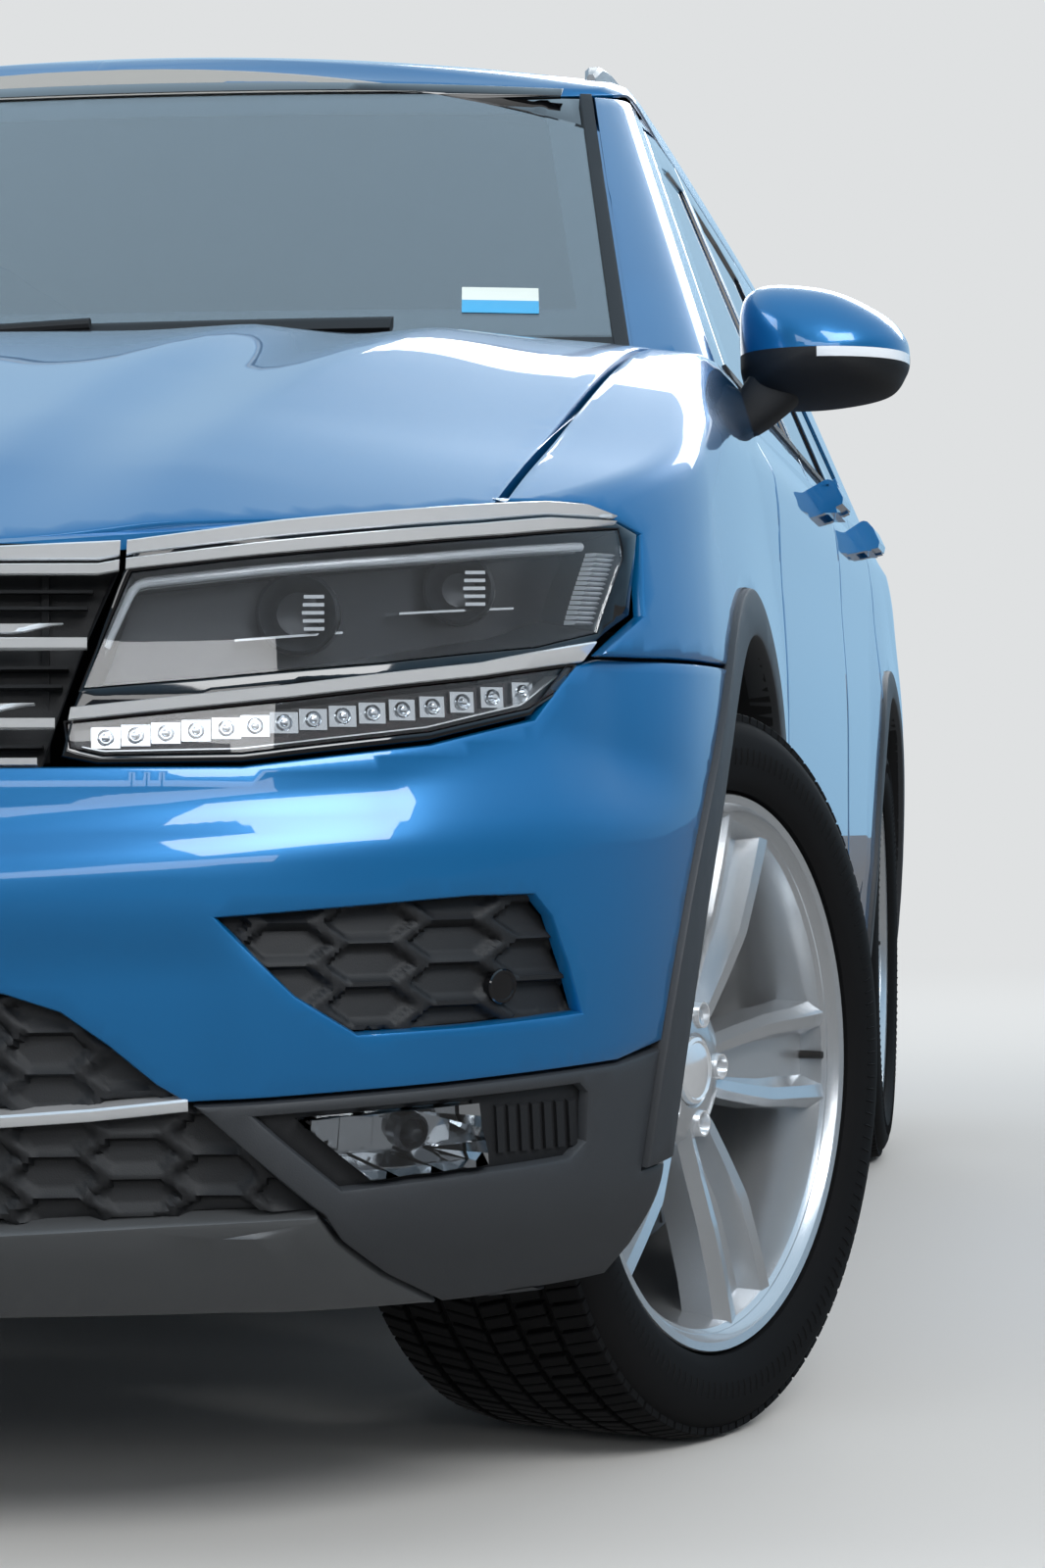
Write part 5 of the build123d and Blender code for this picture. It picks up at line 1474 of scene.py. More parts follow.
def aimed(mesh, place, direction, upward=(0, 0, 1)):
    """A mesh in its own frame, X outward and Z upward, set at a place and turned to a direction."""
    out = np.asarray(direction, float) / np.linalg.norm(direction)
    side = np.cross(np.asarray(upward, float), out)
    side /= np.linalg.norm(side)
    turn = np.column_stack([out, side, np.cross(out, side)])
    return np.asarray(mesh[0]) @ turn.T + np.asarray(place), mesh[1]


def block(x, y, z):
    """A closed box from its three ranges."""
    return solid([[(a, y[0], z[0]), (a, y[1], z[0]), (a, y[1], z[1]), (a, y[0], z[1])] for a in x])


def on_nose(x, z, lift=0.0):
    """A point of the nose surface and its outward direction."""
    at = on_front(np.array([[x, z]]))
    low, high = lifted(wall, at, 0.0)[0], lifted(wall, at, 0.01)[0]
    outward = (high - low) / 0.01
    return low + outward * lift, outward


print("nose point at the lamp", on_nose(0.64, 0.776)[0].round(3))

# %% [markdown]
# ### Chrome ribbons
# Two plated ribbons run from the grille over the lamps and end in a point at the fender.
# Each has a sharp step along its middle, which a profile across the ribbon gives.

# %% Chrome ribbons
step_profile = ((0, -0.008), (0.04, 0.0005), (0.12, 0.0022), (0.88, 0.0052), (0.96, 0.004), (1, -0.008))
band_low = ((0.0, 0.804), (0.47, 0.804), (0.494, 0.8085), (0.579, 0.8185), (0.687, 0.8305), (0.772, 0.8415),
            (0.827, 0.851), (0.846, 0.8555))
band_middle = ((0.0, 0.813), (0.47, 0.8145), (0.493, 0.819), (0.6, 0.833), (0.75, 0.851), (0.8, 0.859),
               (0.847, 0.86))
band_top = ((0.0, 0.8265), (0.391, 0.827), (0.493, 0.832), (0.607, 0.8485), (0.757, 0.8665), (0.798, 0.8715),
            (0.826, 0.8715), (0.848, 0.862))


def between(line, start, stop):
    """Part of a line of (x, z) points between two x."""
    line = np.asarray(line)
    xs = np.unique(np.concatenate([[start], line[(line[:, 0] > start) & (line[:, 0] < stop), 0], [stop]]))
    return np.column_stack([xs, np.interp(xs, *line.T)])


def lifted_line(line, amount):
    """A line moved up by an amount."""
    return np.asarray(line) + np.array([0, amount])


lamp_split = 0.486
bands = []
for start, stop in ((-lamp_split, lamp_split), (lamp_split + 0.005, 0.846)):
    for low, high in ((band_low, lifted_line(band_middle, -0.0012)),
                      (lifted_line(band_middle, 0.0012), band_top)):
        lines = [between(line, max(start, 0), stop) for line in (low, high)]
        if start < 0:
            lines = [np.concatenate([line[:0:-1] * np.array([-1, 1]), line]) for line in lines]
        strip = ribbon(*lines, step_profile, 120)
        bands += [strip] if start < 0 else [strip, mirrored(strip)]
lower_strip = ribbon(((0.451, 0.688), (0.621, 0.706), (0.763, 0.724), (0.838, 0.738)),
                     ((0.453, 0.699), (0.621, 0.717), (0.762, 0.736), (0.846, 0.757)), step_profile, 80)
bands += [lower_strip, mirrored(lower_strip)]
# columns: bottom, top, half width, x where the taper to a point starts
grille_bars = (
    (0.745, 0.7545, 0.464, None), (0.7575, 0.7655, 0.445, 0.405), (0.682, 0.6905, 0.441, None),
    (0.6945, 0.702, 0.425, 0.385), (0.653, 0.659, 0.428, None),
)
for low, high, half, taper in grille_bars:
    xs = np.linspace(-half, half, 90)
    foot = np.full_like(xs, low)
    if taper:
        foot = low + (high - 0.001 - low) * ease((np.abs(xs) - taper) / (half - taper))
    bands.append(ribbon(np.column_stack([xs, foot]), np.column_stack([xs, np.full_like(xs, high)]),
                        step_profile, 90))
piece("chrome_ribbons", joined(*bands), chrome, "body", sharp=40)

# %% [markdown]
# ### Upper grille
# Behind the chrome bars lie a dark hollow, thin louvres and upright ribs.
# The hollow is a real one, so the grille darkens by depth and not by colour.

# %% Upper grille
grille_left = np.array([(0.0, 0.65), (0.432, 0.65), (0.443, 0.687), (0.462, 0.745), (0.486, 0.806),
                        (0.486, 0.829),
                        (0.0, 0.829)])
grille_opening = whole(run_of(on_front, grille_left))
grille_back = bowl(wall, grille_opening, 0.036, 0.004)
louvres = []
for z in (0.668, 0.716, 0.731, 0.777, 0.79):
    half = np.interp(z, [0.65, 0.829], [0.426, 0.478])
    louvres.append(ribbon(((-half, z), (half, z)), ((-half, z + 0.003), (half, z + 0.003)),
                          ((0, -0.034), (0.1, -0.014), (0.9, -0.013), (1, -0.034)), 60))
ribs = [block((x - 0.003, x + 0.003), (-2.19 + 0.35 * x * x, -2.13), (0.655, 0.822))
        for x in (-0.42, -0.21, 0, 0.21, 0.42)]
piece("upper_grille_backing", joined(grille_back, *louvres, *ribs), plastic, "body", "upper_grille")

# %% [markdown]
# ### Headlamp housing
# The lamp has two windows in one black housing: the large one above and the signal strip below.
# Housing, bowl and pane share their outlines, and the pane lies just under the body line.

# %% Headlamp housing, bowl and cover
lamp_rim = loop_of(on_front, [(0.504, 0.834), (0.607, 0.85), (0.757, 0.868), (0.798, 0.873), (0.826, 0.872),
                              (0.846, 0.861),
                       (0.864, 0.851), (0.868, 0.78), (0.841, 0.7445), (0.832, 0.739), (0.803, 0.693),
                       (0.728, 0.6725), (0.585, 0.6555), (0.474, 0.6545), (0.446, 0.66), (0.455, 0.7),
                       (0.47, 0.745), (0.489, 0.806)])
lens_rim = loop_of(on_front, [(0.496, 0.806), (0.579, 0.8165), (0.687, 0.8285), (0.772, 0.8395),
                              (0.851, 0.8525),
                       (0.857, 0.828), (0.849, 0.764), (0.806, 0.75), (0.692, 0.735), (0.547, 0.721),
                       (0.462, 0.714)])
signal_rim = loop_of(on_front, [(0.45, 0.686), (0.621, 0.7035), (0.763, 0.7215), (0.833, 0.7345),
                                (0.824, 0.716),
                         (0.801, 0.699), (0.728, 0.6795), (0.585, 0.6625), (0.478, 0.661), (0.453, 0.667)])
housing = panel_mesh(wall, lamp_rim, [lens_rim, signal_rim], step=0.014, roll=0.0025, depth=0.02,
                     lift=-0.0006)
piece("headlamp_housings", both(housing), gloss_black, "body", "headlamps")
lamp_bowl = bowl(wall, lens_rim, 0.06, 0.01, 0.012)
piece("headlamp_bowls", both(lamp_bowl), lamp_grey, "body")
covers = joined(*[cover(wall, inset(rim_line, -0.0005), 0.003, -0.0015)
                  for rim_line in (lens_rim, signal_rim)])
piece("headlamp_covers", both(covers), lens_clear, "body", "lamp_lenses")

# %% [markdown]
# ### Inside the headlamp
# Two light modules look forward with a comb of fins before each lens.
# A round light guide runs along the top, and a ribbed reflector closes the outer end.

# %% Light modules, light guide and side reflector
modules, combs = [], []
for x, z, reach in ((0.64, 0.776, 0.034), (0.775, 0.797, 0.03)):
    place, out = on_nose(x, z, -0.06)
    shroud = turned([(0.0, reach), (0.03, reach), (0.034, reach - 0.003), (0.03, reach - 0.007),
                     (0.012, reach - 0.016),
                     (0.008, 0.0)], 40, closed=False)
    modules.append(aimed(shroud, place, (0.15, -1, 0)))
    for k in range(5):
        rise = (k - 2) * 0.0065
        bar = block((0.018, 0.04), (0.004 + 0.0008 * abs(k - 2), 0.022), (rise - 0.0014, rise + 0.0014))
        combs.append(aimed(bar, place, (0.15, -1, 0)))
    brow = ribbon(((x - 0.06, z - 0.022), (x + 0.03, z - 0.016)),
                  ((x - 0.06, z - 0.019), (x + 0.03, z - 0.013)),
                  ((0, -0.06), (0.2, -0.034), (0.8, -0.034), (1, -0.06)), 24)
    combs.append(brow)
piece("headlamp_modules", both(joined(*modules)), lamp_grey, "body")
piece("headlamp_module_combs", both(joined(*combs)), reflector, "body")
guide_line = resampled([(0.478, 0.748), (0.496, 0.79), (0.501, 0.7965), (0.508, 0.7985), (0.6, 0.8095),
                        (0.72, 0.8215), (0.835, 0.8375)], 160)
guide_path = lifted(wall, on_front(guide_line), -0.016)
guide = tube(guide_path, 0.0038)
guide_carrier = ribbon(lifted_line(guide_line, -0.0065), lifted_line(guide_line, 0.0065),
                       ((0, -0.055), (0.1, -0.021), (0.9, -0.021), (1, -0.055)), 120)
piece("light_guides", both(guide), light_guide, "body")
piece("light_guide_carriers", both(guide_carrier), satin, "body")
ribs = []
for k in range(15):
    z = 0.77 + k * 0.0042
    x0, x1 = np.interp(z, [0.765, 0.83], [0.835, 0.842]), np.interp(z, [0.765, 0.83], [0.847, 0.854])
    ribs.append(ribbon(((x0, z), (x1, z)), ((x0, z + 0.0036), (x1, z + 0.0036)),
                       ((0, -0.02), (0.1, -0.009), (0.5, -0.006), (0.9, -0.009), (1, -0.02)), 6))
piece("side_reflectors", both(joined(*ribs)), light_guide, "body")

# %% [markdown]
# ### Signal strip
# Fifteen equal cells stand in a row and follow the curve of the nose.
# Geometry Nodes set one element on every point, turned by the surface's own direction.

# %% Turn and daylight lamp
signal_bowl = bowl(wall, signal_rim, 0.022, 0.004, 0.012)
signal_dark = finish("lamp_red", "dark_red_tinted_lamp_floor", "#2a0e12", 0.25, shade="#1c0a0d",
                     Coat_Weight=0.4)
piece("signal_bowls", both(signal_bowl), signal_dark, "body")
cell = joined(turned([(0.0, 0.007), (0.004, 0.0066), (0.005, 0.0058), (0.002, 0.0046), (0.002, 0.0036),
                      (0.006, 0.0026),
                      (0.0068, 0.0)], 20, closed=False),
              block((0.0, 0.0016), (-0.0115, 0.0115), (-0.0085, 0.0085)))
cell_line = resampled([(0.48, 0.6765), (0.6, 0.686), (0.74, 0.7015), (0.806, 0.7135)], 15)
seats_at = [on_nose(x, z, -0.02) for x, z in cell_line]
cells = seated(np.array([p for p, _ in seats_at]), np.array([o for _, o in seats_at]),
               np.tile([0.0, 0.0, 1.0], (len(seats_at), 1)), np.ones(len(seats_at)), cell)
piece("signal_cells", both(cells), reflector, "body")
signal_line = ribbon(((0.462, 0.6672), (0.478, 0.6637), (0.585, 0.6655), (0.728, 0.6825), (0.799, 0.7015),
                      (0.826, 0.727)),
                     ((0.462, 0.669), (0.479, 0.6657), (0.585, 0.6675), (0.728, 0.6845), (0.798, 0.7035),
                      (0.824, 0.728)),
                     ((0, -0.02), (0.2, -0.007), (0.8, -0.007), (1, -0.02)), 80)
piece("signal_trim_lines", both(signal_line), chrome, "body")

# %% [markdown]
# ### Scalloped grilles
# The vents and the lower grille carry flat hexagonal scallops. Their relief is a function
# of the place on the board, so ridges keep the same width wherever an outline cuts them.

# %% Vent and lower grille
cell_pitch_x, cell_pitch_z = 0.062, 0.034


def honeycomb(surface, base):
    """A surface sunk by base with hexagonal scallops; ridges stand at the base."""
    def relief(p, q):
        point = surface(p, q)
        x = np.abs(point[:, 0])
        best = np.full(len(x), 9.0)
        slope = np.zeros(len(x))
        column = np.round(x / cell_pitch_x)
        for shift in (-1, 0, 1):
            c = column + shift
            half = (c % 2) / 2
            row = np.round(q / cell_pitch_z + half)
            dx, dz = np.abs(x - c * cell_pitch_x), q - (row - half) * cell_pitch_z
            reach = np.maximum(np.abs(dz) / (cell_pitch_z / 2), dx / (cell_pitch_x / 1.5)
                               + np.abs(dz) / cell_pitch_z)
            near = reach < best
            best, slope = np.where(near, reach, best), np.where(near, dz / cell_pitch_z, slope)
        floor = 0.0085 + 0.007 * slope
        depth = base + floor * (1 - ease((best - 0.74) / 0.12))
        return lifted(surface, np.column_stack([p, q]), -depth)
    return relief


vent_rim = loop_of(on_front, [(0.563, 0.532), (0.622, 0.469), (0.667, 0.437), (0.749, 0.44), (0.829, 0.446),
                              (0.821, 0.487),
                       (0.81, 0.529), (0.797, 0.547), (0.751, 0.547), (0.658, 0.54)])
vent_insert = panel_mesh(honeycomb(wall, 0.01), vent_rim, step=0.0035, roll=0.001, depth=0.008, lift=0.0)
piece("vent_inserts", both(vent_insert), plastic, "body", "vent_grilles", sharp=60)
place, out = on_nose(0.776, 0.471, -0.01)
sensor = turned([(-0.004, 0.0145), (0.003, 0.0145), (0.0042, 0.0135), (0.004, 0.0112), (0.0032, 0.0108),
                 (0.0038, 0.0)], 40, closed=False)
piece("parking_sensors", both(aimed(sensor, place, out)), gloss_black, "body")
intake_left = np.array([(0.0, 0.279), (0.391, 0.279), (0.505, 0.284), (0.636, 0.291), (0.542, 0.384),
                        (0.52, 0.4),
                        (0.483, 0.432), (0.446, 0.459), (0.402, 0.474), (0.0, 0.479)])
intake_rim = whole(run_of(on_front, intake_left))
intake = panel_mesh(honeycomb(wall, 0.012), intake_rim, step=0.0048, roll=0.001, depth=0.01, lift=0.0)
piece("lower_grille_insert", intake, plastic, "body", "lower_grille", sharp=60)
strip_x = np.linspace(-0.541, 0.541, 100)
strip_z = np.interp(np.abs(strip_x), [0, 0.399, 0.466, 0.541], [0.376, 0.378, 0.382, 0.389])
intake_strip = ribbon(np.column_stack([strip_x, strip_z - 0.013]), np.column_stack([strip_x, strip_z]),
                      ((0, -0.02), (0.08, -0.004), (0.2, -0.002), (0.8, 0.001), (0.95, 0.0), (1, -0.02)), 100)
piece("lower_grille_chrome", intake_strip, chrome, "body")
print("honeycomb", len(vent_insert[0]), len(intake[0]))

# %% [markdown]
# ### Fog lamps
# A fog lamp sits low in the corner: a fluted reflector, a bulb shroud and a clear cover in a
# black surround with slats on its outer side.

# %% Fog lamps
fog_lens_rim = loop_of(on_front, [(0.672, 0.3195), (0.622, 0.3695), (0.752, 0.3775), (0.758, 0.3255)])
fog_rim = loop_of(on_front, [(0.588, 0.374), (0.651, 0.311), (0.69, 0.314), (0.816, 0.323), (0.828, 0.337),
                             (0.831, 0.379),
                      (0.825, 0.387)])
plate = panel_mesh(proud(wall, -0.01), fog_rim, [fog_lens_rim], step=0.014, roll=0.001, depth=0.006)
outboard = []
for k in range(7):
    x = 0.768 + k * 0.0085
    outboard.append(ribbon(((x, 0.33), (x + 0.005, 0.33)), ((x, 0.374), (x + 0.005, 0.374)),
                           ((0, -0.014), (0.06, -0.006), (0.94, -0.006), (1, -0.014)), 3))
piece("fog_lamp_surrounds", both(joined(plate, *outboard)), plastic, "body", "fog_lamps")


def facets(p, q):
    """The reflector floor pressed in small upright flutes."""
    wave = np.abs(((p * 95) % 1) - 0.5) * 2
    return lifted(wall, np.column_stack([p, q]), 0.0035 * wave)


fog_bowl = bowl(facets, fog_lens_rim, 0.05, 0.01, 0.0045)
piece("fog_lamp_reflectors", both(fog_bowl), reflector, "body")
place, out = on_nose(0.713, 0.35, -0.046)
bulb = turned([(0.0, 0.0165), (0.022, 0.016), (0.026, 0.013), (0.02, 0.0105), (0.024, 0.0085), (0.031, 0.005),
               (0.033, 0.0)], 40, closed=False)
piece("fog_bulbs", both(aimed(bulb, place, out)), lamp_grey, "body")
piece("fog_lamp_covers", both(cover(wall, inset(fog_lens_rim, -0.0005), 0.003, -0.0115)), lens_clear, "body")

# %% [markdown]
# ## Mirrors, glass edges, wipers and roof rails
# A mirror is one rounded shell cut level: painted above, black below, with a clear
# indicator along the cut. Handles, seals and rails follow the body surface.


# %% Side view lines and smooth loops
def side_ribbon(lower, upper, profile, count=60, closed=False):
    """A moulding between two side view lines."""
    return outward_faces(lofted(ribbon_rows(on_side, lower, upper, profile, count), closed=closed, caps=True))


def smooth_loop(points, steps=12):
    """A closed curve through the points."""
    p = np.asarray(points, float)
    before, after, beyond = np.roll(p, 1, 0), np.roll(p, -1, 0), np.roll(p, -2, 0)
    t = (np.arange(steps) / steps)[None, :, None]
    a, b, c, d = [q[:, None] for q in (before, p, after, beyond)]
    curve = 0.5 * (2 * b + (c - a) * t + (2 * a - 5 * b + 4 * c - d) * t**2 + (3 * b - a - 3 * c + d) * t**3)
    return curve.reshape(-1, p.shape[1])


def part_of(mesh, keep):
    """The faces of a mesh whose middle the test keeps."""
    verts, faces = mesh
    middles = np.array([verts[list(f)].mean(0) for f in faces])
    chosen = [f for f, ok in zip(faces, keep(middles)) if ok]
    used = sorted({i for f in chosen for i in f})
    number = {old: new for new, old in enumerate(used)}
    return verts[used], [tuple(number[i] for i in f) for f in chosen]


print("a smooth loop", len(smooth_loop([(0, 0), (1, 0), (1, 1), (0, 1)])), "points")

# %% [markdown]
# ### Door mirrors
# The shell is a rounded form that narrows forward. It is cut by planes into the painted cap, the
# black lower shell and the indicator, so that all three share one surface without a step.

# %% Door mirrors
mirror_split_z = 1.126
mirror_loop = smooth_loop([
    (0.853, mirror_split_z), (0.853, 1.176), (0.866, 1.201), (0.9, 1.2085), (0.964, 1.199), (1.018, 1.172),
    (1.041, 1.148), (1.0465, mirror_split_z), (1.043, 1.104), (1.022, 1.079), (0.964, 1.067), (0.902, 1.066),
    (0.866, 1.078), (0.855, 1.102)], 10)
mirror_middle = np.array([0.945, mirror_split_z])
rows = []
for t in np.concatenate([[0.0, 0.02], np.linspace(0.08, 0.995, 26)]):
    share = max(1 - t**2.6, 0) ** 0.5 * (0.985 if t == 0 else 1.0)
    loop = mirror_middle + (mirror_loop - mirror_middle) * share
    rows.append(np.column_stack([loop[:, 0], np.full(len(loop), -0.732 - 0.124 * t), loop[:, 1]]))
mirror_shell = solid(np.array(rows))


def cut_at(mesh, *planes):
    """The mesh with a run of edges wherever a plane (point, normal) crosses it."""
    bm = bmesh.new()
    corners = [bm.verts.new(v) for v in mesh[0]]
    for f in mesh[1]:
        bm.faces.new([corners[i] for i in f])
    for point, normal in planes:
        bmesh.ops.bisect_plane(bm, geom=bm.verts[:] + bm.edges[:] + bm.faces[:], plane_co=point,
                               plane_no=normal)
    bm.verts.index_update()
    made = np.array([tuple(v.co) for v in bm.verts]), [tuple(v.index for v in f.verts) for f in bm.faces]
    bm.free()
    return made


signal_low, signal_inner, signal_back = 1.115, 0.948, -0.742
mirror_shell = cut_at(mirror_shell, ((0, 0, mirror_split_z), (0, 0, 1)), ((0, 0, signal_low), (0, 0, 1)),
                      ((signal_inner, 0, 0), (1, 0, 0)), ((0, signal_back, 0), (0, 1, 0)))


def is_signal(m):
    """Which face middles belong to the indicator."""
    high_enough = (m[:, 2] < mirror_split_z) & (m[:, 2] > signal_low)
    return high_enough & (m[:, 0] > signal_inner) & (m[:, 1] < signal_back)


stalk = solid([
    smooth_loop([(x0, -0.812, z0), (x0, -0.755, z0), (x1, -0.755, z1), (x1, -0.812, z1)], 8)
    for x0, x1, z0, z1 in ((0.872, 0.926, 1.098, 1.08), (0.858, 0.906, 1.076, 1.062),
                           (0.838, 0.884, 1.054, 1.044),
                           (0.832, 0.872, 1.04, 1.036))])
mirror_parts = {
    "cap": (part_of(mirror_shell, lambda m: m[:, 2] > mirror_split_z), paint),
    "lower_shell": (joined(part_of(mirror_shell, lambda m: (m[:, 2] < mirror_split_z) & ~is_signal(m)),
                           stalk), plastic),
    "indicator": (part_of(mirror_shell, is_signal), light_guide),
}
glass_loop = mirror_middle + (mirror_loop - mirror_middle) * 0.88
glass_rows = [np.column_stack([mirror_middle[0] + (glass_loop[:, 0] - mirror_middle[0]) * k,
                               np.full(len(glass_loop), y),
                               mirror_middle[1] + (glass_loop[:, 1] - mirror_middle[1]) * k])
              for y, k in ((-0.7325, 1.0), (-0.7302, 0.985))]
mirror_parts["glass"] = (solid(glass_rows), mirror_glass)
for part, (mesh, material) in mirror_parts.items():
    pair(f"mirror_SIDE_{part}", mesh, material, "door_front_SIDE", ["mirror_SIDE"] if part == "cap" else [])

# %% [markdown]
# ### Handles and seals
# A handle is a bar on two feet, and a seal is a lip along the belt line or behind the hood.
# Both follow the wall of the body at a small height above it.

# %% Handles and belt seals
grip_profile = ((0, 0.021), (0.0, 0.032), (0.14, 0.0365), (0.5, 0.038), (0.86, 0.0365), (1, 0.032),
                (1, 0.021))
for place, rear in (("front", 0.212), ("rear", 1.042)):
    front = rear - 0.186
    grip = side_ribbon(((front, 1.002), (rear, 1.004)), ((front, 1.034), (rear, 1.036)), grip_profile, 40,
                       closed=True)
    feet = [side_ribbon(((y, 1.002), (y + 0.031, 1.002)), ((y, 1.035), (y + 0.031, 1.035)),
                        ((0, -0.004), (0, 0.03), (1, 0.03), (1, -0.004)), 6) for y in (front, rear - 0.031)]
    handle = joined(grip, *feet)
    seal_front, seal_rear = (-0.812, 0.244) if place == "front" else (0.262, 1.075)
    belt = side_ribbon(((seal_front, 1.0985), (seal_rear, 1.0985)),
                       ((seal_front, 1.1125), (seal_rear, 1.1135)),
                       ((0, -0.004), (0.1, 0.0035), (0.9, 0.004), (1, -0.004)), 60)
    body = f"door_{place}_SIDE"
    pair(f"{body}_handle", handle, paint, body)
    pair(f"{body}_belt_seal", belt, seal, body)
cowl_edge = arc(hood_corner_rear, (0, -1.162), (-hood_corner_rear[0], hood_corner_rear[1]), 60)
seal_section = ((-0.008, 0.03), (-0.006, 0), (-0.02, 0), (-0.022, 0.03))
seal_rows = [[(x, y + back, top - sink) for back, sink in seal_section]
             for x, y, top in zip(*cowl_edge.T, hood_sheet(*cowl_edge.T)[:, 2] - 0.004)]
piece("hood_rear_seal", solid(seal_rows), seal, "hood")

# %% [markdown]
# ### Windscreen edge and wipers
# The glass has a printed black border, a band under the roof and a small blank sticker.
# Two wipers lie on it, each a profiled blade with a bent arm.

# %% Windscreen edge, sticker and wipers
def on_screen(points):
    """Front view points (x, z) of the windscreen on the greenhouse board."""
    return on_front(points, house_outline)


screen_outer = on_screen(dense([(-0.75, 1.123), (0.75, 1.123), (0.627, 1.504), (-0.627, 1.504)], 0.02))
screen_inner = on_screen(dense([(-0.69, 1.165), (0.69, 1.165), (0.588, 1.47), (-0.588, 1.47)], 0.02))
frit = panel_mesh(house, screen_outer, [screen_inner], step=0.03, roll=0.0005, depth=0.001, lift=-0.0078)
piece("windscreen_black_border", frit, gloss_black, "body")
header_points = np.column_stack([header_x, header_z + 0.001])
top_band = on_screen(np.concatenate([[(-0.6, 1.496), (0.6, 1.496)], header_points,
                                     header_points[-2::-1] * (-1, 1)]))
piece("windscreen_top_band", panel_mesh(house, top_band, step=0.02, roll=0.001, depth=0.004, lift=0.0014),
      gloss_black, "body")
sticker_white = finish("clear_cover", "printed_white_vinyl", "#e6f0ea", 0.5, shade="#dfeae6")
sticker_blue = finish("clear_cover", "printed_light_blue_vinyl", "#4db2e6", 0.5, shade="#45a8de")
for name, material, low, high in (("white", sticker_white, 1.1755, 1.1935),
                                  ("blue", sticker_blue, 1.158, 1.1755)):
    lean = [(0.5585 - (high - 1.1935) * 0.25, high), (0.5585 - (low - 1.1935) * 0.25, low),
            (0.643 - (low - 1.1935) * 0.25, low - 0.002), (0.643 - (high - 1.1935) * 0.25, high - 0.002)]
    patch = panel_mesh(house, on_screen(dense(lean, 0.01)), step=0.01, roll=0.0001, depth=0.0003,
                       lift=-0.0014)
    piece(f"windscreen_blank_sticker_{name}", patch, material, "body")


def wiper(start, stop, pivot):
    """A blade along the glass with its arm."""
    xs = np.linspace(start[0], stop[0], 40)
    zs = np.interp(xs, [start[0], stop[0]], [start[1], stop[1]])
    rows = [lifted(house, on_screen(np.column_stack([xs, zs + up])), lift)
            for up, lift in ((-0.004, 0.001), (-0.007, 0.012), (0.0, 0.016), (0.008, 0.012), (0.006, 0.001))]
    blade = solid(np.stack(rows, 1))
    hook = lifted(house, on_screen(np.array([[(start[0] + stop[0]) / 2, (start[1] + stop[1]) / 2]])),
                  0.018)[0]
    arm = tube(resampled_3d([pivot, (np.array(pivot) + hook) / 2 + np.array([0, -0.008, 0.006]), hook], 20),
               0.007)
    return joined(blade, arm)


def resampled_3d(points, count):
    """Points in space spread evenly by number along a line of points."""
    points = np.asarray(points, float)
    at = np.linspace(0, len(points) - 1, count)
    return np.column_stack([np.interp(at, np.arange(len(points)), points[:, k]) for k in range(3)])


wipers = joined(wiper((-0.15, 1.12), (0.5, 1.129), (-0.08, -1.08, 1.116)),
                wiper((-0.7, 1.128), (-0.19, 1.12), (-0.64, -1.02, 1.08)))
piece("wipers", wipers, plastic, "body")

# %% [markdown]
# ### Roof rails
# A rail is one bar that rises from a foot at each end and stands free of the roof between them.
# A loft through stations along the car gives the feet and the bar in one piece.

# %% Roof rails
rail_y = np.concatenate([[-0.13, -0.115, -0.085, -0.03, 0.05], np.linspace(0.18, 1.42, 24),
                         [1.52, 1.58, 1.615, 1.628]])
rail_h = np.interp(rail_y, [-0.13, -0.085, 0.05, 0.2, 1.38, 1.52, 1.628],
                   [0.02, 0.032, 0.036, 0.036, 0.036, 0.028, 0.008])
rail_x = np.interp(rail_y, [-0.13, 0.1, 1.45, 1.628], [0.6, 0.592, 0.592, 0.596])
roof_at = roof_height(rail_x, rail_y)
rail_half = np.interp(rail_y, [-0.13, -0.1, 1.59, 1.628], [0.006, 0.012, 0.012, 0.006])
rail_foot = np.where((rail_y < 0.12) | (rail_y > 1.44), -0.014, rail_h - 0.018)
rows = []
for y, x, top, half, h, foot in zip(rail_y, rail_x, roof_at, rail_half, rail_h, rail_foot):
    rows.append([(x - half, y, top + foot), (x - half, y, top + h - 0.006),
                 (x - half * 0.5, y, top + h - 0.001),
                 (x + half * 0.5, y, top + h - 0.001), (x + half, y, top + h - 0.006),
                 (x + half, y, top + foot)])
rail = solid(rows)
piece("roof_rail_bars", both(rail), satin, "body", "roof_rails")

# %% [markdown]
# ## Seats
# Each pad starts as a closed form a little smaller than the real one, is remeshed in small
# cells and blown up softly by Cloth pressure with gravity off. The movement is capped, the
# result is applied and smoothed once, and the sewn channels are pressed in afterwards.

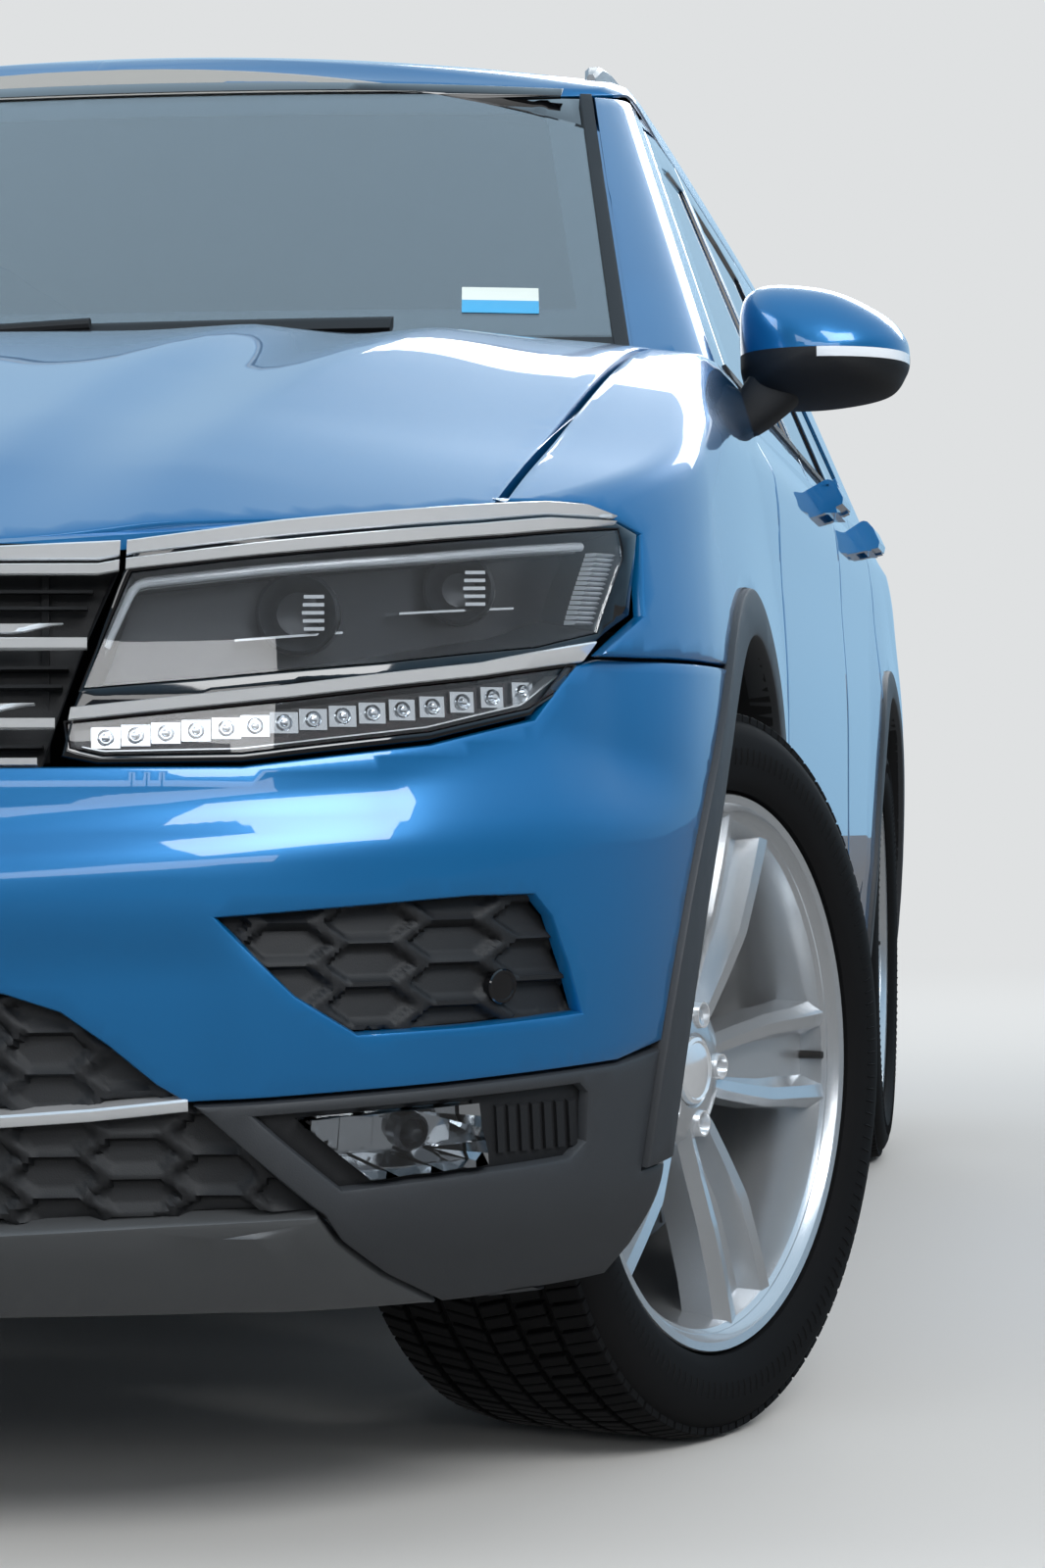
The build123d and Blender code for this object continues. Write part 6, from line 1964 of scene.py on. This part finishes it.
# %% Pad forms
def pad_form(low, high, half_low, half_high, depth, bolster, end_share=0.1, rows=26):
    """A crowned pad from its centre line in the side view; returns the mesh and its frame."""
    low, high = np.array([0.0, *low]), np.array([0.0, *high])
    along = (high - low) / np.linalg.norm(high - low)
    across = np.array([1.0, 0.0, 0.0])
    face = np.cross(across, along)
    sections = []
    for t in np.linspace(0.004, 0.996, rows):
        end = min(t, 1 - t) / end_share
        scale = math.sqrt(max(1 - (1 - min(end, 1)) ** 2, 0.0004))
        w, d = half_low + (half_high - half_low) * t, depth * (0.35 + 0.65 * scale)
        w = w - 0.035 * (1 - scale)
        b = bolster * scale
        half = [(0.0, -0.5 * d), (0.9 * w, -0.46 * d), (w, -0.1 * d), (w, 0.25 * d + b),
                (0.88 * w, 0.46 * d + b),
                (0.66 * w, 0.42 * d + 0.35 * b), (0.34 * w, 0.44 * d), (0.0, 0.45 * d)]
        loop = half + [(-x, n) for x, n in half[-2:0:-1]]
        loop = smooth_loop(loop, 5)
        centre = low + (high - low) * t
        sections.append(centre + loop[:, :1] * across + loop[:, 1:] * face)
    return solid(np.array(sections)), (low, high, along, face)


print("a pad form", len(pad_form((0, 0), (0.5, 0), 0.2, 0.2, 0.1, 0.02)[0][0]), "points")

# %% [markdown]
# ### Cloth pressure
# Foam under cloth bulges between its seams. Pressure on a Cloth body gives that swell, while
# sculpting would have to guess it.

# %% Cloth pressure and sewn channels
def blown_up(mesh, voxel, cap, pressure=4.0):
    """Voxel remesh, Cloth with pressure for 20 frames, capped movement, one smooth subdivision."""
    obj = scratch("pad_start", mesh)
    remesh = obj.modifiers.new("cells", "REMESH")
    remesh.mode, remesh.voxel_size = "VOXEL", voxel
    start = mesh_of(obj)
    bpy.data.objects.remove(obj)
    moved = start
    obj = scratch("pad_cloth", start)
    cloth = obj.modifiers.new("swell", "CLOTH")
    cloth.settings.use_pressure = True
    cloth.settings.uniform_pressure_force = pressure
    cloth.settings.effector_weights.gravity = 0
    cloth.settings.quality = 4
    for frame_number in range(1, 21):
        bpy.context.scene.frame_set(frame_number)
    moved = mesh_of(obj)
    bpy.data.objects.remove(obj)
    bpy.context.scene.frame_set(1)
    shift = moved[0] - start[0]
    length = np.linalg.norm(shift, axis=1)[:, None] + 1e-12
    verts = start[0] + shift * np.minimum(length, cap) / length
    obj = scratch("pad_smooth", (verts, start[1]))
    smooth = obj.modifiers.new("smooth", "SUBSURF")
    smooth.levels = smooth.render_levels = 1
    made = mesh_of(obj)
    bpy.data.objects.remove(obj)
    return made


def sewn(mesh, frame_of, seams, channels, depth=0.006, width=0.009):
    """Channels pressed into the upholstered face, at places across and along the pad."""
    verts = mesh[0].copy()
    low, high, along, face = frame_of
    reach = np.linalg.norm(high - low)
    t = (verts - low) @ along / reach
    n = (verts - low) @ face
    upper = ease(n / 0.02)
    sink = np.zeros(len(verts))
    for at in seams:
        sink = np.maximum(sink, np.exp(-((np.abs(verts[:, 0]) - at) / width) ** 2))
    inner = np.abs(verts[:, 0]) < max(seams)
    for at in channels:
        sink = np.maximum(sink, np.exp(-(((t - at) * reach) / width) ** 2) * inner)
    verts -= face * (sink * upper * depth)[:, None]
    return verts, mesh[1]


print("cloth pressure", "used")

# %% [markdown]
# ### The pads
# Front cushions, backs and headrests are used twice, and the bench has its own wide ones.
# The table holds where each pad lies and where its seams run.

# %% The pads
# columns: low end, high end, half widths, depth, bolster, seams across, channels along
pad_table = {
    "front_cushion": ((-0.15, 0.474), (0.4, 0.462), 0.236, 0.232, 0.112, 0.022, (0.14,), (0.3, 0.52, 0.74)),
    "front_back": ((0.42, 0.52), (0.607, 1.108), 0.232, 0.205, 0.105, 0.026, (0.135,),
                   (0.3, 0.48, 0.66, 0.84)),
    "front_headrest": ((0.645, 1.158), (0.65, 1.286), 0.125, 0.12, 0.07, 0.0, (0.2,), ()),
    "rear_cushion": ((0.775, 0.508), (1.18, 0.49), 0.555, 0.555, 0.12, 0.012, (0.165, 0.48), (0.35, 0.65)),
    "rear_back": ((1.17, 0.6), (1.312, 1.048), 0.555, 0.52, 0.095, 0.01, (0.165, 0.46), (0.3, 0.55, 0.8)),
}
cloth = finish("seat_cloth", "woven_anthracite_seat_cloth", "#34373c", 0.92, grain=0.8, grain_mm=2.2,
               shade="#3d4046",
               Sheen_Weight=0.35)
pads = {}
for name, (low, high, half_low, half_high, depth, bolster, seams, channels) in pad_table.items():
    form, pad_frame = pad_form(low, high, half_low, half_high, depth, bolster)
    cell_size = 0.012 if name.startswith("rear") else 0.011
    swollen = blown_up(form, cell_size, 0.012)
    pads[name] = sewn(swollen, pad_frame, seams, channels)
    print(name, len(pads[name][0]))


def moved_by(mesh, x=0.0, y=0.0, z=0.0):
    """A mesh moved in space."""
    return mesh[0] + np.array([x, y, z]), mesh[1]


seat_x = 0.37
rear_rest = moved_by(pads["front_headrest"], y=0.7, z=-0.086)
pad_pieces = {
    "front_seat_cushions": [moved_by(pads["front_cushion"], x) for x in (-seat_x, seat_x)],
    "front_seat_backs": [moved_by(pads["front_back"], x) for x in (-seat_x, seat_x)],
    "front_headrests": [moved_by(pads["front_headrest"], x) for x in (-seat_x, seat_x)],
    "rear_seat_cushion": [pads["rear_cushion"]],
    "rear_seat_back": [pads["rear_back"]],
    "rear_headrests": [moved_by(rear_rest, x) for x in (-seat_x, 0.0, seat_x)],
}
for name, meshes in pad_pieces.items():
    made = piece(name, joined(*meshes), cloth, "body", sharp=180)

# %% [markdown]
# ### Seat frames
# Under the pads stand a base on two slide rails, side valances and the bench box.
# Every headrest has two plated posts.

# %% Seat frames and headrest posts
frames = []
for x in (-seat_x, seat_x):
    frames += [block((x - 0.205, x + 0.205), (-0.115, 0.395), (0.3, 0.42)),
               block((x - 0.19, x - 0.15), (-0.165, 0.47), (0.286, 0.302)),
               block((x + 0.15, x + 0.19), (-0.165, 0.47), (0.286, 0.302)),
               block((x + 0.228, x + 0.247), (-0.1, 0.45), (0.385, 0.462)),
               block((x - 0.247, x - 0.228), (-0.1, 0.45), (0.385, 0.462))]
frames.append(block((-0.575, 0.575), (0.77, 1.205), (0.286, 0.452)))
piece("seat_frames", joined(*frames), plastic, "body", "seats", flat=True)
posts = [tube([(x + dx, y, z0), (x + dx, y + 0.001, (z0 + z1) / 2), (x + dx, y, z1)], 0.006)
         for x, y, z0, z1 in ((-seat_x, 0.64, 1.09, 1.19), (seat_x, 0.64, 1.09, 1.19),
                              (-seat_x, 1.34, 1.02, 1.105),
                              (0.0, 1.34, 1.02, 1.105), (seat_x, 1.34, 1.02, 1.105))
                              for dx in (-0.055, 0.055)]
piece("headrest_posts", joined(*posts), chrome, "body")

# %% [markdown]
# ## Cabin trim
# Door cards line the doors, the steering wheel has a round leather rim with a plain pad,
# and the dashboard carries an instrument hood, a dark screen and air vents.

# %% Steering wheel
wheel_centre, column_axis = (-0.37, -0.44, 0.96), (0.0, math.cos(math.radians(25)),
                                                   math.sin(math.radians(25)))
rim_radius, grip_radius, around, across = 0.185, 0.0155, 64, 14
t = np.arange(around) * 2 * np.pi / around
c = np.arange(across) * 2 * np.pi / across
rim_verts = np.array([[grip_radius * math.cos(b), (rim_radius + grip_radius * math.sin(b)) * math.cos(a),
                       (rim_radius + grip_radius * math.sin(b)) * math.sin(a)] for a in t for b in c])
rim_faces = []
for i in range(around):
    here, there = i * across, (i + 1) % around * across
    rim_faces += [(here + k, here + (k + 1) % across, there + (k + 1) % across, there + k)
                  for k in range(across)]
wheel_rim = outward_faces((rim_verts, rim_faces))
arms_of_wheel = []
for turn in (90, -90, 180):
    a = math.radians(turn)
    rows = []
    for r, w in ((0.045, 0.026), (0.11, 0.019), (0.178, 0.017)):
        rows.append([(x, r * math.sin(a) + s * w * math.cos(a), r * math.cos(a) - s * w * math.sin(a))
                     for x, s in ((-0.018, -1), (-0.004, -1), (-0.004, 1), (-0.018, 1))])
    arms_of_wheel.append(solid(rows))
hub_pad = turned([(-0.043, 0.05), (-0.02, 0.066), (-0.002, 0.064), (0.003, 0.054), (0.0045, 0.0)], 40,
                 closed=False)
hub_trim = turned([(-0.004, 0.07), (0.0005, 0.069), (0.001, 0.0655), (-0.004, 0.065)], 48)
piece("steering_wheel_rim", aimed(joined(wheel_rim, hub_pad, *arms_of_wheel), wheel_centre, column_axis),
      leather,
      "steering_wheel", "steering_wheel")
piece("steering_wheel_trim", aimed(hub_trim, wheel_centre, column_axis), satin, "steering_wheel")

# %% [markdown]
# ### Dashboard and console
# Hood, screen, dials, vents and bezels stand on the CAD dashboard, turned a little upward to
# the driver. They are plain bodies, since they are seen only through the glass.

# %% Dashboard and console
to_driver = (0, 1, 0.28)
hood_rows = []
for x in np.linspace(-0.53, -0.21, 17):
    rise = 0.02 * (1 - ((x + 0.37) / 0.165) ** 4)
    hood_rows.append([(x, -0.8, 1.07), (x, -0.64, 1.04 + rise), (x, -0.585, 1.02 + rise), (x, -0.59, 1.005),
                      (x, -0.76, 1.04)])
binnacle = solid(hood_rows)
screen = aimed(block((0.0, 0.012), (-0.125, 0.125), (-0.07, 0.07)), (0.0, -0.584, 0.93), to_driver)
dials = [aimed(turned([(0.0, 0.052), (0.006, 0.052), (0.006, 0.048), (0.001, 0.047), (0.001, 0.0)], 40,
                      closed=False),
               (x, -0.606, 0.985), (0, 1, 0.3)) for x in (-0.445, -0.295)]
vents = []
for x in (-0.63, -0.165, 0.165, 0.63):
    for k in range(5):
        vents.append(aimed(block((0.0, 0.008), (-0.055, 0.055), (-0.002, 0.002)),
                           (x, -0.594, 0.975 + 0.012 * (k - 2)),
                           to_driver))
piece("dashboard_hood", joined(binnacle, *vents), dash_plastic, "body")
piece("dashboard_screens", joined(screen, *dials), gloss_black, "body")
bezels = []
for x, w, h, y, z in ((0.0, 0.13, 0.075, -0.586, 0.93), (-0.165, 0.062, 0.034, -0.597, 0.975),
                      (0.165, 0.062, 0.034, -0.597, 0.975), (-0.63, 0.062, 0.034, -0.597, 0.975),
                      (0.63, 0.062, 0.034, -0.597, 0.975)):
    for a, b in (((-w, -h), (w, -h)), ((w, -h), (w, h)), ((w, h), (-w, h)), ((-w, h), (-w, -h))):
        bar = block((0.0, 0.01), (min(a[0], b[0]) - 0.002, max(a[0], b[0]) + 0.002),
                    (min(a[1], b[1]) - 0.002, max(a[1], b[1]) + 0.002))
        bezels.append(aimed(bar, (x, y, z), to_driver))
piece("dashboard_bezels", joined(*bezels), satin, "body", flat=True)
gaiter = aimed(turned([(0.0, 0.05), (0.02, 0.04), (0.045, 0.022), (0.05, 0.01), (0.095, 0.009), (0.1, 0.018),
                       (0.125, 0.022), (0.14, 0.017), (0.146, 0.0)], 28, closed=False), (0.0, -0.25, 0.625),
                       (0, -0.15, 1),
               upward=(1, 0, 0))
console = [block((-0.1, 0.1), (-0.18, 0.235), (0.622, 0.632)),
           block((-0.09, 0.09), (0.02, 0.23), (0.632, 0.69))]
piece("gear_lever", gaiter, leather, "body")
piece("centre_console_top", joined(*console), dash_plastic, "body")

# %% [markdown]
# ### Door cards
# A door card is a sheet set in from the outer wall, with an arm rest along it.
# It uses the same board as the outer skin, at a greater depth.

# %% Door cards
card_shapes = {
    "front": ((-0.795, 0.36), (0.205, 0.36), (0.215, 1.06), (-0.79, 1.04)),
    "rear": ((0.3, 0.36), (0.8, 0.36), (0.86, 0.64), (1.03, 0.86), (1.04, 1.06), (0.3, 1.06)),
}
for place, shape in card_shapes.items():
    card = cover(wall, loop_of(on_side, shape, 0.02), 0.01, -0.108, 0.04)
    rest_y = (-0.45, 0.1) if place == "front" else (0.42, 0.86)
    arm_rest = side_ribbon(((rest_y[0], 0.69), (rest_y[1], 0.7)), ((rest_y[0], 0.735), (rest_y[1], 0.745)),
                           ((0, -0.112), (0.0, -0.155), (0.2, -0.172), (0.8, -0.172), (1, -0.16),
                            (1, -0.112)), 20)
    pair(f"door_{place}_SIDE_card", joined(card, arm_rest), dash_plastic, f"door_{place}_SIDE")

# %% [markdown]
# ## Tail details
# The photograph shows no tail, so it gets only what such a car has there: lamp units with
# light bars, a black edge and a wiper on the glass, a brake lamp under the spoiler,
# reflectors, tailpipe finishers and a small aerial fin. No plate or badge is added.


# %% Lamp lenses and light bars on the tail
def back_ribbon(lower, upper, profile, count=60):
    """A moulding between two back view lines."""
    return solid(ribbon_rows(on_back, lower, upper, profile, count))


raised_bar = ((0, -0.002), (0, 0.0015), (0.15, 0.0035), (0.85, 0.0035), (1, 0.0015), (1, -0.002))
gate_lens = loop_of(on_back, [(0.44, 0.912), (0.607, 0.908), (0.612, 1.028), (0.47, 1.016)])
piece("tailgate_lamp_lenses",
      both(panel_mesh(wall, gate_lens, step=0.02, roll=0.003, depth=0.004, lift=0.0022)), red_lens,
      "tailgate")
bright_red = finish("lamp_red", "bright_red_light_guide", "#c8141e", 0.12, shade="#b8101a", Coat_Weight=0.8)
for body, start, stop in (("body", 0.662, 0.782), ("tailgate", 0.474, 0.598)):
    bars = [back_ribbon(((start, z), (stop, z + 0.004)), ((start, z + 0.011), (stop, z + 0.015)),
                        raised_bar, 24)
            for z in (0.93, 0.962, 0.994)]
    piece(f"rear_lamp_bars_on_{body}", both(joined(*bars)), bright_red, body)

# %% [markdown]
# ### Rear glass and tailgate mouldings
# The rear glass has a printed border and a wiper whose blade lies along its lower edge.
# The brake lamp, the handle strip and the reflectors are mouldings between two lines.

# %% Rear glass edge, wiper and mouldings
glass_inner = ((0.0, 1.148), (0.562, 1.148), (0.494, 1.418), (0.0, 1.418))
border = panel_mesh(wall, back_whole(rear_glass), [back_whole(glass_inner)], step=0.03, roll=0.001,
                    depth=0.002, lift=0.0006)
piece("rear_glass_black_border", border, gloss_black, "tailgate")
blade_profile = ((0, 0.002), (0, 0.01), (0.5, 0.015), (1, 0.01), (1, 0.002))
arm_profile = ((0, 0.012), (0.1, 0.018), (0.9, 0.018), (1, 0.012))
pivot = lifted(wall, on_back([(0.0, 1.128)]), 0.0)[0]
wiper_cap = aimed(turned([(0.0, 0.026), (0.016, 0.022), (0.021, 0.012), (0.022, 0.0)], 28, closed=False),
                  pivot, (0, 1, 0.45))
rear_wiper = joined(back_ribbon(((0.395, 1.152), (0.045, 1.146)), ((0.395, 1.161), (0.045, 1.156)),
                                blade_profile),
                    back_ribbon(((0.225, 1.15), (0.0, 1.12)), ((0.225, 1.159), (0.0, 1.137)), arm_profile),
                    wiper_cap)
piece("rear_wiper", rear_wiper, plastic, "tailgate")
piece("high_brake_lamp", block((-0.16, 0.16), (2.005, 2.009), (1.538, 1.55)), bright_red, "tailgate")
handle_strip = back_ribbon(((-0.26, 0.846), (0.26, 0.846)), ((-0.26, 0.876), (0.26, 0.876)),
                           ((0, -0.003), (0, 0.004), (0.2, 0.01), (0.8, 0.012), (1, 0.006), (1, -0.003)))
piece("tailgate_handle_strip", handle_strip, gloss_black, "tailgate")
reflectors = back_ribbon(((0.5, 0.352), (0.735, 0.356)), ((0.5, 0.374), (0.735, 0.378)),
                         ((0, 0.001), (0, 0.0065), (0.2, 0.0095), (0.8, 0.0095), (1, 0.0065), (1, 0.001)))
piece("bumper_reflectors", both(reflectors), red_lens, "body")

# %% [markdown]
# ### Small parts of the tail and roof
# Tailpipe finishers frame a dark recess. The fin is a loft of four-cornered sections.
# The fuel flap is a panel of its own with a rolled edge, on the right quarter.

# %% Skid strip, tailpipes, aerial fin and fuel flap
rear_skid = panel_mesh(wall, back_whole(((0.0, 0.222), (0.44, 0.222), (0.41, 0.292), (0.0, 0.292))),
                       step=0.03, roll=0.004,
                       depth=0.012, lift=0.006)
piece("rear_skid_strip", rear_skid, skid_satin, "body")
pipe_outer = loop_of(on_back, [(0.482, 0.228), (0.668, 0.232), (0.684, 0.29), (0.466, 0.288)])
pipe_inner = loop_of(on_back, [(0.498, 0.24), (0.656, 0.243), (0.668, 0.279), (0.484, 0.278)])
finisher = panel_mesh(wall, pipe_outer, [pipe_inner], step=0.02, roll=0.003, depth=0.02, lift=0.01)
piece("tailpipe_finishers", both(finisher), chrome, "body")
piece("tailpipe_openings",
      both(panel_mesh(wall, pipe_inner, step=0.02, roll=0.002, depth=0.006, lift=0.0012)),
      gloss_black, "body")
# columns: place along the car, half width, height
fin_stations = ((1.52, 0.006, 0.003), (1.56, 0.018, 0.014), (1.61, 0.024, 0.028), (1.655, 0.022, 0.038),
                (1.675, 0.012, 0.036))
fin = solid([[(half, y, 0.0), (half * 0.6, y + 0.01, rise), (-half * 0.6, y + 0.01, rise), (-half, y, 0.0)]
             for y, half, rise in fin_stations])
fin_foot = float(roof_height(np.array([0.0]), np.array([1.6]))[0]) - 0.004
piece("aerial_fin", moved_by(fin, z=fin_foot), paint, "body")
flap = panel_mesh(wall, loop_of(on_side, [(1.33, 0.88), (1.48, 0.884), (1.474, 1.02), (1.326, 1.016)]),
                  step=0.02, roll=0.002,
                  depth=0.003, lift=0.0014)
piece("fuel_flap", mirrored(flap), paint, "body")

# %% [markdown]
# ## Finishes of the CAD nodes
# CAD pieces whose shape is right stay, with a better finish.
# A part's group gives the rest: doors are painted, glass is tinted, tyres are rubber.

# %% CAD node finishes
node_finish = {
    "floor_pan": carpet, "side_frame_left": paint, "side_frame_right": paint, "roof_panel": headliner,
    "roof_rails": satin, "wheel_arches": plastic, "windscreen": screen_glass, "quarter_glass": privacy_glass,
    "cowl": plastic, "seats": carpet, "dashboard": dash_plastic, "engine": plastic,
    "front_suspension": dark_metal,
    "rear_suspension": dark_metal, "underbody": plastic, "hood": paint, "tailgate": paint,
    "tailgate_glass": privacy_glass, "steering_wheel": leather, "mirror_left": gloss_black,
    "mirror_right": gloss_black,
}
for name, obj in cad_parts.items():
    made = node_finish.get(name)
    if made is None:
        made = (pane_glass if "front_glass" in name else privacy_glass if "glass" in name else
                paint if name.startswith("door") else rubber if name.startswith("tyre") else
                alloy_grey if name.startswith("wheel") else dark_metal
                if name.startswith("knuckle") else plastic)
    obj.data.materials.clear()
    obj.data.materials.append(made)
print("node finishes", len(node_finish), "named, the rest by group")

# %% [markdown]
# ## The stage
# The floor is plain and pale. Three large soft lamps light the paint from both sides and the back,
# and a wide, dim strip in front draws the line that runs over the nose.
# The sky has one look for mirror-like surfaces and one for the eye, split by the kind of ray.


# %% Lamps
def soft_lamp(name, place, target, size, power):
    """A rectangular area lamp that looks at a target."""
    lamp_data = bpy.data.lights.new(name, "AREA")
    lamp_data.shape = "RECTANGLE"
    lamp_data.size, lamp_data.size_y = size
    lamp_data.energy = power
    lamp = bpy.data.objects.new(name, lamp_data)
    bpy.context.scene.collection.objects.link(lamp)
    lamp.location = place
    lamp.rotation_euler = (Vector(target) - Vector(place)).to_track_quat("-Z", "Y").to_euler()


soft_lamp("key_softbox", (4.5, -7.0, 5.5), (0, -1, 0.6), (5, 3), 420)
soft_lamp("fill_softbox", (-7.0, -3.0, 4.0), (0, 0, 0.6), (5, 3), 230)
soft_lamp("back_softbox", (2.0, 8.0, 5.0), (0, 1, 0.8), (6, 3), 260)
soft_lamp("front_strip", (0.5, -9.5, 2.9), (0.0, -2.0, 0.8), (9, 1.2), 120)
print("four soft lamps")

# %% [markdown]
# ### The sky
# Glossy rays see a blue ramp, which gives the paint its cool sheen; the eye sees a pale backdrop.
# A mix by ray type keeps both without a picture file.

# %% Sky
backdrop_colour = colour("#dfe1e2")
world = bpy.data.worlds.new("studio")
world.use_nodes = True
bpy.context.scene.world = world
tree = world.node_tree
sky = tree.nodes["Background"]
place = node(tree, "ShaderNodeTexCoord").outputs["Generated"]
height = node(tree, "ShaderNodeSeparateXYZ", {"Vector": place})
ramp = node(tree, "ShaderNodeValToRGB", {"Fac": height.outputs["Z"]})
behind = node(tree, "ShaderNodeMath", {0: height.outputs["Y"], 2: height.outputs["Z"]},
              operation="MULTIPLY_ADD")
behind.inputs[1].default_value = 0.35
sheen = node(tree, "ShaderNodeValToRGB", {"Fac": behind.outputs[0]})
sheen.color_ramp.elements[0].color = colour("#65707b")
sheen.color_ramp.elements[1].color = colour("#c4e2f8")
sheen.color_ramp.elements[1].position = 0.75
middle = sheen.color_ramp.elements.new(0.3)
middle.color = colour("#94c0e0")
ramp.color_ramp.elements[0].color = colour("#a9b4bf")
ramp.color_ramp.elements[1].color = colour("#eef4fa")
ramp.color_ramp.elements[1].position = 0.7
tree.links.new(ramp.outputs["Color"], sky.inputs["Color"])
sky.inputs["Strength"].default_value = 0.66
rays = node(tree, "ShaderNodeLightPath")
backdrop = node(tree, "ShaderNodeBackground", Strength=1.0)
backdrop.inputs["Color"].default_value = backdrop_colour
mirrored_sky = node(tree, "ShaderNodeBackground", {"Color": sheen.outputs["Color"]}, Strength=1.0)
glossy = node(tree, "ShaderNodeMixShader",
              {0: rays.outputs["Is Glossy Ray"], 1: sky.outputs[0], 2: mirrored_sky.outputs[0]})
seen = node(tree, "ShaderNodeMath",
            {0: rays.outputs["Is Camera Ray"], 1: rays.outputs["Is Transmission Ray"]},
            operation="MAXIMUM")
shown = node(tree, "ShaderNodeMixShader", {0: seen.outputs[0], 1: glossy.outputs[0], 2: backdrop.outputs[0]})
tree.links.new(shown.outputs[0], tree.nodes["World Output"].inputs["Surface"])
print("sky nodes", len(tree.nodes))

# %% [markdown]
# ### The floor
# Near the car the floor takes shadows; farther out it fades into the backdrop.
# Mirror-like parts see a fixed dark grey in its place: a painted dark reflection, standing in for shaded
# ground.

# %% Floor
floor_material = bpy.data.materials.new("pale_matt_floor")
floor_material.use_nodes = True
floor_tree = floor_material.node_tree
floor_shader = floor_tree.nodes["Principled BSDF"]
floor_shader.inputs["Base Color"].default_value = colour("#d6d5d2")
floor_shader.inputs["Roughness"].default_value = 0.85
spot = node(floor_tree, "ShaderNodeTexCoord").outputs["Object"]
reach = node(floor_tree, "ShaderNodeVectorMath", {0: spot}, operation="LENGTH")
fade = node(floor_tree, "ShaderNodeMapRange", {"Value": reach.outputs["Value"]},
            interpolation_type="SMOOTHSTEP")
fade.inputs["From Min"].default_value, fade.inputs["From Max"].default_value = 3.5, 9.0
floor_rays = node(floor_tree, "ShaderNodeLightPath")
far_share = node(floor_tree, "ShaderNodeMath",
                 {0: fade.outputs["Result"], 1: floor_rays.outputs["Is Camera Ray"]},
                 operation="MULTIPLY")
far_floor = node(floor_tree, "ShaderNodeEmission", Strength=1.0)
far_floor.inputs["Color"].default_value = backdrop_colour
# painted dark reflection: glossy rays see this fixed grey emission instead of the lit floor
painted_dark_reflection = node(floor_tree, "ShaderNodeEmission", Strength=1.0)
painted_dark_reflection.inputs["Color"].default_value = colour("#7a7b7c")
whole_floor = node(floor_tree, "ShaderNodeMixShader",
                   {0: far_share.outputs[0], 1: floor_shader.outputs[0], 2: far_floor.outputs[0]})
mirrored_floor = node(floor_tree, "ShaderNodeMixShader",
                      {0: floor_rays.outputs["Is Glossy Ray"], 1: whole_floor.outputs[0],
                       2: painted_dark_reflection.outputs[0]})
floor_tree.links.new(mirrored_floor.outputs[0], floor_tree.nodes["Material Output"].inputs["Surface"])
floor_data = bpy.data.meshes.new("floor")
floor_data.from_pydata([(-40, -40, 0), (40, -40, 0), (40, 40, 0), (-40, 40, 0)], [], [(0, 1, 2, 3)])
floor_data.materials.append(floor_material)
floor = bpy.data.objects.new("floor", floor_data)
bpy.context.scene.collection.objects.link(floor)
print("floor nodes", len(floor_tree.nodes))
